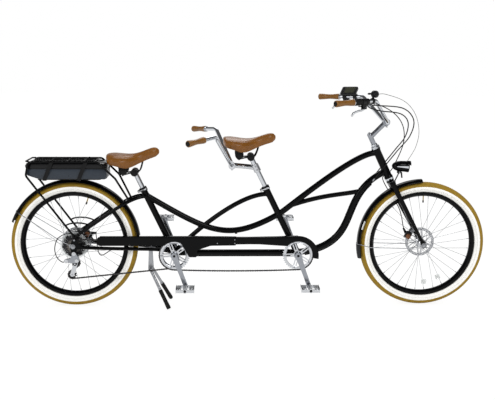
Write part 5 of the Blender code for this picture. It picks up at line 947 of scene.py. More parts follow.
def rotor(hub, rotor_y):
    """A brake disc on a polar grid: crossed arms in a drilled band with a wavy edge; six bolts."""
    cells, sixth = 288, np.pi / 3
    turn = np.linspace(0, 2 * np.pi, cells, endpoint=False)
    rows = np.array([0.0155, 0.02, 0.0245, 0.03, 0.036, 0.042, 0.048, 0.054, 0.06, 0.0645, 0.0668, 0.069,
                     0.0712, 0.0734, 0.0756, 0.0778, 0.08])
    radii = np.repeat(rows[:, None], cells, 1)
    radii[-1] -= 0.0012 * (0.5 + 0.5 * np.cos(turn * 12))
    middle = (rows[:-1] + rows[1:])[:, None] / 2
    sweeps = [(turn + way * (middle - 0.014) * 9) % sixth for way in (1, -1)]
    arms = np.any([np.minimum(sweep, sixth - sweep) * middle < 0.0024 for sweep in sweeps], 0)
    row, cell = np.arange(len(middle))[:, None], np.arange(cells)
    holes = (row == 11) & (cell % 12 < 4) | (row == 13) & ((cell + 6) % 12 < 4)
    keep = ((middle > 0.0655) & ~holes) | (middle < 0.022) | ((middle <= 0.0655) & arms)
    disc = punched(radii, turn, keep, -rotor_y - 0.0009, -rotor_y + 0.0009, side_at(hub))
    spots = hub + ACROSS * (rotor_y + 0.0008) + 0.0185 * ray(np.arange(6) * 60)
    return disc, screws([aim(spot, ACROSS, UP) for spot in spots], 0.0026, 0.0018)


def make_wheel(label, hub, profile, flange_radius, flange_y, cross, rotor_y, valve):
    """Tyre, rim, and hub with spokes and brake disc; reflectors in front, a clear guard behind."""
    body = f"{label}_wheel"
    make_tyre(label, hub, body)
    make_rim(label, hub, valve, body)
    disc, bolts = rotor(hub, rotor_y)
    coats = [(zinc, *spokes(hub, flange_radius, flange_y, cross), disc), (dark_steel, *bolts),
             (satin_black if label == "rear" else bright_alloy, turned(profile, hub, ACROSS, 72, True))]
    if label == "front":
        for x, z, tilt in ((0.0226, -0.216, -4), (0.098, -0.189, 22)):
            spot = aim(hub + vec(x, 0, z), ACROSS, ray(tilt))
            coats.append((clear_plastic, pebble((0.027, 0.026, 0.0095), spot, 0.25, 10, 24)))
            coats.append((white_tape, pebble((0.023, 0.022, 0.004), spot, 0.3, 8, 20)))
    else:
        rows = np.repeat(np.linspace(0.024, 0.076, 5)[:, None], 96, 1)
        keep = np.ones((4, 96), bool)
        keep[1:3] = np.arange(96) % 16 > 3
        turn = np.linspace(0, 2 * np.pi, 96, endpoint=False)
        coats.append((clear_plastic, punched(rows, turn, keep, 0.0366, 0.0376, side_at(hub))))
    piece(f"{label}_hub_and_spokes", body, *coats, stands_for=f"{label}_hub", slot="steel")


def make_wheels():
    """Both wheels; each hub's profile runs from its left end to its right."""
    front = [(0.0053, 0.05), (0.0085, 0.05), (0.01, 0.044), (0.01, 0.0414), (0.02, 0.0414),
             (0.0205, 0.0405), (0.0205, 0.0345), (0.023, 0.0335), (0.024, 0.0325), (0.024, 0.0278),
             (0.0228, 0.0268), (0.018, 0.0245), (0.0145, 0.019), (0.0135, 0.008), (0.0135, -0.008),
             (0.0145, -0.019), (0.018, -0.0245), (0.0228, -0.0268), (0.024, -0.0278), (0.024, -0.0325),
             (0.023, -0.0335), (0.016, -0.038), (0.01, -0.044), (0.0085, -0.05), (0.0053, -0.05)]
    make_wheel("front", FRONT_HUB, front, 0.021, 0.03, 62, 0.0405, 90)
    rear = [(0.0053, 0.067), (0.0112, 0.067), (0.012, 0.066), (0.012, 0.0539), (0.022, 0.0539),
            (0.0226, 0.052), (0.024, 0.0425), (0.03, 0.0405), (0.048, 0.0375), (0.056, 0.036),
            (0.06, 0.0338), (0.0655, 0.0332), (0.066, 0.0324), (0.066, 0.0262), (0.0652, 0.0254),
            (0.0622, 0.0226), (0.062, 0.02), (0.062, -0.02), (0.0622, -0.0226), (0.0652, -0.0254),
            (0.066, -0.0262), (0.066, -0.0324), (0.0655, -0.0332), (0.06, -0.0345), (0.017, -0.036),
            (0.017, -0.066), (0.016, -0.067), (0.0053, -0.067)]
    make_wheel("rear", REAR_HUB, rear, 0.063, 0.029, 34, 0.053, 73)


# Drivetrain

def toothed(teeth, line, centre, rows, keep, half=0.0009, samples=12):
    """A sprocket: its rim falls to a roller's seat and rises to a tip once per tooth, as a cosine."""
    count = teeth * samples
    angle = np.linspace(0, 2 * np.pi, count, endpoint=False)
    pitch = pitch_radius(teeth)
    wave = 0.5 - 0.5 * np.cos(angle * teeth)
    rim = pitch - 0.0038 + 0.006 * np.clip(wave * 1.25 - 0.1, 0, 1)
    radii = np.vstack([np.broadcast_to(np.asarray(rows)[:, None], (len(rows), count)), rim[None]])
    middle = (radii[:-1] + radii[1:]) / 2
    return punched(radii, angle, keep(middle, np.broadcast_to(angle, middle.shape)), line - half,
                   line + half, side_at(centre))


def belt(wheels, sag=None, arc_points=40, run_points=60):
    """A line round wheels of (x, z, radius, turn): arcs and common tangents; a run may sag as a parabola."""
    count = len(wheels)
    leave, enter = np.zeros(count), np.zeros(count)
    for i, (x0, z0, r0, s0) in enumerate(wheels):
        j = (i + 1) % count
        x1, z1, r1, s1 = wheels[j]
        heading, gap = np.arctan2(z1 - z0, x1 - x0), np.hypot(x1 - x0, z1 - z0)
        normal = heading + np.arcsin((s0 * r0 - s1 * r1) / gap) - np.pi / 2
        leave[i], enter[j] = normal + (s0 < 0) * np.pi, normal + (s1 < 0) * np.pi
    runs = []
    for i, (x, z, radius, turn) in enumerate(wheels):
        sweep = (leave[i] - enter[i]) * turn % (2 * np.pi)
        angle = enter[i] + turn * np.linspace(0, sweep, arc_points)
        runs.append(np.stack([x + radius * np.cos(angle), z + radius * np.sin(angle)], -1))
        j = (i + 1) % count
        end = np.array([wheels[j][0] + wheels[j][2] * np.cos(enter[j]),
                        wheels[j][1] + wheels[j][2] * np.sin(enter[j])])
        t = np.linspace(0, 1, run_points + 2)[1:-1, None]
        drop = (sag or {}).get(i, 0.0)
        runs.append(runs[-1][-1] * (1 - t) + end * t - np.array([0, 1]) * drop * 4 * t * (1 - t))
    return np.vstack(runs)


def chain_links(path, line):
    """Link plates and rollers at even steps along a closed line; outer and inner plates take turns."""
    closed = np.vstack([path, path[:1]])
    reach = np.concatenate([[0], np.cumsum(np.linalg.norm(np.diff(closed, axis=0), axis=1))])
    count = 2 * round(reach[-1] / PITCH / 2)
    s = np.linspace(0, reach[-1], count, endpoint=False)
    pins = np.stack([np.interp(s, reach, closed[:, 0]), np.full(count, -line),
                     np.interp(s, reach, closed[:, 1])], -1)
    following = np.roll(pins, -1, 0)
    ahead = unit(following - pins)
    places = placed(ahead, ACROSS, np.cross(ahead, ACROSS), (pins + following) / 2)
    half = PITCH / 2
    waist = [(-half - 0.0042, 0), (-half - 0.0021, 0.0037), (-half + 0.0021, 0.0039), (0, 0.0027),
             (half - 0.0021, 0.0039), (half + 0.0021, 0.0037), (half + 0.0042, 0)]
    waist = np.array(waist + [(x, -z) for x, z in waist[-2:0:-1]])

    def raised(outline, low, high):
        """A flat outline in the link's own side view, raised across it from low to high."""
        return filled(np.stack([np.insert(outline, 1, y, axis=1) for y in (low, high)]))

    wide = [raised(waist, 0.0023, 0.0032), raised(waist, -0.0032, -0.0023)]
    narrow = [raised(waist, 0.0013, 0.0022), raised(waist, -0.0022, -0.0013)]
    plates = ([repeat(shell, places[::2]) for shell in wide]
              + [repeat(shell, places[1::2]) for shell in narrow])
    rounds = [raised(radius * ring(8) - (half, 0), -width, width)
              for radius, width in ((0.0038, 0.0013), (0.0018, 0.0037))]
    return plates, [repeat(shell, places) for shell in rounds]


def make_chains():
    """The timing chain between the cranks, slack below, and the drive chain round wheel and pulleys."""
    def wheel(centre, teeth, turn=1):
        """A sprocket's x, z, pitch radius and turn, as belt takes them."""
        return centre[0], centre[2], pitch_radius(teeth), turn

    timing = belt([wheel(CAPTAIN_BRACKET, 40), wheel(STOKER_BRACKET, 40)], {1: 0.006})
    drive = belt([wheel(STOKER_BRACKET, 36), wheel(REAR_HUB, 18), wheel(GUIDE, 11, -1), wheel(TENSION, 11)])
    for name, path, line in (("timing_chain", timing, TIMING_LINE), ("drive_chain", drive, DRIVE_LINE)):
        plates, pins = chain_links(path, line)
        piece(f"{name}_links", "frame", (dark_steel, *plates), (oiled_steel, *pins), stands_for=name,
              slot="steel")


def make_cassette():
    """Six sprockets, the larger ones with windows, on a spacer sleeve with a lock ring."""
    sprockets = []
    for i, teeth in enumerate((28, 24, 21, 18, 16, 14)):
        outer = pitch_radius(teeth)

        def keep(r, a, outer=outer):
            """Everywhere but six windows in a large sprocket."""
            window = (np.abs((a * 6 / (2 * np.pi)) % 1 - 0.5) < 0.26) & (r > 0.0235) & (r < outer - 0.0075)
            return ~window if outer > 0.045 else np.ones_like(window)

        rows = np.linspace(0.0178, outer - 0.0052, 6)
        sprockets.append(toothed(teeth, FIRST_SPROCKET + i * SPROCKET_STEP, REAR_HUB, rows, keep,
                                 samples=8))
    sleeve = square_ring(0.0176, 0.0212, FIRST_SPROCKET - 0.0008, FIRST_SPROCKET + 0.0246)
    lock = [(0.0178, 0.0636), (0.0205, 0.0636), (0.0205, 0.0655), (0.0192, 0.0664), (0.0178, 0.0664)]
    sleeve, lock = (turned(profile, REAR_HUB, -ACROSS, 40, True) for profile in (sleeve, lock))
    piece("sprocket_stack", "cassette", (dark_steel, *sprockets[:3], sleeve), (oiled_steel, *sprockets[3:]),
          (zinc, lock), stands_for="cassette", slot="steel")


def crank_arm(centre, angle, inner, side):
    """A tapered arm: a squarish section whose half width is a circle's chord at both ends."""
    root, eye = 0.0175, 0.0125
    s = np.concatenate([-root * np.cos(np.linspace(0.02, np.pi / 2, 10)),
                        np.linspace(0.004, CRANK_LENGTH - 0.004, 18),
                        CRANK_LENGTH + eye * np.sin(np.linspace(0, np.pi / 2 - 0.02, 10))])
    middle = root + (0.012 - root) * np.clip(s / 0.1, 0, 1) ** 0.7
    chord = np.where(s < 0, root ** 2 - s ** 2, eye ** 2 - np.maximum(s - CRANK_LENGTH, 0) ** 2)
    swell = middle + (eye - middle) * np.clip((s - CRANK_LENGTH + 0.022) / 0.02, 0, 1)
    width = np.where((s < 0) | (s > CRANK_LENGTH), np.sqrt(np.maximum(chord, 1e-8)), swell)
    depth = np.where((s > 0.02) & (s < CRANK_LENGTH - 0.02), 0.0054, 0.006)
    path = centre + ray(angle) * s[:, None] + vec(0, side * (inner + 0.006), 0)
    return carry(path, np.stack([depth, width], -1)[:, None] * ring(28, 0.45), across=ACROSS)


def crank_angle(side):
    """The left arm's angle is half a turn from the right one's."""
    return CRANK_ANGLE + (180 if side == LEFT else 0)


def make_cranks():
    """Arms, axle, spider and rings of both cranks, with their bolts, caps and pedals."""
    phase = CRANK_ANGLE + 36

    def spider(r, a):
        """Five forked arms between an inner disc and the rim."""
        arm = ((a - np.radians(phase)) / (2 * np.pi / 5) + 0.5) % 1 - 0.5
        off = np.abs(arm) * 2 * np.pi / 5 * r
        return (r > 0.0634) | (r < 0.024) | (off < 0.0098) & ((off > 0.0036) | (r < 0.032))

    for rider, centre in (("captain", CAPTAIN_BRACKET), ("stoker", STOKER_BRACKET)):
        rows = np.concatenate([np.linspace(0.0095, 0.0628, 16), np.linspace(0.064, 0.0755, 5)])
        band = toothed(40, TIMING_LINE, centre, rows, spider, samples=16)
        edge = TIMING_LINE + 0.0009
        lip = turned([(0.0636, edge), (0.065, TIMING_LINE + 0.0018), (0.0664, edge)], centre, -ACROSS, 80,
                     True)
        boss = [(0.008, 0.05), (0.0155, 0.05), (0.0175, 0.056), (0.02, 0.061), (0.02, 0.069),
                (0.0172, 0.0745), (0.008, 0.0745)]
        shells = [rod(centre + ACROSS * 0.078, centre - ACROSS * 0.082, 0.0085, 28),
                  turned(boss, centre, -ACROSS, 48, True)]
        if rider == "stoker":
            rows = np.concatenate([np.linspace(0.0095, 0.058, 12), np.linspace(0.06, 0.067, 4)])
            shells.append(toothed(36, DRIVE_LINE, centre, rows, lambda r, a: (r > 0.059) | spider(r, a)))
        arms, caps, axles = [], [], []
        for side, inner in ((RIGHT, 0.074), (LEFT, 0.07)):
            arms.append(crank_arm(centre, crank_angle(side), inner, side))
            cap = [(0, 0.0118), (0.007, 0.0118), (0.007, 0.0126), (0.0058, 0.0134), (0, 0.0137)]
            axle = [(0, -0.0005), (0.006, -0.0005), (0.006, 0.0125), (0.0078, 0.0127), (0.0078, 0.0165),
                    (0.0052, 0.0172), (0.0048, 0.11), (0, 0.11)]
            face = centre + side * ACROSS * inner
            caps.append(turned(cap, face, side * ACROSS, 32))
            axles.append(turned(axle, face + CRANK_LENGTH * ray(crank_angle(side)), side * ACROSS, 28))
        spots = centre + 0.0708 * ray(phase + np.arange(5) * 72) - ACROSS * (TIMING_LINE + 0.0008)
        bolts = screws([aim(spot, -ACROSS, UP) for spot in spots], 0.0042, 0.002)
        piece(f"{rider}_crank_and_rings", f"{rider}_crank", (grey_alloy, *arms, *shells, *bolts),
              (bright_alloy, band, lip), (black_plastic, *caps), (zinc, *axles),
              stands_for=f"{rider}_crank", slot="polished_aluminium")
        for label, side, inner in (("left", LEFT, 0.094), ("right", RIGHT, 0.098)):
            make_pedal(f"{rider}_{label}_pedal", centre, side, inner)


def make_pedal(name, centre, side, inner):
    """A cage pedal: two toothed side plates joined by end plates, treads, a barrel and black pads."""
    middle = centre + CRANK_LENGTH * ray(crank_angle(side)) + ACROSS * side * (inner + 0.046)
    y = np.linspace(-0.043, 0.043, 44)
    teeth = 0.01 + 0.0026 * np.abs((np.arange(44) / 3.0) % 2 - 1)
    edge = np.vstack([np.column_stack([y, teeth]), np.column_stack([y[::-1], -teeth[::-1]])])
    cage = [plate(edge, x - 0.0011, x + 0.0011, aim(middle, AHEAD, ACROSS), 0.0004)
            for x in (-0.0475, 0.0475)]
    ends = [pebble((0.094, 0.0044, 0.017), shifted(*(middle + ACROSS * s * 0.043)), 0.2) for s in BOTH]
    treads = [pebble((0.021, 0.078, 0.0245), shifted(*(middle + AHEAD * s * 0.0325)), 0.22, 14, 24)
              for s in BOTH]
    barrel = turned([(0.0055, -0.043), (0.0125, -0.043), (0.0135, -0.04), (0.0118, -0.03), (0.0112, 0.0),
                     (0.0118, 0.03), (0.0128, 0.04), (0.0118, 0.044), (0, 0.045)], middle, side * ACROSS,
                    32)
    cap = turned([(0, 0.044), (0.0098, 0.044), (0.0098, 0.047), (0.007, 0.0492), (0, 0.0496)],
                 middle - ACROSS * side * 0.0036, side * ACROSS, 28)
    pads = [pebble((0.005, 0.056, 0.015), shifted(*(middle + AHEAD * s * 0.0455)), 0.25, 12, 20)
            for s in BOTH]
    piece(f"{name}_cage", name, (bright_alloy, *cage, *ends, *treads, barrel), (black_plastic, *pads, cap),
          stands_for=name, slot="black_rubber")


def make_guard():
    """The guard's side view: an arc over the captain's ring, a band back to the hub, a plate below it."""
    rear, top, bottom, hollow = -1.072, 0.103, 0.053, STOKER_BRACKET[0] - CAPTAIN_BRACKET[0]
    upper = [(-0.06, 0.1035), (-0.11, 0.1015), (-0.257, 0.0985), (-0.331, 0.0985), (-0.3335, 0.1005),
             (-0.42, 0.102), (-0.522, top)]
    tab = [(-0.622, 0.057), (-0.588, -0.003), (-0.585, -0.008), (-0.58, -0.01), (-0.548, -0.01),
           (-0.543, -0.006), (-0.541, 0.022), (-0.536, 0.03), (-0.504, 0.041), (-0.474, 0.0515),
           (-0.462, bottom)]
    lower = [(-0.336, 0.0545), (-0.3335, 0.06), (-0.257, 0.061), (-0.205, 0.0603), (-0.15, 0.0565),
             (-0.098, 0.053)]
    outline = np.vstack([arc((0, -0.005), 0.11, -8, 90, 30), upper,
                         arc((rear + 0.016, top - 0.016), 0.016, 90, 180, 8),
                         arc((rear + 0.016, bottom + 0.016), 0.016, 180, 270, 8),
                         arc((hollow, 0), 0.0745, 134, 64, 18), tab, lower,
                         arc((0, -0.005), 0.08, 136.6, -8, 34)])
    place = side_at(CAPTAIN_BRACKET)
    band = plate(outline, 0.0685, 0.0706, place, 0.0007)
    edge = np.vstack([[(0.0, 0.105)], upper, [(rear + 0.014, top)]])
    lip = plate(np.vstack([edge - (0, 0.0025), edge[::-1] - (0, 0.0003)]), 0.0465, 0.07, place, 0.0004)
    boss_x = STOKER_BRACKET[0] + 0.103
    boss = rod(vec(boss_x, -0.0695, 0.29), vec(boss_x, -0.014, 0.29), 0.006, 20)
    roll = bar(at(place, np.column_stack([outline[:30], np.full(30, 0.07)])), 0.0016, 10)
    spots = ((-0.433, 0.067), (-0.34, 0.086), (-0.34, 0.067))
    heads = screws([place @ shifted(x, z, 0.0705) for x, z in spots], 0.0034, 0.0024)
    piece("chain_guard_band", "frame", (black_enamel, band, lip, boss, roll), (zinc, *heads),
          stands_for="chain_guard", slot="black_enamel")


def make_derailleur():
    """Knuckles on the hanger and the guide's axis, two link plates, the cage's plates, the jockey wheels."""
    place = side_at(REAR_HUB)
    hanger = REAR_DROPOUT + DROPOUT + 0.0003
    guide, tension = (0.01, -0.0925), (-0.01, -0.1565)
    gap = 0.0055
    cage_line = link(guide, tension, 0.012, 0.011, 14)
    cage = [plate(cage_line, low, low + 0.0016, place, 0.0004)
            for low in (DRIVE_LINE + gap, DRIVE_LINE - gap - 0.0016)]
    body = np.array([(-0.002, -0.026), (0.01, -0.024), (0.016, -0.029), (0.028, -0.05), (0.034, -0.066),
                     (0.033, -0.078), (0.026, -0.086), (0.004, -0.088), (-0.034, -0.084), (-0.042, -0.079),
                     (-0.043, -0.07), (-0.032, -0.064), (-0.014, -0.06), (-0.006, -0.044)])
    inner_link = plate(body, hanger, hanger + 0.0042, place, 0.0012)
    outer_link = plate(body * 0.97 + (0, -0.002), hanger + 0.0075, hanger + 0.012, place, 0.0014)
    knuckle = [(0, 0), (0.0105, 0), (0.0112, 0.001), (0.0112, 0.012), (0.01, 0.0135), (0, 0.014)]
    knuckles = [turned(knuckle, at(place, x, z, hanger), -ACROSS, 32)
                for x, z in ((0.006, -0.036), (0.02, -0.074), (-0.036, -0.075))]
    barrel = rod(at(place, *guide, DRIVE_LINE + gap), at(place, *guide, hanger + 0.01), 0.0098, 28)
    spots = ((0.006, -0.036, hanger + 0.0136), (*guide, hanger + 0.0098),
             (*tension, DRIVE_LINE + gap + 0.0015))
    bolts = screws([place @ shifted(*spot) for spot in spots], 0.0048, 0.003)
    roller = toothed(11, DRIVE_LINE, REAR_HUB + vec(guide[0], 0, guide[1]),
                     np.linspace(0.004, pitch_radius(11) - 0.006, 4), lambda r, a: np.ones(r.shape, bool),
                     0.0011, 10)
    pin = rod(at(place, *tension, DRIVE_LINE - gap - 0.003), at(place, *tension, DRIVE_LINE + gap + 0.003),
              0.003, 16)
    loop = through(at(place, [(-0.036, -0.078, 0.08), (-0.059, -0.08, 0.08), (-0.086, -0.052, 0.079),
                              (-0.094, -0.006, 0.079), (-0.078, 0.044, 0.08), (-0.04, 0.07, 0.0815),
                              (0.0, 0.074, 0.083), (0.038, 0.056, 0.085), (0.066, 0.016, 0.083),
                              (0.11, 0.006, 0.0805)]), 12)
    piece("derailleur_links", "frame", (bright_alloy, *cage, *knuckles, *bolts, pin),
          (dark_steel, inner_link, barrel), (grey_alloy, outer_link), (black_plastic, roller),
          (black_rubber, bar(loop, HOUSING_RADIUS, 12)),
          (zinc, bar(loop[:6], 0.0034, 12), bar(loop[-6:], 0.0034, 12)), stands_for="rear_derailleur",
          slot="polished_aluminium")

    def windows(r, a):
        """Everywhere but five windows."""
        return ~((np.abs((a * 5 / (2 * np.pi)) % 1 - 0.5) < 0.2) & (r > 0.0075) & (r < 0.0135))

    wheel = toothed(11, DRIVE_LINE, TENSION, np.linspace(0.0036, pitch_radius(11) - 0.006, 5), windows,
                    0.0011, 10)
    hub = turned(square_ring(0.0034, 0.0072, -0.004, 0.004), TENSION - ACROSS * DRIVE_LINE, ACROSS, 28,
                 True)
    piece("jockey_wheel", "tension_pulley", (black_plastic, wheel), (zinc, hub),
          stands_for="tension_pulley", slot="black_plastic")


def make_calipers():
    """Disc brakes: rounded halves either side of the rotor, dials, an arm, a foot and the cable."""
    steer = [HEAD_BOTTOM + STEER_UP * up + vec(*offset)
             for up, *offset in ((-0.2, -0.012, 0.056, 0), (-0.09, -0.026, 0.058, 0),
                                 (-0.01, -0.03, 0.045, 0), (0.02, 0.005, 0.04, 0), (0.06, 0.055, 0.045, 0),
                                 (0, 0.085, 0.06, 0.19), (0, 0.07, 0.085, 0.3), (0, -0.02, 0.13, 0.375))]
    front_route = [*steer, at(LEFT_HAND, 0.0206, 0, 0.198)]
    rear_route = [REAR_HUB + vec(0.12, 0.078, -0.08), REAR_HUB + vec(0.2, 0.07, -0.045),
                  REAR_HUB + vec(0.3, 0.064, -0.036)]
    r = 0.074
    for label, hub, rotor_y, angle, body, route in (
            ("front", FRONT_HUB, 0.0405, 118, "steering", front_route),
            ("rear", REAR_HUB, 0.053, 236, "frame", rear_route)):
        place = aim(hub, ACROSS, -UP) @ spun(angle)
        halves = [pebble((0.03, 0.042, 0.0092), place @ shifted(r, 0.002, rotor_y + s * 0.007), 0.35)
                  for s in BOTH]
        bridge = pebble((0.007, 0.04, 0.021), place @ shifted(r + 0.0145, 0, rotor_y), 0.3)
        foot = pebble((0.016, 0.046, 0.01), place @ shifted(r, 0.033, rotor_y + 0.006), 0.25)
        dial = turned([(0, 0), (0.0138, 0), (0.0148, 0.0012), (0.0148, 0.0062), (0.013, 0.0085),
                       (0.006, 0.0092), (0, 0.0092)], at(place, r, -0.003, rotor_y + 0.0105), ACROSS, 36)
        inner_dial = turned([(0, 0), (0.0132, 0), (0.0142, 0.001), (0.0138, 0.0048), (0.009, 0.0066),
                             (0, 0.0066)], at(place, r, -0.003, rotor_y - 0.0112), -ACROSS, 36)
        arm_line = link((r, -0.003), (r + 0.034, 0.02), 0.0085, 0.0055)
        arm = plate(arm_line, rotor_y + 0.0196, rotor_y + 0.0226, place, 0.0006)
        bolts = screws([place @ shifted(r, y, rotor_y + 0.0108) for y in (0.02, 0.046)], 0.0042, 0.0035)
        run = through([at(place, r + 0.034, 0.02, rotor_y + 0.021), *route], 12)
        piece(f"{label}_brake_housing", body, (copper_anodised, dial, inner_dial),
              (satin_black, *halves, bridge, foot, arm), (zinc, *bolts),
              (black_rubber, bar(run, HOUSING_RADIUS, 12)), stands_for=f"{label}_caliper",
              slot="black_plastic")


# Fork, fenders, rack

def make_fork():
    """Crown, two straight tapering blades, dropouts, axle nuts, and the locknut above the head tube."""
    steer = aim(HEAD_BOTTOM, STEER_UP, ACROSS)
    crown = pebble((0.122, 0.036, 0.024), steer @ shifted(0, 0, -0.0265), 0.35, 22, 40)
    race = turned([(0, -0.0104), (0.0215, -0.0104), (0.0218, -0.0125), (0.02, -0.02), (0, -0.02)],
                  HEAD_BOTTOM, STEER_UP, 40)
    t = np.linspace(0, 1, 30)
    girth = np.concatenate([np.interp(t, [0, 0.5, 1], [0.0145, 0.0122, 0.0085]),
                            [0.0082, 0.0072, 0.0055, 0.003]])
    steps = np.concatenate([t, 1 + np.linspace(0.006, 0.022, 4)])[:, None]
    edge = FRONT_DROPOUT + DROPOUT
    blades, plates = [], []
    for side, low in ((LEFT, -edge), (RIGHT, FRONT_DROPOUT)):
        start = HEAD_BOTTOM - STEER_UP * 0.0265 + vec(0, side * 0.0505, 0)
        end = FRONT_HUB + STEER_UP * 0.03 + vec(0, side * 0.0547, 0)
        blades.append(bar(start + (end - start) * steps, girth, 28))
        outline = link((0, 0), (end - FRONT_HUB)[[0, 2]] * 1.1, 0.015, 0.009)
        plates.append(plate(outline, low, low + DROPOUT, side_at(FRONT_HUB), 0.0012))
    axle = rod(FRONT_HUB - ACROSS * 0.065, FRONT_HUB + ACROSS * 0.065, 0.0048, 20)
    base = HEAD_LENGTH + 0.0103
    lock = [(0.0112, base), (0.018, base), (0.0184, base + 0.001), (0.0184, base + 0.003),
            (0.0174, base + 0.0036), (0.0174, base + 0.0105), (0.0165, base + 0.012),
            (0.0112, base + 0.012)]
    piece("fork_blades_and_crown", "steering", (black_enamel, crown, race, *blades, *plates),
          (zinc, axle, *axle_nuts(FRONT_HUB, edge, 0.009, 0.006, 0.0118)),
          (chrome, turned(lock, HEAD_BOTTOM, STEER_UP, 40, True),
           turned(square_ring(0.011, 0.0127, -0.012, base), HEAD_BOTTOM, STEER_UP, 28, True)),
          stands_for="fork", slot="black_enamel")


def fender_arch(share):
    """A fender's height at shares of its half width: minus 14 mm times the share to the power 3.2."""
    return -0.014 * np.abs(share) ** 3.2


def fender(hub, first, last, lift=0.0, width=FENDER_HALF, count=90):
    """A thin arch carried round the wheel, whose lines drop to the sides as a power of the width."""
    turn = ray(np.linspace(first, last, count))
    share = np.linspace(-1, 1, 25)
    arch = fender_arch(share)
    section = np.vstack([np.column_stack([share * width, arch + 0.0018]),
                         np.column_stack([share * width, arch])[::-1]])
    points = hub + (FENDER_RADIUS + lift + section[:, 1:]) * turn[:, None] + section[:, :1] * ACROSS
    rims = [bar(points[:, k] + vec(0, s * -0.0004, 0), 0.0015, 8) for k, s in ((24, 1), (0, -1))]
    return (filled(points), *rims)


def on_fender(hub, angle, side):
    """A point on a fender's edge."""
    return hub + 0.34 * ray(angle) + vec(0, side * FENDER_HALF, 0)


def fender_stays(hub, angle, foot, leave, arrive, eyelet):
    """Bent wire stays from a fender's edges to the dropouts, their eyelets, and a hoop over the arch."""
    shells = []
    for side in BOTH:
        flip = vec(1, side, 1)
        edge, end = on_fender(hub, angle, side), hub + foot * flip
        run = bent([edge - vec(0, side * 0.001, 0), edge + leave * flip, end + arrive, end], 0.02)
        shells.append(bar(run, 0.0022, 14))
        profile = square_ring(0.0044, eyelet, 0, 0.003)
        shells.append(turned(profile, end - vec(0, side * 0.0026, 0), side * ACROSS, 24, True))
    y = np.linspace(-FENDER_HALF, FENDER_HALF, 30)[:, None]
    height = FENDER_RADIUS + 0.003 + fender_arch(y / FENDER_HALF)
    return [*shells, bar(hub + height * ray(angle) + y * ACROSS, 0.0018, 10)]


def make_fenders():
    """Both arches with their stays; clips behind; the fork's block, mud flap and side tapes in front."""
    rear_stays = fender_stays(REAR_HUB, 149, vec(-0.011, 0.0764, 0.006), vec(0.05, 0.024, -0.024),
                              vec(-0.06, 0, 0.032), 0.0078)
    clips = [pebble((0.018, 0.006, 0.012),
                    shifted(*(on_fender(REAR_HUB, 149, side) + vec(0.004, side * 0.002, 0))), 0.4)
             for side in BOTH]
    piece("rear_fender_arch", "frame", (black_enamel, *fender(REAR_HUB, 8, 159)), (zinc, *rear_stays),
          (satin_black, *clips), stands_for="rear_fender", slot="black_enamel")
    foot = HEAD_BOTTOM - STEER_UP * 0.0378
    height = np.linalg.norm(foot - FRONT_HUB) - FENDER_RADIUS
    block = pebble((0.024, 0.022, height + 0.004), aim(foot - STEER_UP * height / 2, STEER_UP, ACROSS),
                   0.25)
    front_stays = fender_stays(FRONT_HUB, 180, vec(-0.011, 0.0594, -0.004), vec(0.05, 0.026, -0.01),
                               vec(-0.06, 0, -0.012), 0.0072)
    strip = FRONT_HUB + 0.3425 * ray(np.linspace(158, 166, 14))
    tapes = [carry(strip + vec(0, side * 0.0322, 0), ring(16, 0.4) * (0.0042, 0.0013), across=AHEAD)
             for side in BOTH]
    piece("front_fender_arch", "steering", (black_enamel, *fender(FRONT_HUB, 92, 192), block),
          (zinc, *front_stays), (flap_rubber, *fender(FRONT_HUB, 181, 193, 0.0021, 0.0335)),
          (white_tape, *tapes), stands_for="front_fender", slot="black_enamel")


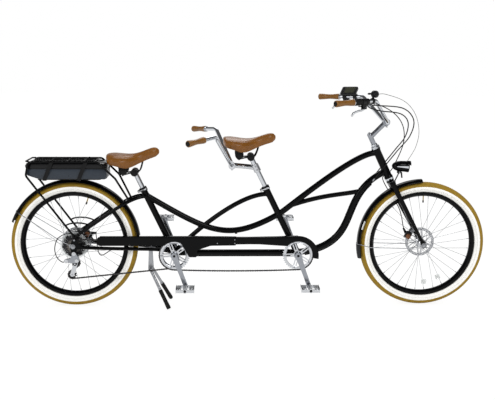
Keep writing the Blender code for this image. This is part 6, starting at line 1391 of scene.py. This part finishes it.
def make_rack():
    """Two bent tubes with rungs between them, the battery's tray, and two leaning straps round it."""
    runs, braces = [], []
    rear, front = BATTERY_REAR + 0.006, BATTERY_REAR + 0.38
    for side in BOTH:
        seat, _ = stay_lines(side)
        stay = seat[np.abs(seat[:, 0] - (REAR_HUB[0] + 0.3)).argmin()]
        rail, foot_y = side * RACK_HALF, side * 0.0793
        runs.append(bent([REAR_HUB + vec(0.01, foot_y, 0.034), REAR_HUB + vec(0.006, foot_y, 0.062),
                          vec(rear, rail, RAIL_HEIGHT - 0.072), vec(rear + 0.016, rail, RAIL_HEIGHT),
                          vec(front, rail, RAIL_HEIGHT), vec(front + 0.09, rail, RAIL_HEIGHT - 0.088),
                          stay], 0.024, 14))
        tip = seat[np.abs(seat[:, 2] - 0.452).argmin()] + vec(0, side * 0.004, 0)
        strut = REAR_HUB + vec(-0.033, side * 0.0805, 0.1155)
        braces.append(bar(curve(strut, vec(0.022, 0, 0.022), vec(-0.026, 0, 0.022), tip, 30), 0.0042, 12))
    right_foot = runs[1][0]
    lug = screw(side_at(right_foot) @ shifted(0, 0.004, 0.004 - right_foot[1]), 0.0052, 0.0035)
    tray = pebble((0.332, 0.12, 0.004), shifted(BATTERY_REAR + 0.225, 0, TRAY_TOP - 0.002), 0.15)
    rung = np.linspace((0, -RACK_HALF, RAIL_HEIGHT + 0.0008), (0, RACK_HALF, RAIL_HEIGHT + 0.0008), 8)
    rungs = [bar(rung + vec(x, 0, 0), 0.0034, 14) for x in (-1.132, -1.045, -0.958, -0.871, -0.812)]
    slat = np.linspace((-1.135, 0, RAIL_HEIGHT + 0.003), (-0.812, 0, RAIL_HEIGHT + 0.003), 8)
    slats = [bar(slat + vec(0, y, 0), 0.003, 12) for y in (-0.03, 0.03)]
    half = [(-1.168, RACK_HALF - 0.012, RAIL_HEIGHT + 0.002), (-1.15, RACK_HALF, RAIL_HEIGHT + 0.001)]
    hoop = bar(bent([(x, -y, z) for x, y, z in half[::-1]] + half, 0.008), 0.0042, 14)
    height = np.array([RAIL_HEIGHT + 0.004, TRAY_TOP + 0.008, TRAY_TOP - 0.004])
    height = np.concatenate([height, height[::-1]])
    y = np.array([-0.0815, -0.0815, -0.074, 0.074, 0.0815, 0.0815])
    lean = np.stack([0.42 * (height - TRAY_TOP), y, height], -1)
    straps = [carry(bent(lean + vec(x, 0, 0), 0.006, 8), ring(20, 0.35) * (0.01, 0.0021), across=AHEAD)
              for x in (BATTERY_REAR + 0.101, BATTERY_REAR + 0.279)]
    piece("rack_tubes_and_tray", "frame", (satin_black, tray, *straps, *rungs, *slats, hoop),
          (black_enamel, *[bar(run, 0.0055, 18) for run in runs], *braces), (zinc, *lug),
          stands_for="rear_rack", slot="black_enamel")


def make_battery():
    """The case's side outlines raised across its width: a lower tub, a lid, a seam, and a pull grip."""
    low, top, length, split, half = 0.0003, 0.0903, 0.425, 0.0573, 0.074
    place = side_at(vec(BATTERY_REAR, 0, TRAY_TOP))
    tub = [(0.004, split), (0.005, low + 0.028), (0.012, low + 0.02), (0.06, low + 0.004), (0.078, low),
           (length - 0.014, low), (length - 0.004, low + 0.004), (length, low + 0.014), (length, split)]
    lid = [(0.004, split + 0.0008), (length, split + 0.0008), (length, top - 0.022),
           (length - 0.004, top - 0.013), (length - 0.016, top - 0.006), (length - 0.055, top),
           (0.022, top), (0.008, top - 0.005), (0, top - 0.018)]
    seam = [(0.006, split - 0.002), (length - 0.002, split - 0.002), (length - 0.002, split + 0.003),
            (0.006, split + 0.003)]
    seam_shell = plate(seam, -0.0722, 0.0722, place, 0.002)
    case = shifted(BATTERY_REAR, 0, TRAY_TOP + low)
    recess = pebble((0.008, 0.088, 0.02), case @ shifted(0.004, 0, 0.054), 0.3)
    grip_line = [(0.002, -0.036, 0.06), (-0.0005, -0.03, 0.062), (-0.0005, 0.03, 0.062),
                 (0.002, 0.036, 0.06)]
    pull = bar(bent(at(case, grip_line), 0.002, 6), 0.0035, 14)
    piece("battery_case", "battery", (battery_grey, plate(tub, -half, half, place, 0.01)),
          (battery_black, plate(lid, -half, half, place, 0.008)), (black_plastic, seam_shell, recess, pull),
          stands_for="battery", slot="battery_plastic")


# Bars, controls, lamp

def bar_line(clamp, rise, end):
    """A handlebar's centre line, right to left: level at the clamp, up to the rise, and back to the end."""
    return mirrored(bent([clamp, clamp + vec(0, 0.05, 0), rise, end], 0.045, 16))


def grip(name, place, length, body, node):
    """A grip: a waisted profile turned about the bar, two sewn rows, a cap with a dark disc, a pale ring."""
    z = np.linspace(0.004, length - 0.005, 40)
    t = (z - z[0]) / (z[-1] - z[0])
    swell = GRIP_RADIUS - 0.0012 + 0.0016 * np.cos(t * 2 * np.pi) + 0.0003 * np.cos(t * 38 * np.pi)
    profile = np.vstack([[(0.0112, z[0])], np.column_stack([swell, z]), [(0.0112, z[-1])]])
    origin, along = at(place, 0, 0, 0), place[:3, 2]
    hide = turned(profile, origin, along, 44, True)
    cap = turned([(0, -0.006), (0.012, -0.0058), (0.0152, -0.0046), (0.0168, -0.0018), (0.017, 0.003),
                  (0.016, 0.005), (0, 0.005)], origin, along, 40)
    disc = turned([(0, -0.0052), (0.0126, -0.0052), (0.0126, -0.0064), (0.0118, -0.0068), (0, -0.0068)],
                  origin, along, 40)
    pale = turned([(0.0112, length - 0.0055), (0.0156, length - 0.0055), (0.0162, length - 0.0045),
                   (0.0162, length - 0.001), (0.0154, length), (0.0112, length)], origin, along, 40, True)
    stitches = np.arange(0.009, length - 0.009, 0.0052)
    one = pebble((0.0011, 0.0016, 0.0036), np.eye(4), 0.7, 6, 8)
    girth = np.interp(stitches, z, swell)
    places = [place @ shifted(r * 0.94, s * 0.0045, h) for h, r in zip(stitches, girth)
              for s in (-0.5, 0.5)]
    piece(name, body, (grip_leather, hide, cap), (black_rubber, disc), (bright_alloy, pale),
          (thread, repeat(one, places)), stands_for=node, slot="brown_leather")


def make_stems():
    """The forward stem and the stoker's stem on the captain's post, with their bars and grips."""
    quill = turned([(0, 0.15), (0.0109, 0.15), (0.0109, 0.205), (0.0126, 0.2056), (0.0135, 0.2075),
                    (0.0135, 0.252), (0.014, 0.257), (0.0138, 0.2625), (0.011, 0.2665), (0, 0.268)],
                   HEAD_BOTTOM, STEER_UP, 40)
    bolt = turned([(0, 0.266), (0.0068, 0.266), (0.0068, 0.2705), (0.0056, 0.2725), (0, 0.2728)],
                  HEAD_BOTTOM, STEER_UP, 24)
    start = HEAD_BOTTOM + STEER_UP * 0.246
    t = np.linspace(0, 1, 24)
    arm = bar(start + (BAR_CLAMP - start) * t[:, None], np.interp(t, [0, 0.5, 1], [0.0136, 0.0128, 0.014]),
              32)
    band = cut_ring(BAR_BORE, 0.0185, -0.0225, 0.0225, 0.0009)
    ahead = unit((BAR_CLAMP - start) * vec(1, 0, 1))
    lug = pebble((0.014, 0.034, 0.01), aim(BAR_CLAMP - UP * 0.02 + ahead * 0.004, UP, AHEAD), 0.35)
    pinch = screws([aim(BAR_CLAMP + vec(0.004, y, -0.0245), -UP, ACROSS) for y in (-0.011, 0.011)], 0.0042,
                   0.004)
    piece("front_stem", "steering",
          (grey_alloy, quill, arm, turned(band, BAR_CLAMP, ACROSS, 44, True), lug), (zinc, bolt, *pinch),
          stands_for="stem", slot="chrome")
    piece("front_bar", "steering", (chrome, bar(bar_line(BAR_CLAMP, BAR_RISE, BAR_END), BAR_RADIUS, 24)),
          stands_for="handlebar", slot="chrome")

    post = CAPTAIN_BRACKET + CAPTAIN_UP * 0.516
    sleeve = turned(cut_ring(POST_RADIUS + 0.0002, 0.0196, -0.021, 0.021), post, CAPTAIN_UP, 44, True)
    run = post + (STOKER_CLAMP - post) * np.linspace(0.05, 1, 20)[:, None]
    arm = bar(run, np.interp(np.linspace(0, 1, 20), [0, 0.4, 1], [0.0128, 0.0108, 0.0122]), 28)
    upper = bar(run[3:18] + vec(0, 0, 0.0105), 0.0052, 16)
    spots = [aim(post + CAPTAIN_UP * z - ACROSS * 0.019, -ACROSS, UP) for z in (-0.01, 0.01)]
    lug = pebble((0.012, 0.03, 0.01), aim(STOKER_CLAMP - UP * 0.02, UP, AHEAD), 0.35)
    piece("stoker_stem_arm", "captain_post",
          (bright_alloy, sleeve, arm, turned(band, STOKER_CLAMP, ACROSS, 44, True), lug),
          (satin_black, upper), (zinc, *screws(spots, 0.0042, 0.004)), stands_for="stoker_stem",
          slot="polished_aluminium")
    piece("stoker_bar", "captain_post",
          (chrome, bar(bar_line(STOKER_CLAMP, STOKER_RISE, STOKER_END), BAR_RADIUS, 24)),
          stands_for="stoker_handlebar", slot="chrome")
    for label, side in (("left", LEFT), ("right", RIGHT)):
        place = bar_place(STOKER_RISE, STOKER_END, side)
        grip(f"stoker_{label}_grip_hide", place, 0.125, "captain_post", f"stoker_{label}_grip")
    grip("left_grip_hide", LEFT_HAND, 0.125, "steering", "left_grip")
    grip("right_grip_hide", RIGHT_HAND, 0.115, "steering", "right_grip")


def clamp_band(place, radius, low, high, cut=0.0005):
    """A ring round the bar, between two distances from the bar's end."""
    return turned(cut_ring(BAR_BORE, radius, low, high, cut), at(place, 0, 0, 0), place[:3, 2], 36, True)


def make_levers():
    """Lever perches, the shifter's pod by the right one, and hooked brake blades with ball ends."""
    for label, place, inward in (("left", LEFT_HAND, 0.163), ("right", RIGHT_HAND, 0.186)):
        band = clamp_band(place, 0.0166, inward - 0.02, inward + 0.002, 0.0008)
        cheeks = [pebble((0.027, 0.0036, 0.025), place @ shifted(0.0245, s * 0.0072, inward - 0.006), 0.3)
                  for s in BOTH]
        root = pebble((0.014, 0.0172, 0.018), place @ shifted(0.017, 0, inward + 0.007), 0.35)
        inlet, outlet = at(place, 0.019, 0, inward + 0.011), at(place, 0.0206, 0, inward + 0.034)
        barrel = turned([(0, 0), (0.0048, 0), (0.0048, 0.012), (0.004, 0.013), (0.004, 0.023), (0, 0.023)],
                        inlet, outlet - inlet, 20)
        d = 0.03
        pin = rod(at(place, d, -0.0092, inward), at(place, d, 0.0092, inward), 0.0024, 16)
        coats = [(black_plastic, band, *cheeks, root), (zinc, barrel, pin)]
        if label == "right":
            pod = turned([(0, -0.006), (0.0105, -0.006), (0.0122, -0.004), (0.0122, 0.02), (0.0112, 0.0238),
                          (0, 0.0238)], at(place, 0, 0.016, 0.2), place[:3, 0], 32)
            coats.append((black_plastic, clamp_band(place, 0.0151, 0.192, 0.208), pod))
        piece(f"{label}_perch_body", "steering", *coats, stands_for=f"{label}_lever_perch",
              slot="black_plastic")
        route = np.array([(0, 0, 0), (0.007, 0, -0.01), (0.012, 0, -0.024), (0.015, 0, -0.048),
                          (0.021, 0, -0.071), (0.033, 0, -0.084)]) + (d, 0, inward)
        run = at(place, through(route, 8))
        t = np.linspace(0, 1, len(run))
        wide = np.interp(t, [0, 0.15, 0.5, 0.9, 1], [0.0066, 0.0066, 0.0058, 0.0062, 0.0034])
        deep = np.interp(t, [0, 0.2, 0.92, 1], [0.0042, 0.0046, 0.0044, 0.002])
        blade = carry(run, np.stack([deep, wide], -1)[:, None] * ring(20, 0.6), across=place[:3, 1])
        ball = pebble((0.0125, 0.01, 0.0125), place @ shifted(d + 0.0335, 0, inward - 0.0845), 0.9, 14, 18)
        eye = cut_ring(0.0029, 0.0075, -0.0044, 0.0044, 0.0005, 0.0006)
        eye = turned(eye, at(place, d, 0, inward), place[:3, 1], 28, True)
        piece(f"{label}_brake_blade", f"{label}_brake_lever", (bright_alloy, blade, ball, eye),
              stands_for=f"{label}_brake_lever", slot="polished_aluminium")


def make_controls():
    """The ribbed throttle, the shifter, the display and the lamp's switch."""
    turn = ring(144)
    wave = np.cos(np.linspace(0, 2 * np.pi, 144, endpoint=False) * 18)
    rib = 0.0168 + 0.0006 * np.sign(wave) * np.abs(wave) ** 0.5
    smooth, end = np.full(144, 0.0172), np.full(144, 0.016)
    rows = ((0.116, end), (0.1165, smooth), (0.1195, smooth), (0.1205, rib), (0.154, rib), (0.155, smooth),
            (0.1592, smooth), (0.16, end), (0.16, np.full(144, 0.0114)), (0.116, np.full(144, 0.0114)))
    sleeve = np.stack([np.column_stack([girth[:, None] * turn, np.full(144, z)]) for z, girth in rows])
    piece("throttle_sleeve", "throttle", (black_rubber, filled(at(RIGHT_HAND, sleeve), True)),
          stands_for="throttle", slot="black_rubber")

    flat = RIGHT_HAND @ shifted(0.024, 0.016, 0.2)
    # The paddle lies square to the bar: the place's first and third directions change over
    flat[:, :3] = flat[:, [2, 1, 0]] * (-1, 1, 1)
    paddle = plate(link((0, 0), (0.004, 0.036), 0.008, 0.0065, 14), 0.0003, 0.0053, flat, 0.0016)
    pads = [pebble((0.0016, 0.009, 0.0018), flat @ shifted(x, 0.033, 0.0053), 0.5, 6, 10)
            for x in (0.0, 0.0035, 0.007)]
    piece("shift_paddle", "shift_lever", (black_plastic, paddle, *pads), stands_for="shift_lever",
          slot="black_plastic")

    band = clamp_band(LEFT_HAND, 0.0161, 0.206, 0.226)
    tilt = LEFT_HAND @ shifted(-0.031, -0.012, 0.184) @ spun(40)
    case = pebble((0.016, 0.058, 0.092), tilt, 0.16, 26, 36)
    screen = pebble((0.002, 0.046, 0.056), tilt @ shifted(-0.0078, 0, 0.006), 0.14, 10, 24)
    keys = [pebble((0.003, 0.01, 0.007), tilt @ shifted(-0.008, y, -0.034), 0.5, 8, 16)
            for y in (-0.015, 0, 0.015)]
    neck = rod(at(LEFT_HAND, -0.012, 0, 0.216), at(LEFT_HAND, -0.03, -0.01, 0.208), 0.007, 24)
    piece("display_case", "steering", (black_plastic, band, case, neck), (smoked_glass, screen),
          (black_rubber, *keys), stands_for="display", slot="black_plastic")

    place = RIGHT_HAND @ shifted(-0.033, 0.004, 0.2575)
    middle = at(place, 0, 0, 0)
    pod = turned([(0, -0.016), (0.0115, -0.0155), (0.0168, -0.0105), (0.0185, -0.005), (0.0185, 0.01),
                  (0.0172, 0.0128), (0.014, 0.015), (0, 0.015)], middle, place[:3, 1], 44)
    neck = rod(at(RIGHT_HAND, -0.013, 0, 0.2375), middle, 0.0055, 20)
    stalk = rod(middle, at(place, -0.004, 0, -0.034), 0.0034, 18)
    tip = pebble((0.01, 0.016, 0.021), place @ shifted(-0.004, 0, -0.037), 0.75, 14, 20)
    piece("lamp_switch_pod", "steering",
          (black_plastic, clamp_band(RIGHT_HAND, 0.0151, 0.2315, 0.2435), pod, neck, stalk, tip),
          stands_for="light_switch", slot="black_plastic")


def make_lamp():
    """A bullet lamp turned about its beam, with a bowl, a lens, a visor, and a strap to the crown.

    Chrome wedges lie on its sides: bands of the shell's own radius that widen towards the lens.
    """
    place = aim(LAMP, vec(1, 0, -0.05), UP)
    shell = [(0.0268, 0.0435), (0.0295, 0.045), (0.031, 0.0445), (0.0312, 0.04), (0.0306, 0.0352),
             (0.0296, 0.033), (0.0292, 0.02), (0.0284, 0.0), (0.0262, -0.015), (0.0218, -0.027),
             (0.016, -0.036), (0.009, -0.042), (0, -0.0448)]
    bowl = [(0.0272, 0.0432), (0.027, 0.042), (0.0225, 0.03), (0.014, 0.022), (0.005, 0.02), (0, 0.02),
            (0, 0.019), (0.0272, 0.0405)]
    glass = [(0, 0.0438), (0.0268, 0.0424), (0.0272, 0.0432), (0.02, 0.0452), (0.01, 0.046), (0, 0.0462)]
    bulb = [(0, 0.02), (0.004, 0.0205), (0.0046, 0.026), (0.0036, 0.031), (0, 0.033)]
    hoop = [(0.0268, 0.0425), (0.03, 0.043), (0.0312, 0.0442), (0.0308, 0.0458), (0.029, 0.0462),
            (0.0268, 0.0455)]
    body, dish, lens = (turned(profile, LAMP, place[:3, 2], 56) for profile in (shell, bowl, glass))
    bulb = turned(bulb, LAMP, place[:3, 2], 20)
    rim = turned(hoop, LAMP, place[:3, 2], 56, True)

    def at_angles(radius, degrees, z):
        """A row of points round the beam."""
        turn = np.radians(degrees)
        return np.stack([radius * np.cos(turn), radius * np.sin(turn), np.full(len(turn), z)], -1)

    edge = ((0.031, 0.036), (0.0312, 0.048), (0.0314, 0.0545), (0.0302, 0.0545), (0.03, 0.048),
            (0.0298, 0.036))
    visor = filled(at(place, np.stack([at_angles(r, np.linspace(-70, 70, 30), z) for r, z in edge], 1)))
    base = pebble((0.024, 0.02, 0.014), shifted(*(LAMP + vec(-0.004, 0, -0.032))), 0.6)
    beam = np.linspace(-0.02, 0.044, 20)
    radius, height = np.array(shell[::-1]).T
    strips = []
    for side in BOTH:
        rows = []
        for z, r, half in zip(beam, np.interp(beam, height, radius), np.linspace(0.3, 1, 20) * 12):
            out = np.linspace(90 - half, 90 + half, 8)
            rows.append(at_angles(np.repeat([r + 0.001, r - 0.001], 8), side * np.append(out, out[::-1]),
                                  z))
        strips.append(filled(at(place, np.stack(rows))))
    lever = rod(LAMP + vec(0.006, -0.01, -0.03), LAMP + vec(0.01, -0.012, -0.062), 0.0042, 16, 0.002)
    foot = HEAD_BOTTOM - STEER_UP * 0.0265 + STEER_AHEAD * 0.0193
    line = bent([foot - STEER_UP * 0.0105, foot - STEER_UP * 0.003, LAMP + vec(-0.002, 0, -0.03)], 0.004, 8)
    strap = carry(line, ring(20, 0.4) * (0.0088, 0.0017), across=ACROSS)
    bolts = [*screw(aim(foot - STEER_UP * 0.006 + STEER_AHEAD * 0.0015, STEER_AHEAD, ACROSS), 0.0042, 0.004),
             *screw(aim(LAMP + vec(-0.004, -0.0118, -0.031), -ACROSS, UP), 0.004, 0.003)]
    piece("bullet_lamp", "steering", (black_enamel, body, rim, visor), (satin_black, strap, base, lever),
          (chrome, dish, bulb, *strips), (lamp_glass, lens), (zinc, *bolts), stands_for="headlight",
          slot="black_enamel")


# Seats

def saddle_rows(u):
    """Half width, crown height and skirt depth of a saddle at shares u of its length, rear to nose."""
    spread = 1 / (1 + np.exp((u - 0.5) * 13))
    rear = np.sqrt(np.clip(1 - (1 - np.minimum(1, u / 0.16)) ** 2, 0, 1))
    nose = np.sqrt(np.clip(1 - np.maximum(0, (u - 0.86) / 0.14) ** 2, 0, 1))
    half = (0.026 + 0.0865 * spread) * (0.55 + 0.45 * rear) * (0.12 + 0.88 * nose)
    crown = 0.01 * np.cos(2 * np.pi * u) + 0.012 * u - 0.011 * (1 - nose)
    skirt = (0.045 + 0.014 * np.exp(-((u - 0.36) / 0.2) ** 2)) * (0.74 + 0.26 * rear) * (0.55 + 0.45 * nose)
    return half, crown, skirt


def make_saddle(rider, seat, body):
    """The hide: control points across each row on a closed Catmull-Rom curve; end rows shrink.

    A sewn seam sinks along the top's edge, and piping follows the skirt's hem.
    """
    ends, length = 6, 0.268
    u = np.concatenate([np.zeros(ends), np.linspace(0, 1, 70)[1:-1], np.ones(ends)])
    half, crown, skirt = saddle_rows(u)
    share = np.array([0, 0.24, 0.45, 0.66, 0.82, 0.93, 0.985, 1.0, 0.985, 0.94, 0.88, 0.62, 0.3])
    fall = np.array([(-0.0042, 0), (-0.004, 0), (-0.003, 0), (0.001, 0), (0.0072, 0), (0.014, 0),
                     (0.0225, 0), (0.013, 0.28), (0.008, 0.6), (0.002, 0.86), (0, 1), (-0.006, 1),
                     (0.034, 0)])
    height = crown - fall @ np.stack([np.minimum(1, skirt / 0.046), skirt])
    drawn_in = np.isin(np.arange(len(share)), (8, 9, 10))[:, None]
    y = share[:, None] * half * (1 - 0.035 * np.sin(3 * np.pi * u) ** 2 * drawn_in)
    control = np.stack([np.vstack([y, -y[:0:-1]]).T, np.vstack([height, height[:0:-1]]).T], -1)
    corners = [np.roll(control, 1 - k, 1)[:, :, None] for k in range(4)]
    smooth = spline(*corners, np.linspace(0, 1, 5, endpoint=False)[:, None]).reshape(len(u), -1, 2)
    seam = np.abs(np.abs(smooth[..., 0]) / np.maximum(half[:, None], 1e-4) - 0.8) < 0.018
    smooth[..., 1] -= 0.0009 * (seam & (smooth[..., 1] > (crown - 0.02)[:, None]))
    turn = np.linspace(0.03, np.pi / 2, ends + 1)[:-1]
    plain = np.zeros(len(u) - 2 * ends)
    shrink = np.concatenate([np.sin(turn), plain + 1, np.sin(turn[::-1])])
    out = 0.006 * np.concatenate([-np.cos(turn), plain, np.cos(turn[::-1])])
    centre = np.stack([np.zeros_like(u), crown - 0.4 * skirt], -1)[:, None]
    smooth = centre + (smooth - centre) * shrink[:, None, None]
    x = np.broadcast_to(((u - 0.5) * length + out)[:, None, None], (*smooth.shape[:2], 1))
    points = np.concatenate([x, smooth], -1)
    rows = points[8:72]
    hem = np.vstack([rows[:, 50], rows[::-1, -50]])
    one = pebble((0.0036, 0.0013, 0.0013), np.eye(4), 0.7, 6, 8)
    stitches = []
    for column in (22, -22):
        line = rows[:, column]
        ahead = unit(np.gradient(line, axis=0))
        aside = unit(np.cross(UP, ahead))
        above = np.cross(ahead, aside)
        stitches.append(repeat(one, seat @ placed(ahead, aside, above, line + above * 0.0006)))
    obj = piece(f"{rider}_saddle_hide", body,
                (saddle_leather, filled(at(seat, points)), bar(at(seat, hem), 0.0019, 10, closed=True)),
                (thread, *stitches), stands_for=f"{rider}_saddle", slot="brown_leather", crease=60)


def make_seats():
    """Posts, saddle clamps, rails and the pairs of rubber springs under the hides."""
    for rider, centre, up, length, reach, tilt in (
            ("captain", CAPTAIN_BRACKET, CAPTAIN_UP, CAPTAIN_SEAT_TUBE, 0.583, 3),
            ("stoker", STOKER_BRACKET, STOKER_UP, STOKER_SEAT_TUBE, 0.488, 6)):
        clamp = centre + up * reach
        seat = shifted(*(clamp + vec(-0.008, 0, 0.097)))
        c, s = np.cos(np.radians(tilt)), np.sin(np.radians(tilt))
        seat[:3, :3] = np.array([[c, 0, -s], [0, 1, 0], [s, 0, c]])
        body = f"{rider}_post"
        x, _, z, _ = np.linalg.inv(seat) @ np.append(clamp, 1)
        post = rod(centre + up * (length - 0.17), clamp, POST_RADIUS, 36)
        knuckle = turned([(0, -0.034), (0.018, -0.034), (0.02, -0.032), (0.02, -0.012), (0.0175, -0.01),
                          (0.0175, 0.01), (0.02, 0.012), (0.02, 0.032), (0.018, 0.034), (0, 0.034)], clamp,
                         ACROSS, 36)
        cap = [(0, 0), (0.0085, 0), (0.0092, 0.0015), (0.0088, 0.005), (0, 0.0058)]
        caps = [turned(cap, clamp + ACROSS * side * 0.0338, side * ACROSS, 6) for side in BOTH]
        t = np.linspace(0, 1, 26)
        bulge = 0.023 * np.sqrt(1 - 0.8 * np.abs(2 * t - 1) ** 3)
        bulge -= 0.0018 * np.exp(-((t - 0.55) / 0.06) ** 2)
        profile = np.vstack([[(0, -0.1)], np.column_stack([bulge, -0.1 + 0.06 * t]), [(0, -0.04)]])
        rails, springs = [], []
        for side in BOTH:
            route = [(-0.058, 0.05, -0.1), (-0.044, 0.04, z - 0.002), (-0.024, 0.03, z), (x, 0.0235, z),
                     (0.026, 0.02, z + 0.007), (0.044, 0.016, -0.052), (0.052, 0.012, -0.02)]
            rails.append(bar(at(seat, through(np.multiply(route, (1, side, 1)), 10)), 0.0038, 14))
            springs.append(turned(profile, at(seat, -0.058, side * 0.05, 0), seat[:3, 2], 32))
        under = through([(-0.058, -0.066, -0.1), (-0.062, -0.05, -0.102), (-0.068, 0, -0.102),
                         (-0.062, 0.05, -0.102), (-0.058, 0.066, -0.1)], 10)
        piece(f"{rider}_post_and_rails", body, (chrome, post),
              (satin_black, knuckle, *caps, *rails, bar(at(seat, under), 0.0042, 14)),
              (black_rubber, *springs), stands_for=f"{rider}_seatpost", slot="chrome")
        make_saddle(rider, seat, body)


make_camera()
make_cables()
make_light()
make_floor()
make_frame()
make_stays()
make_stand()
make_wheels()
make_chains()
make_cassette()
make_cranks()
make_guard()
make_derailleur()
make_calipers()
make_fork()
make_fenders()
make_rack()
make_battery()
make_stems()
make_levers()
make_controls()
make_lamp()
make_seats()
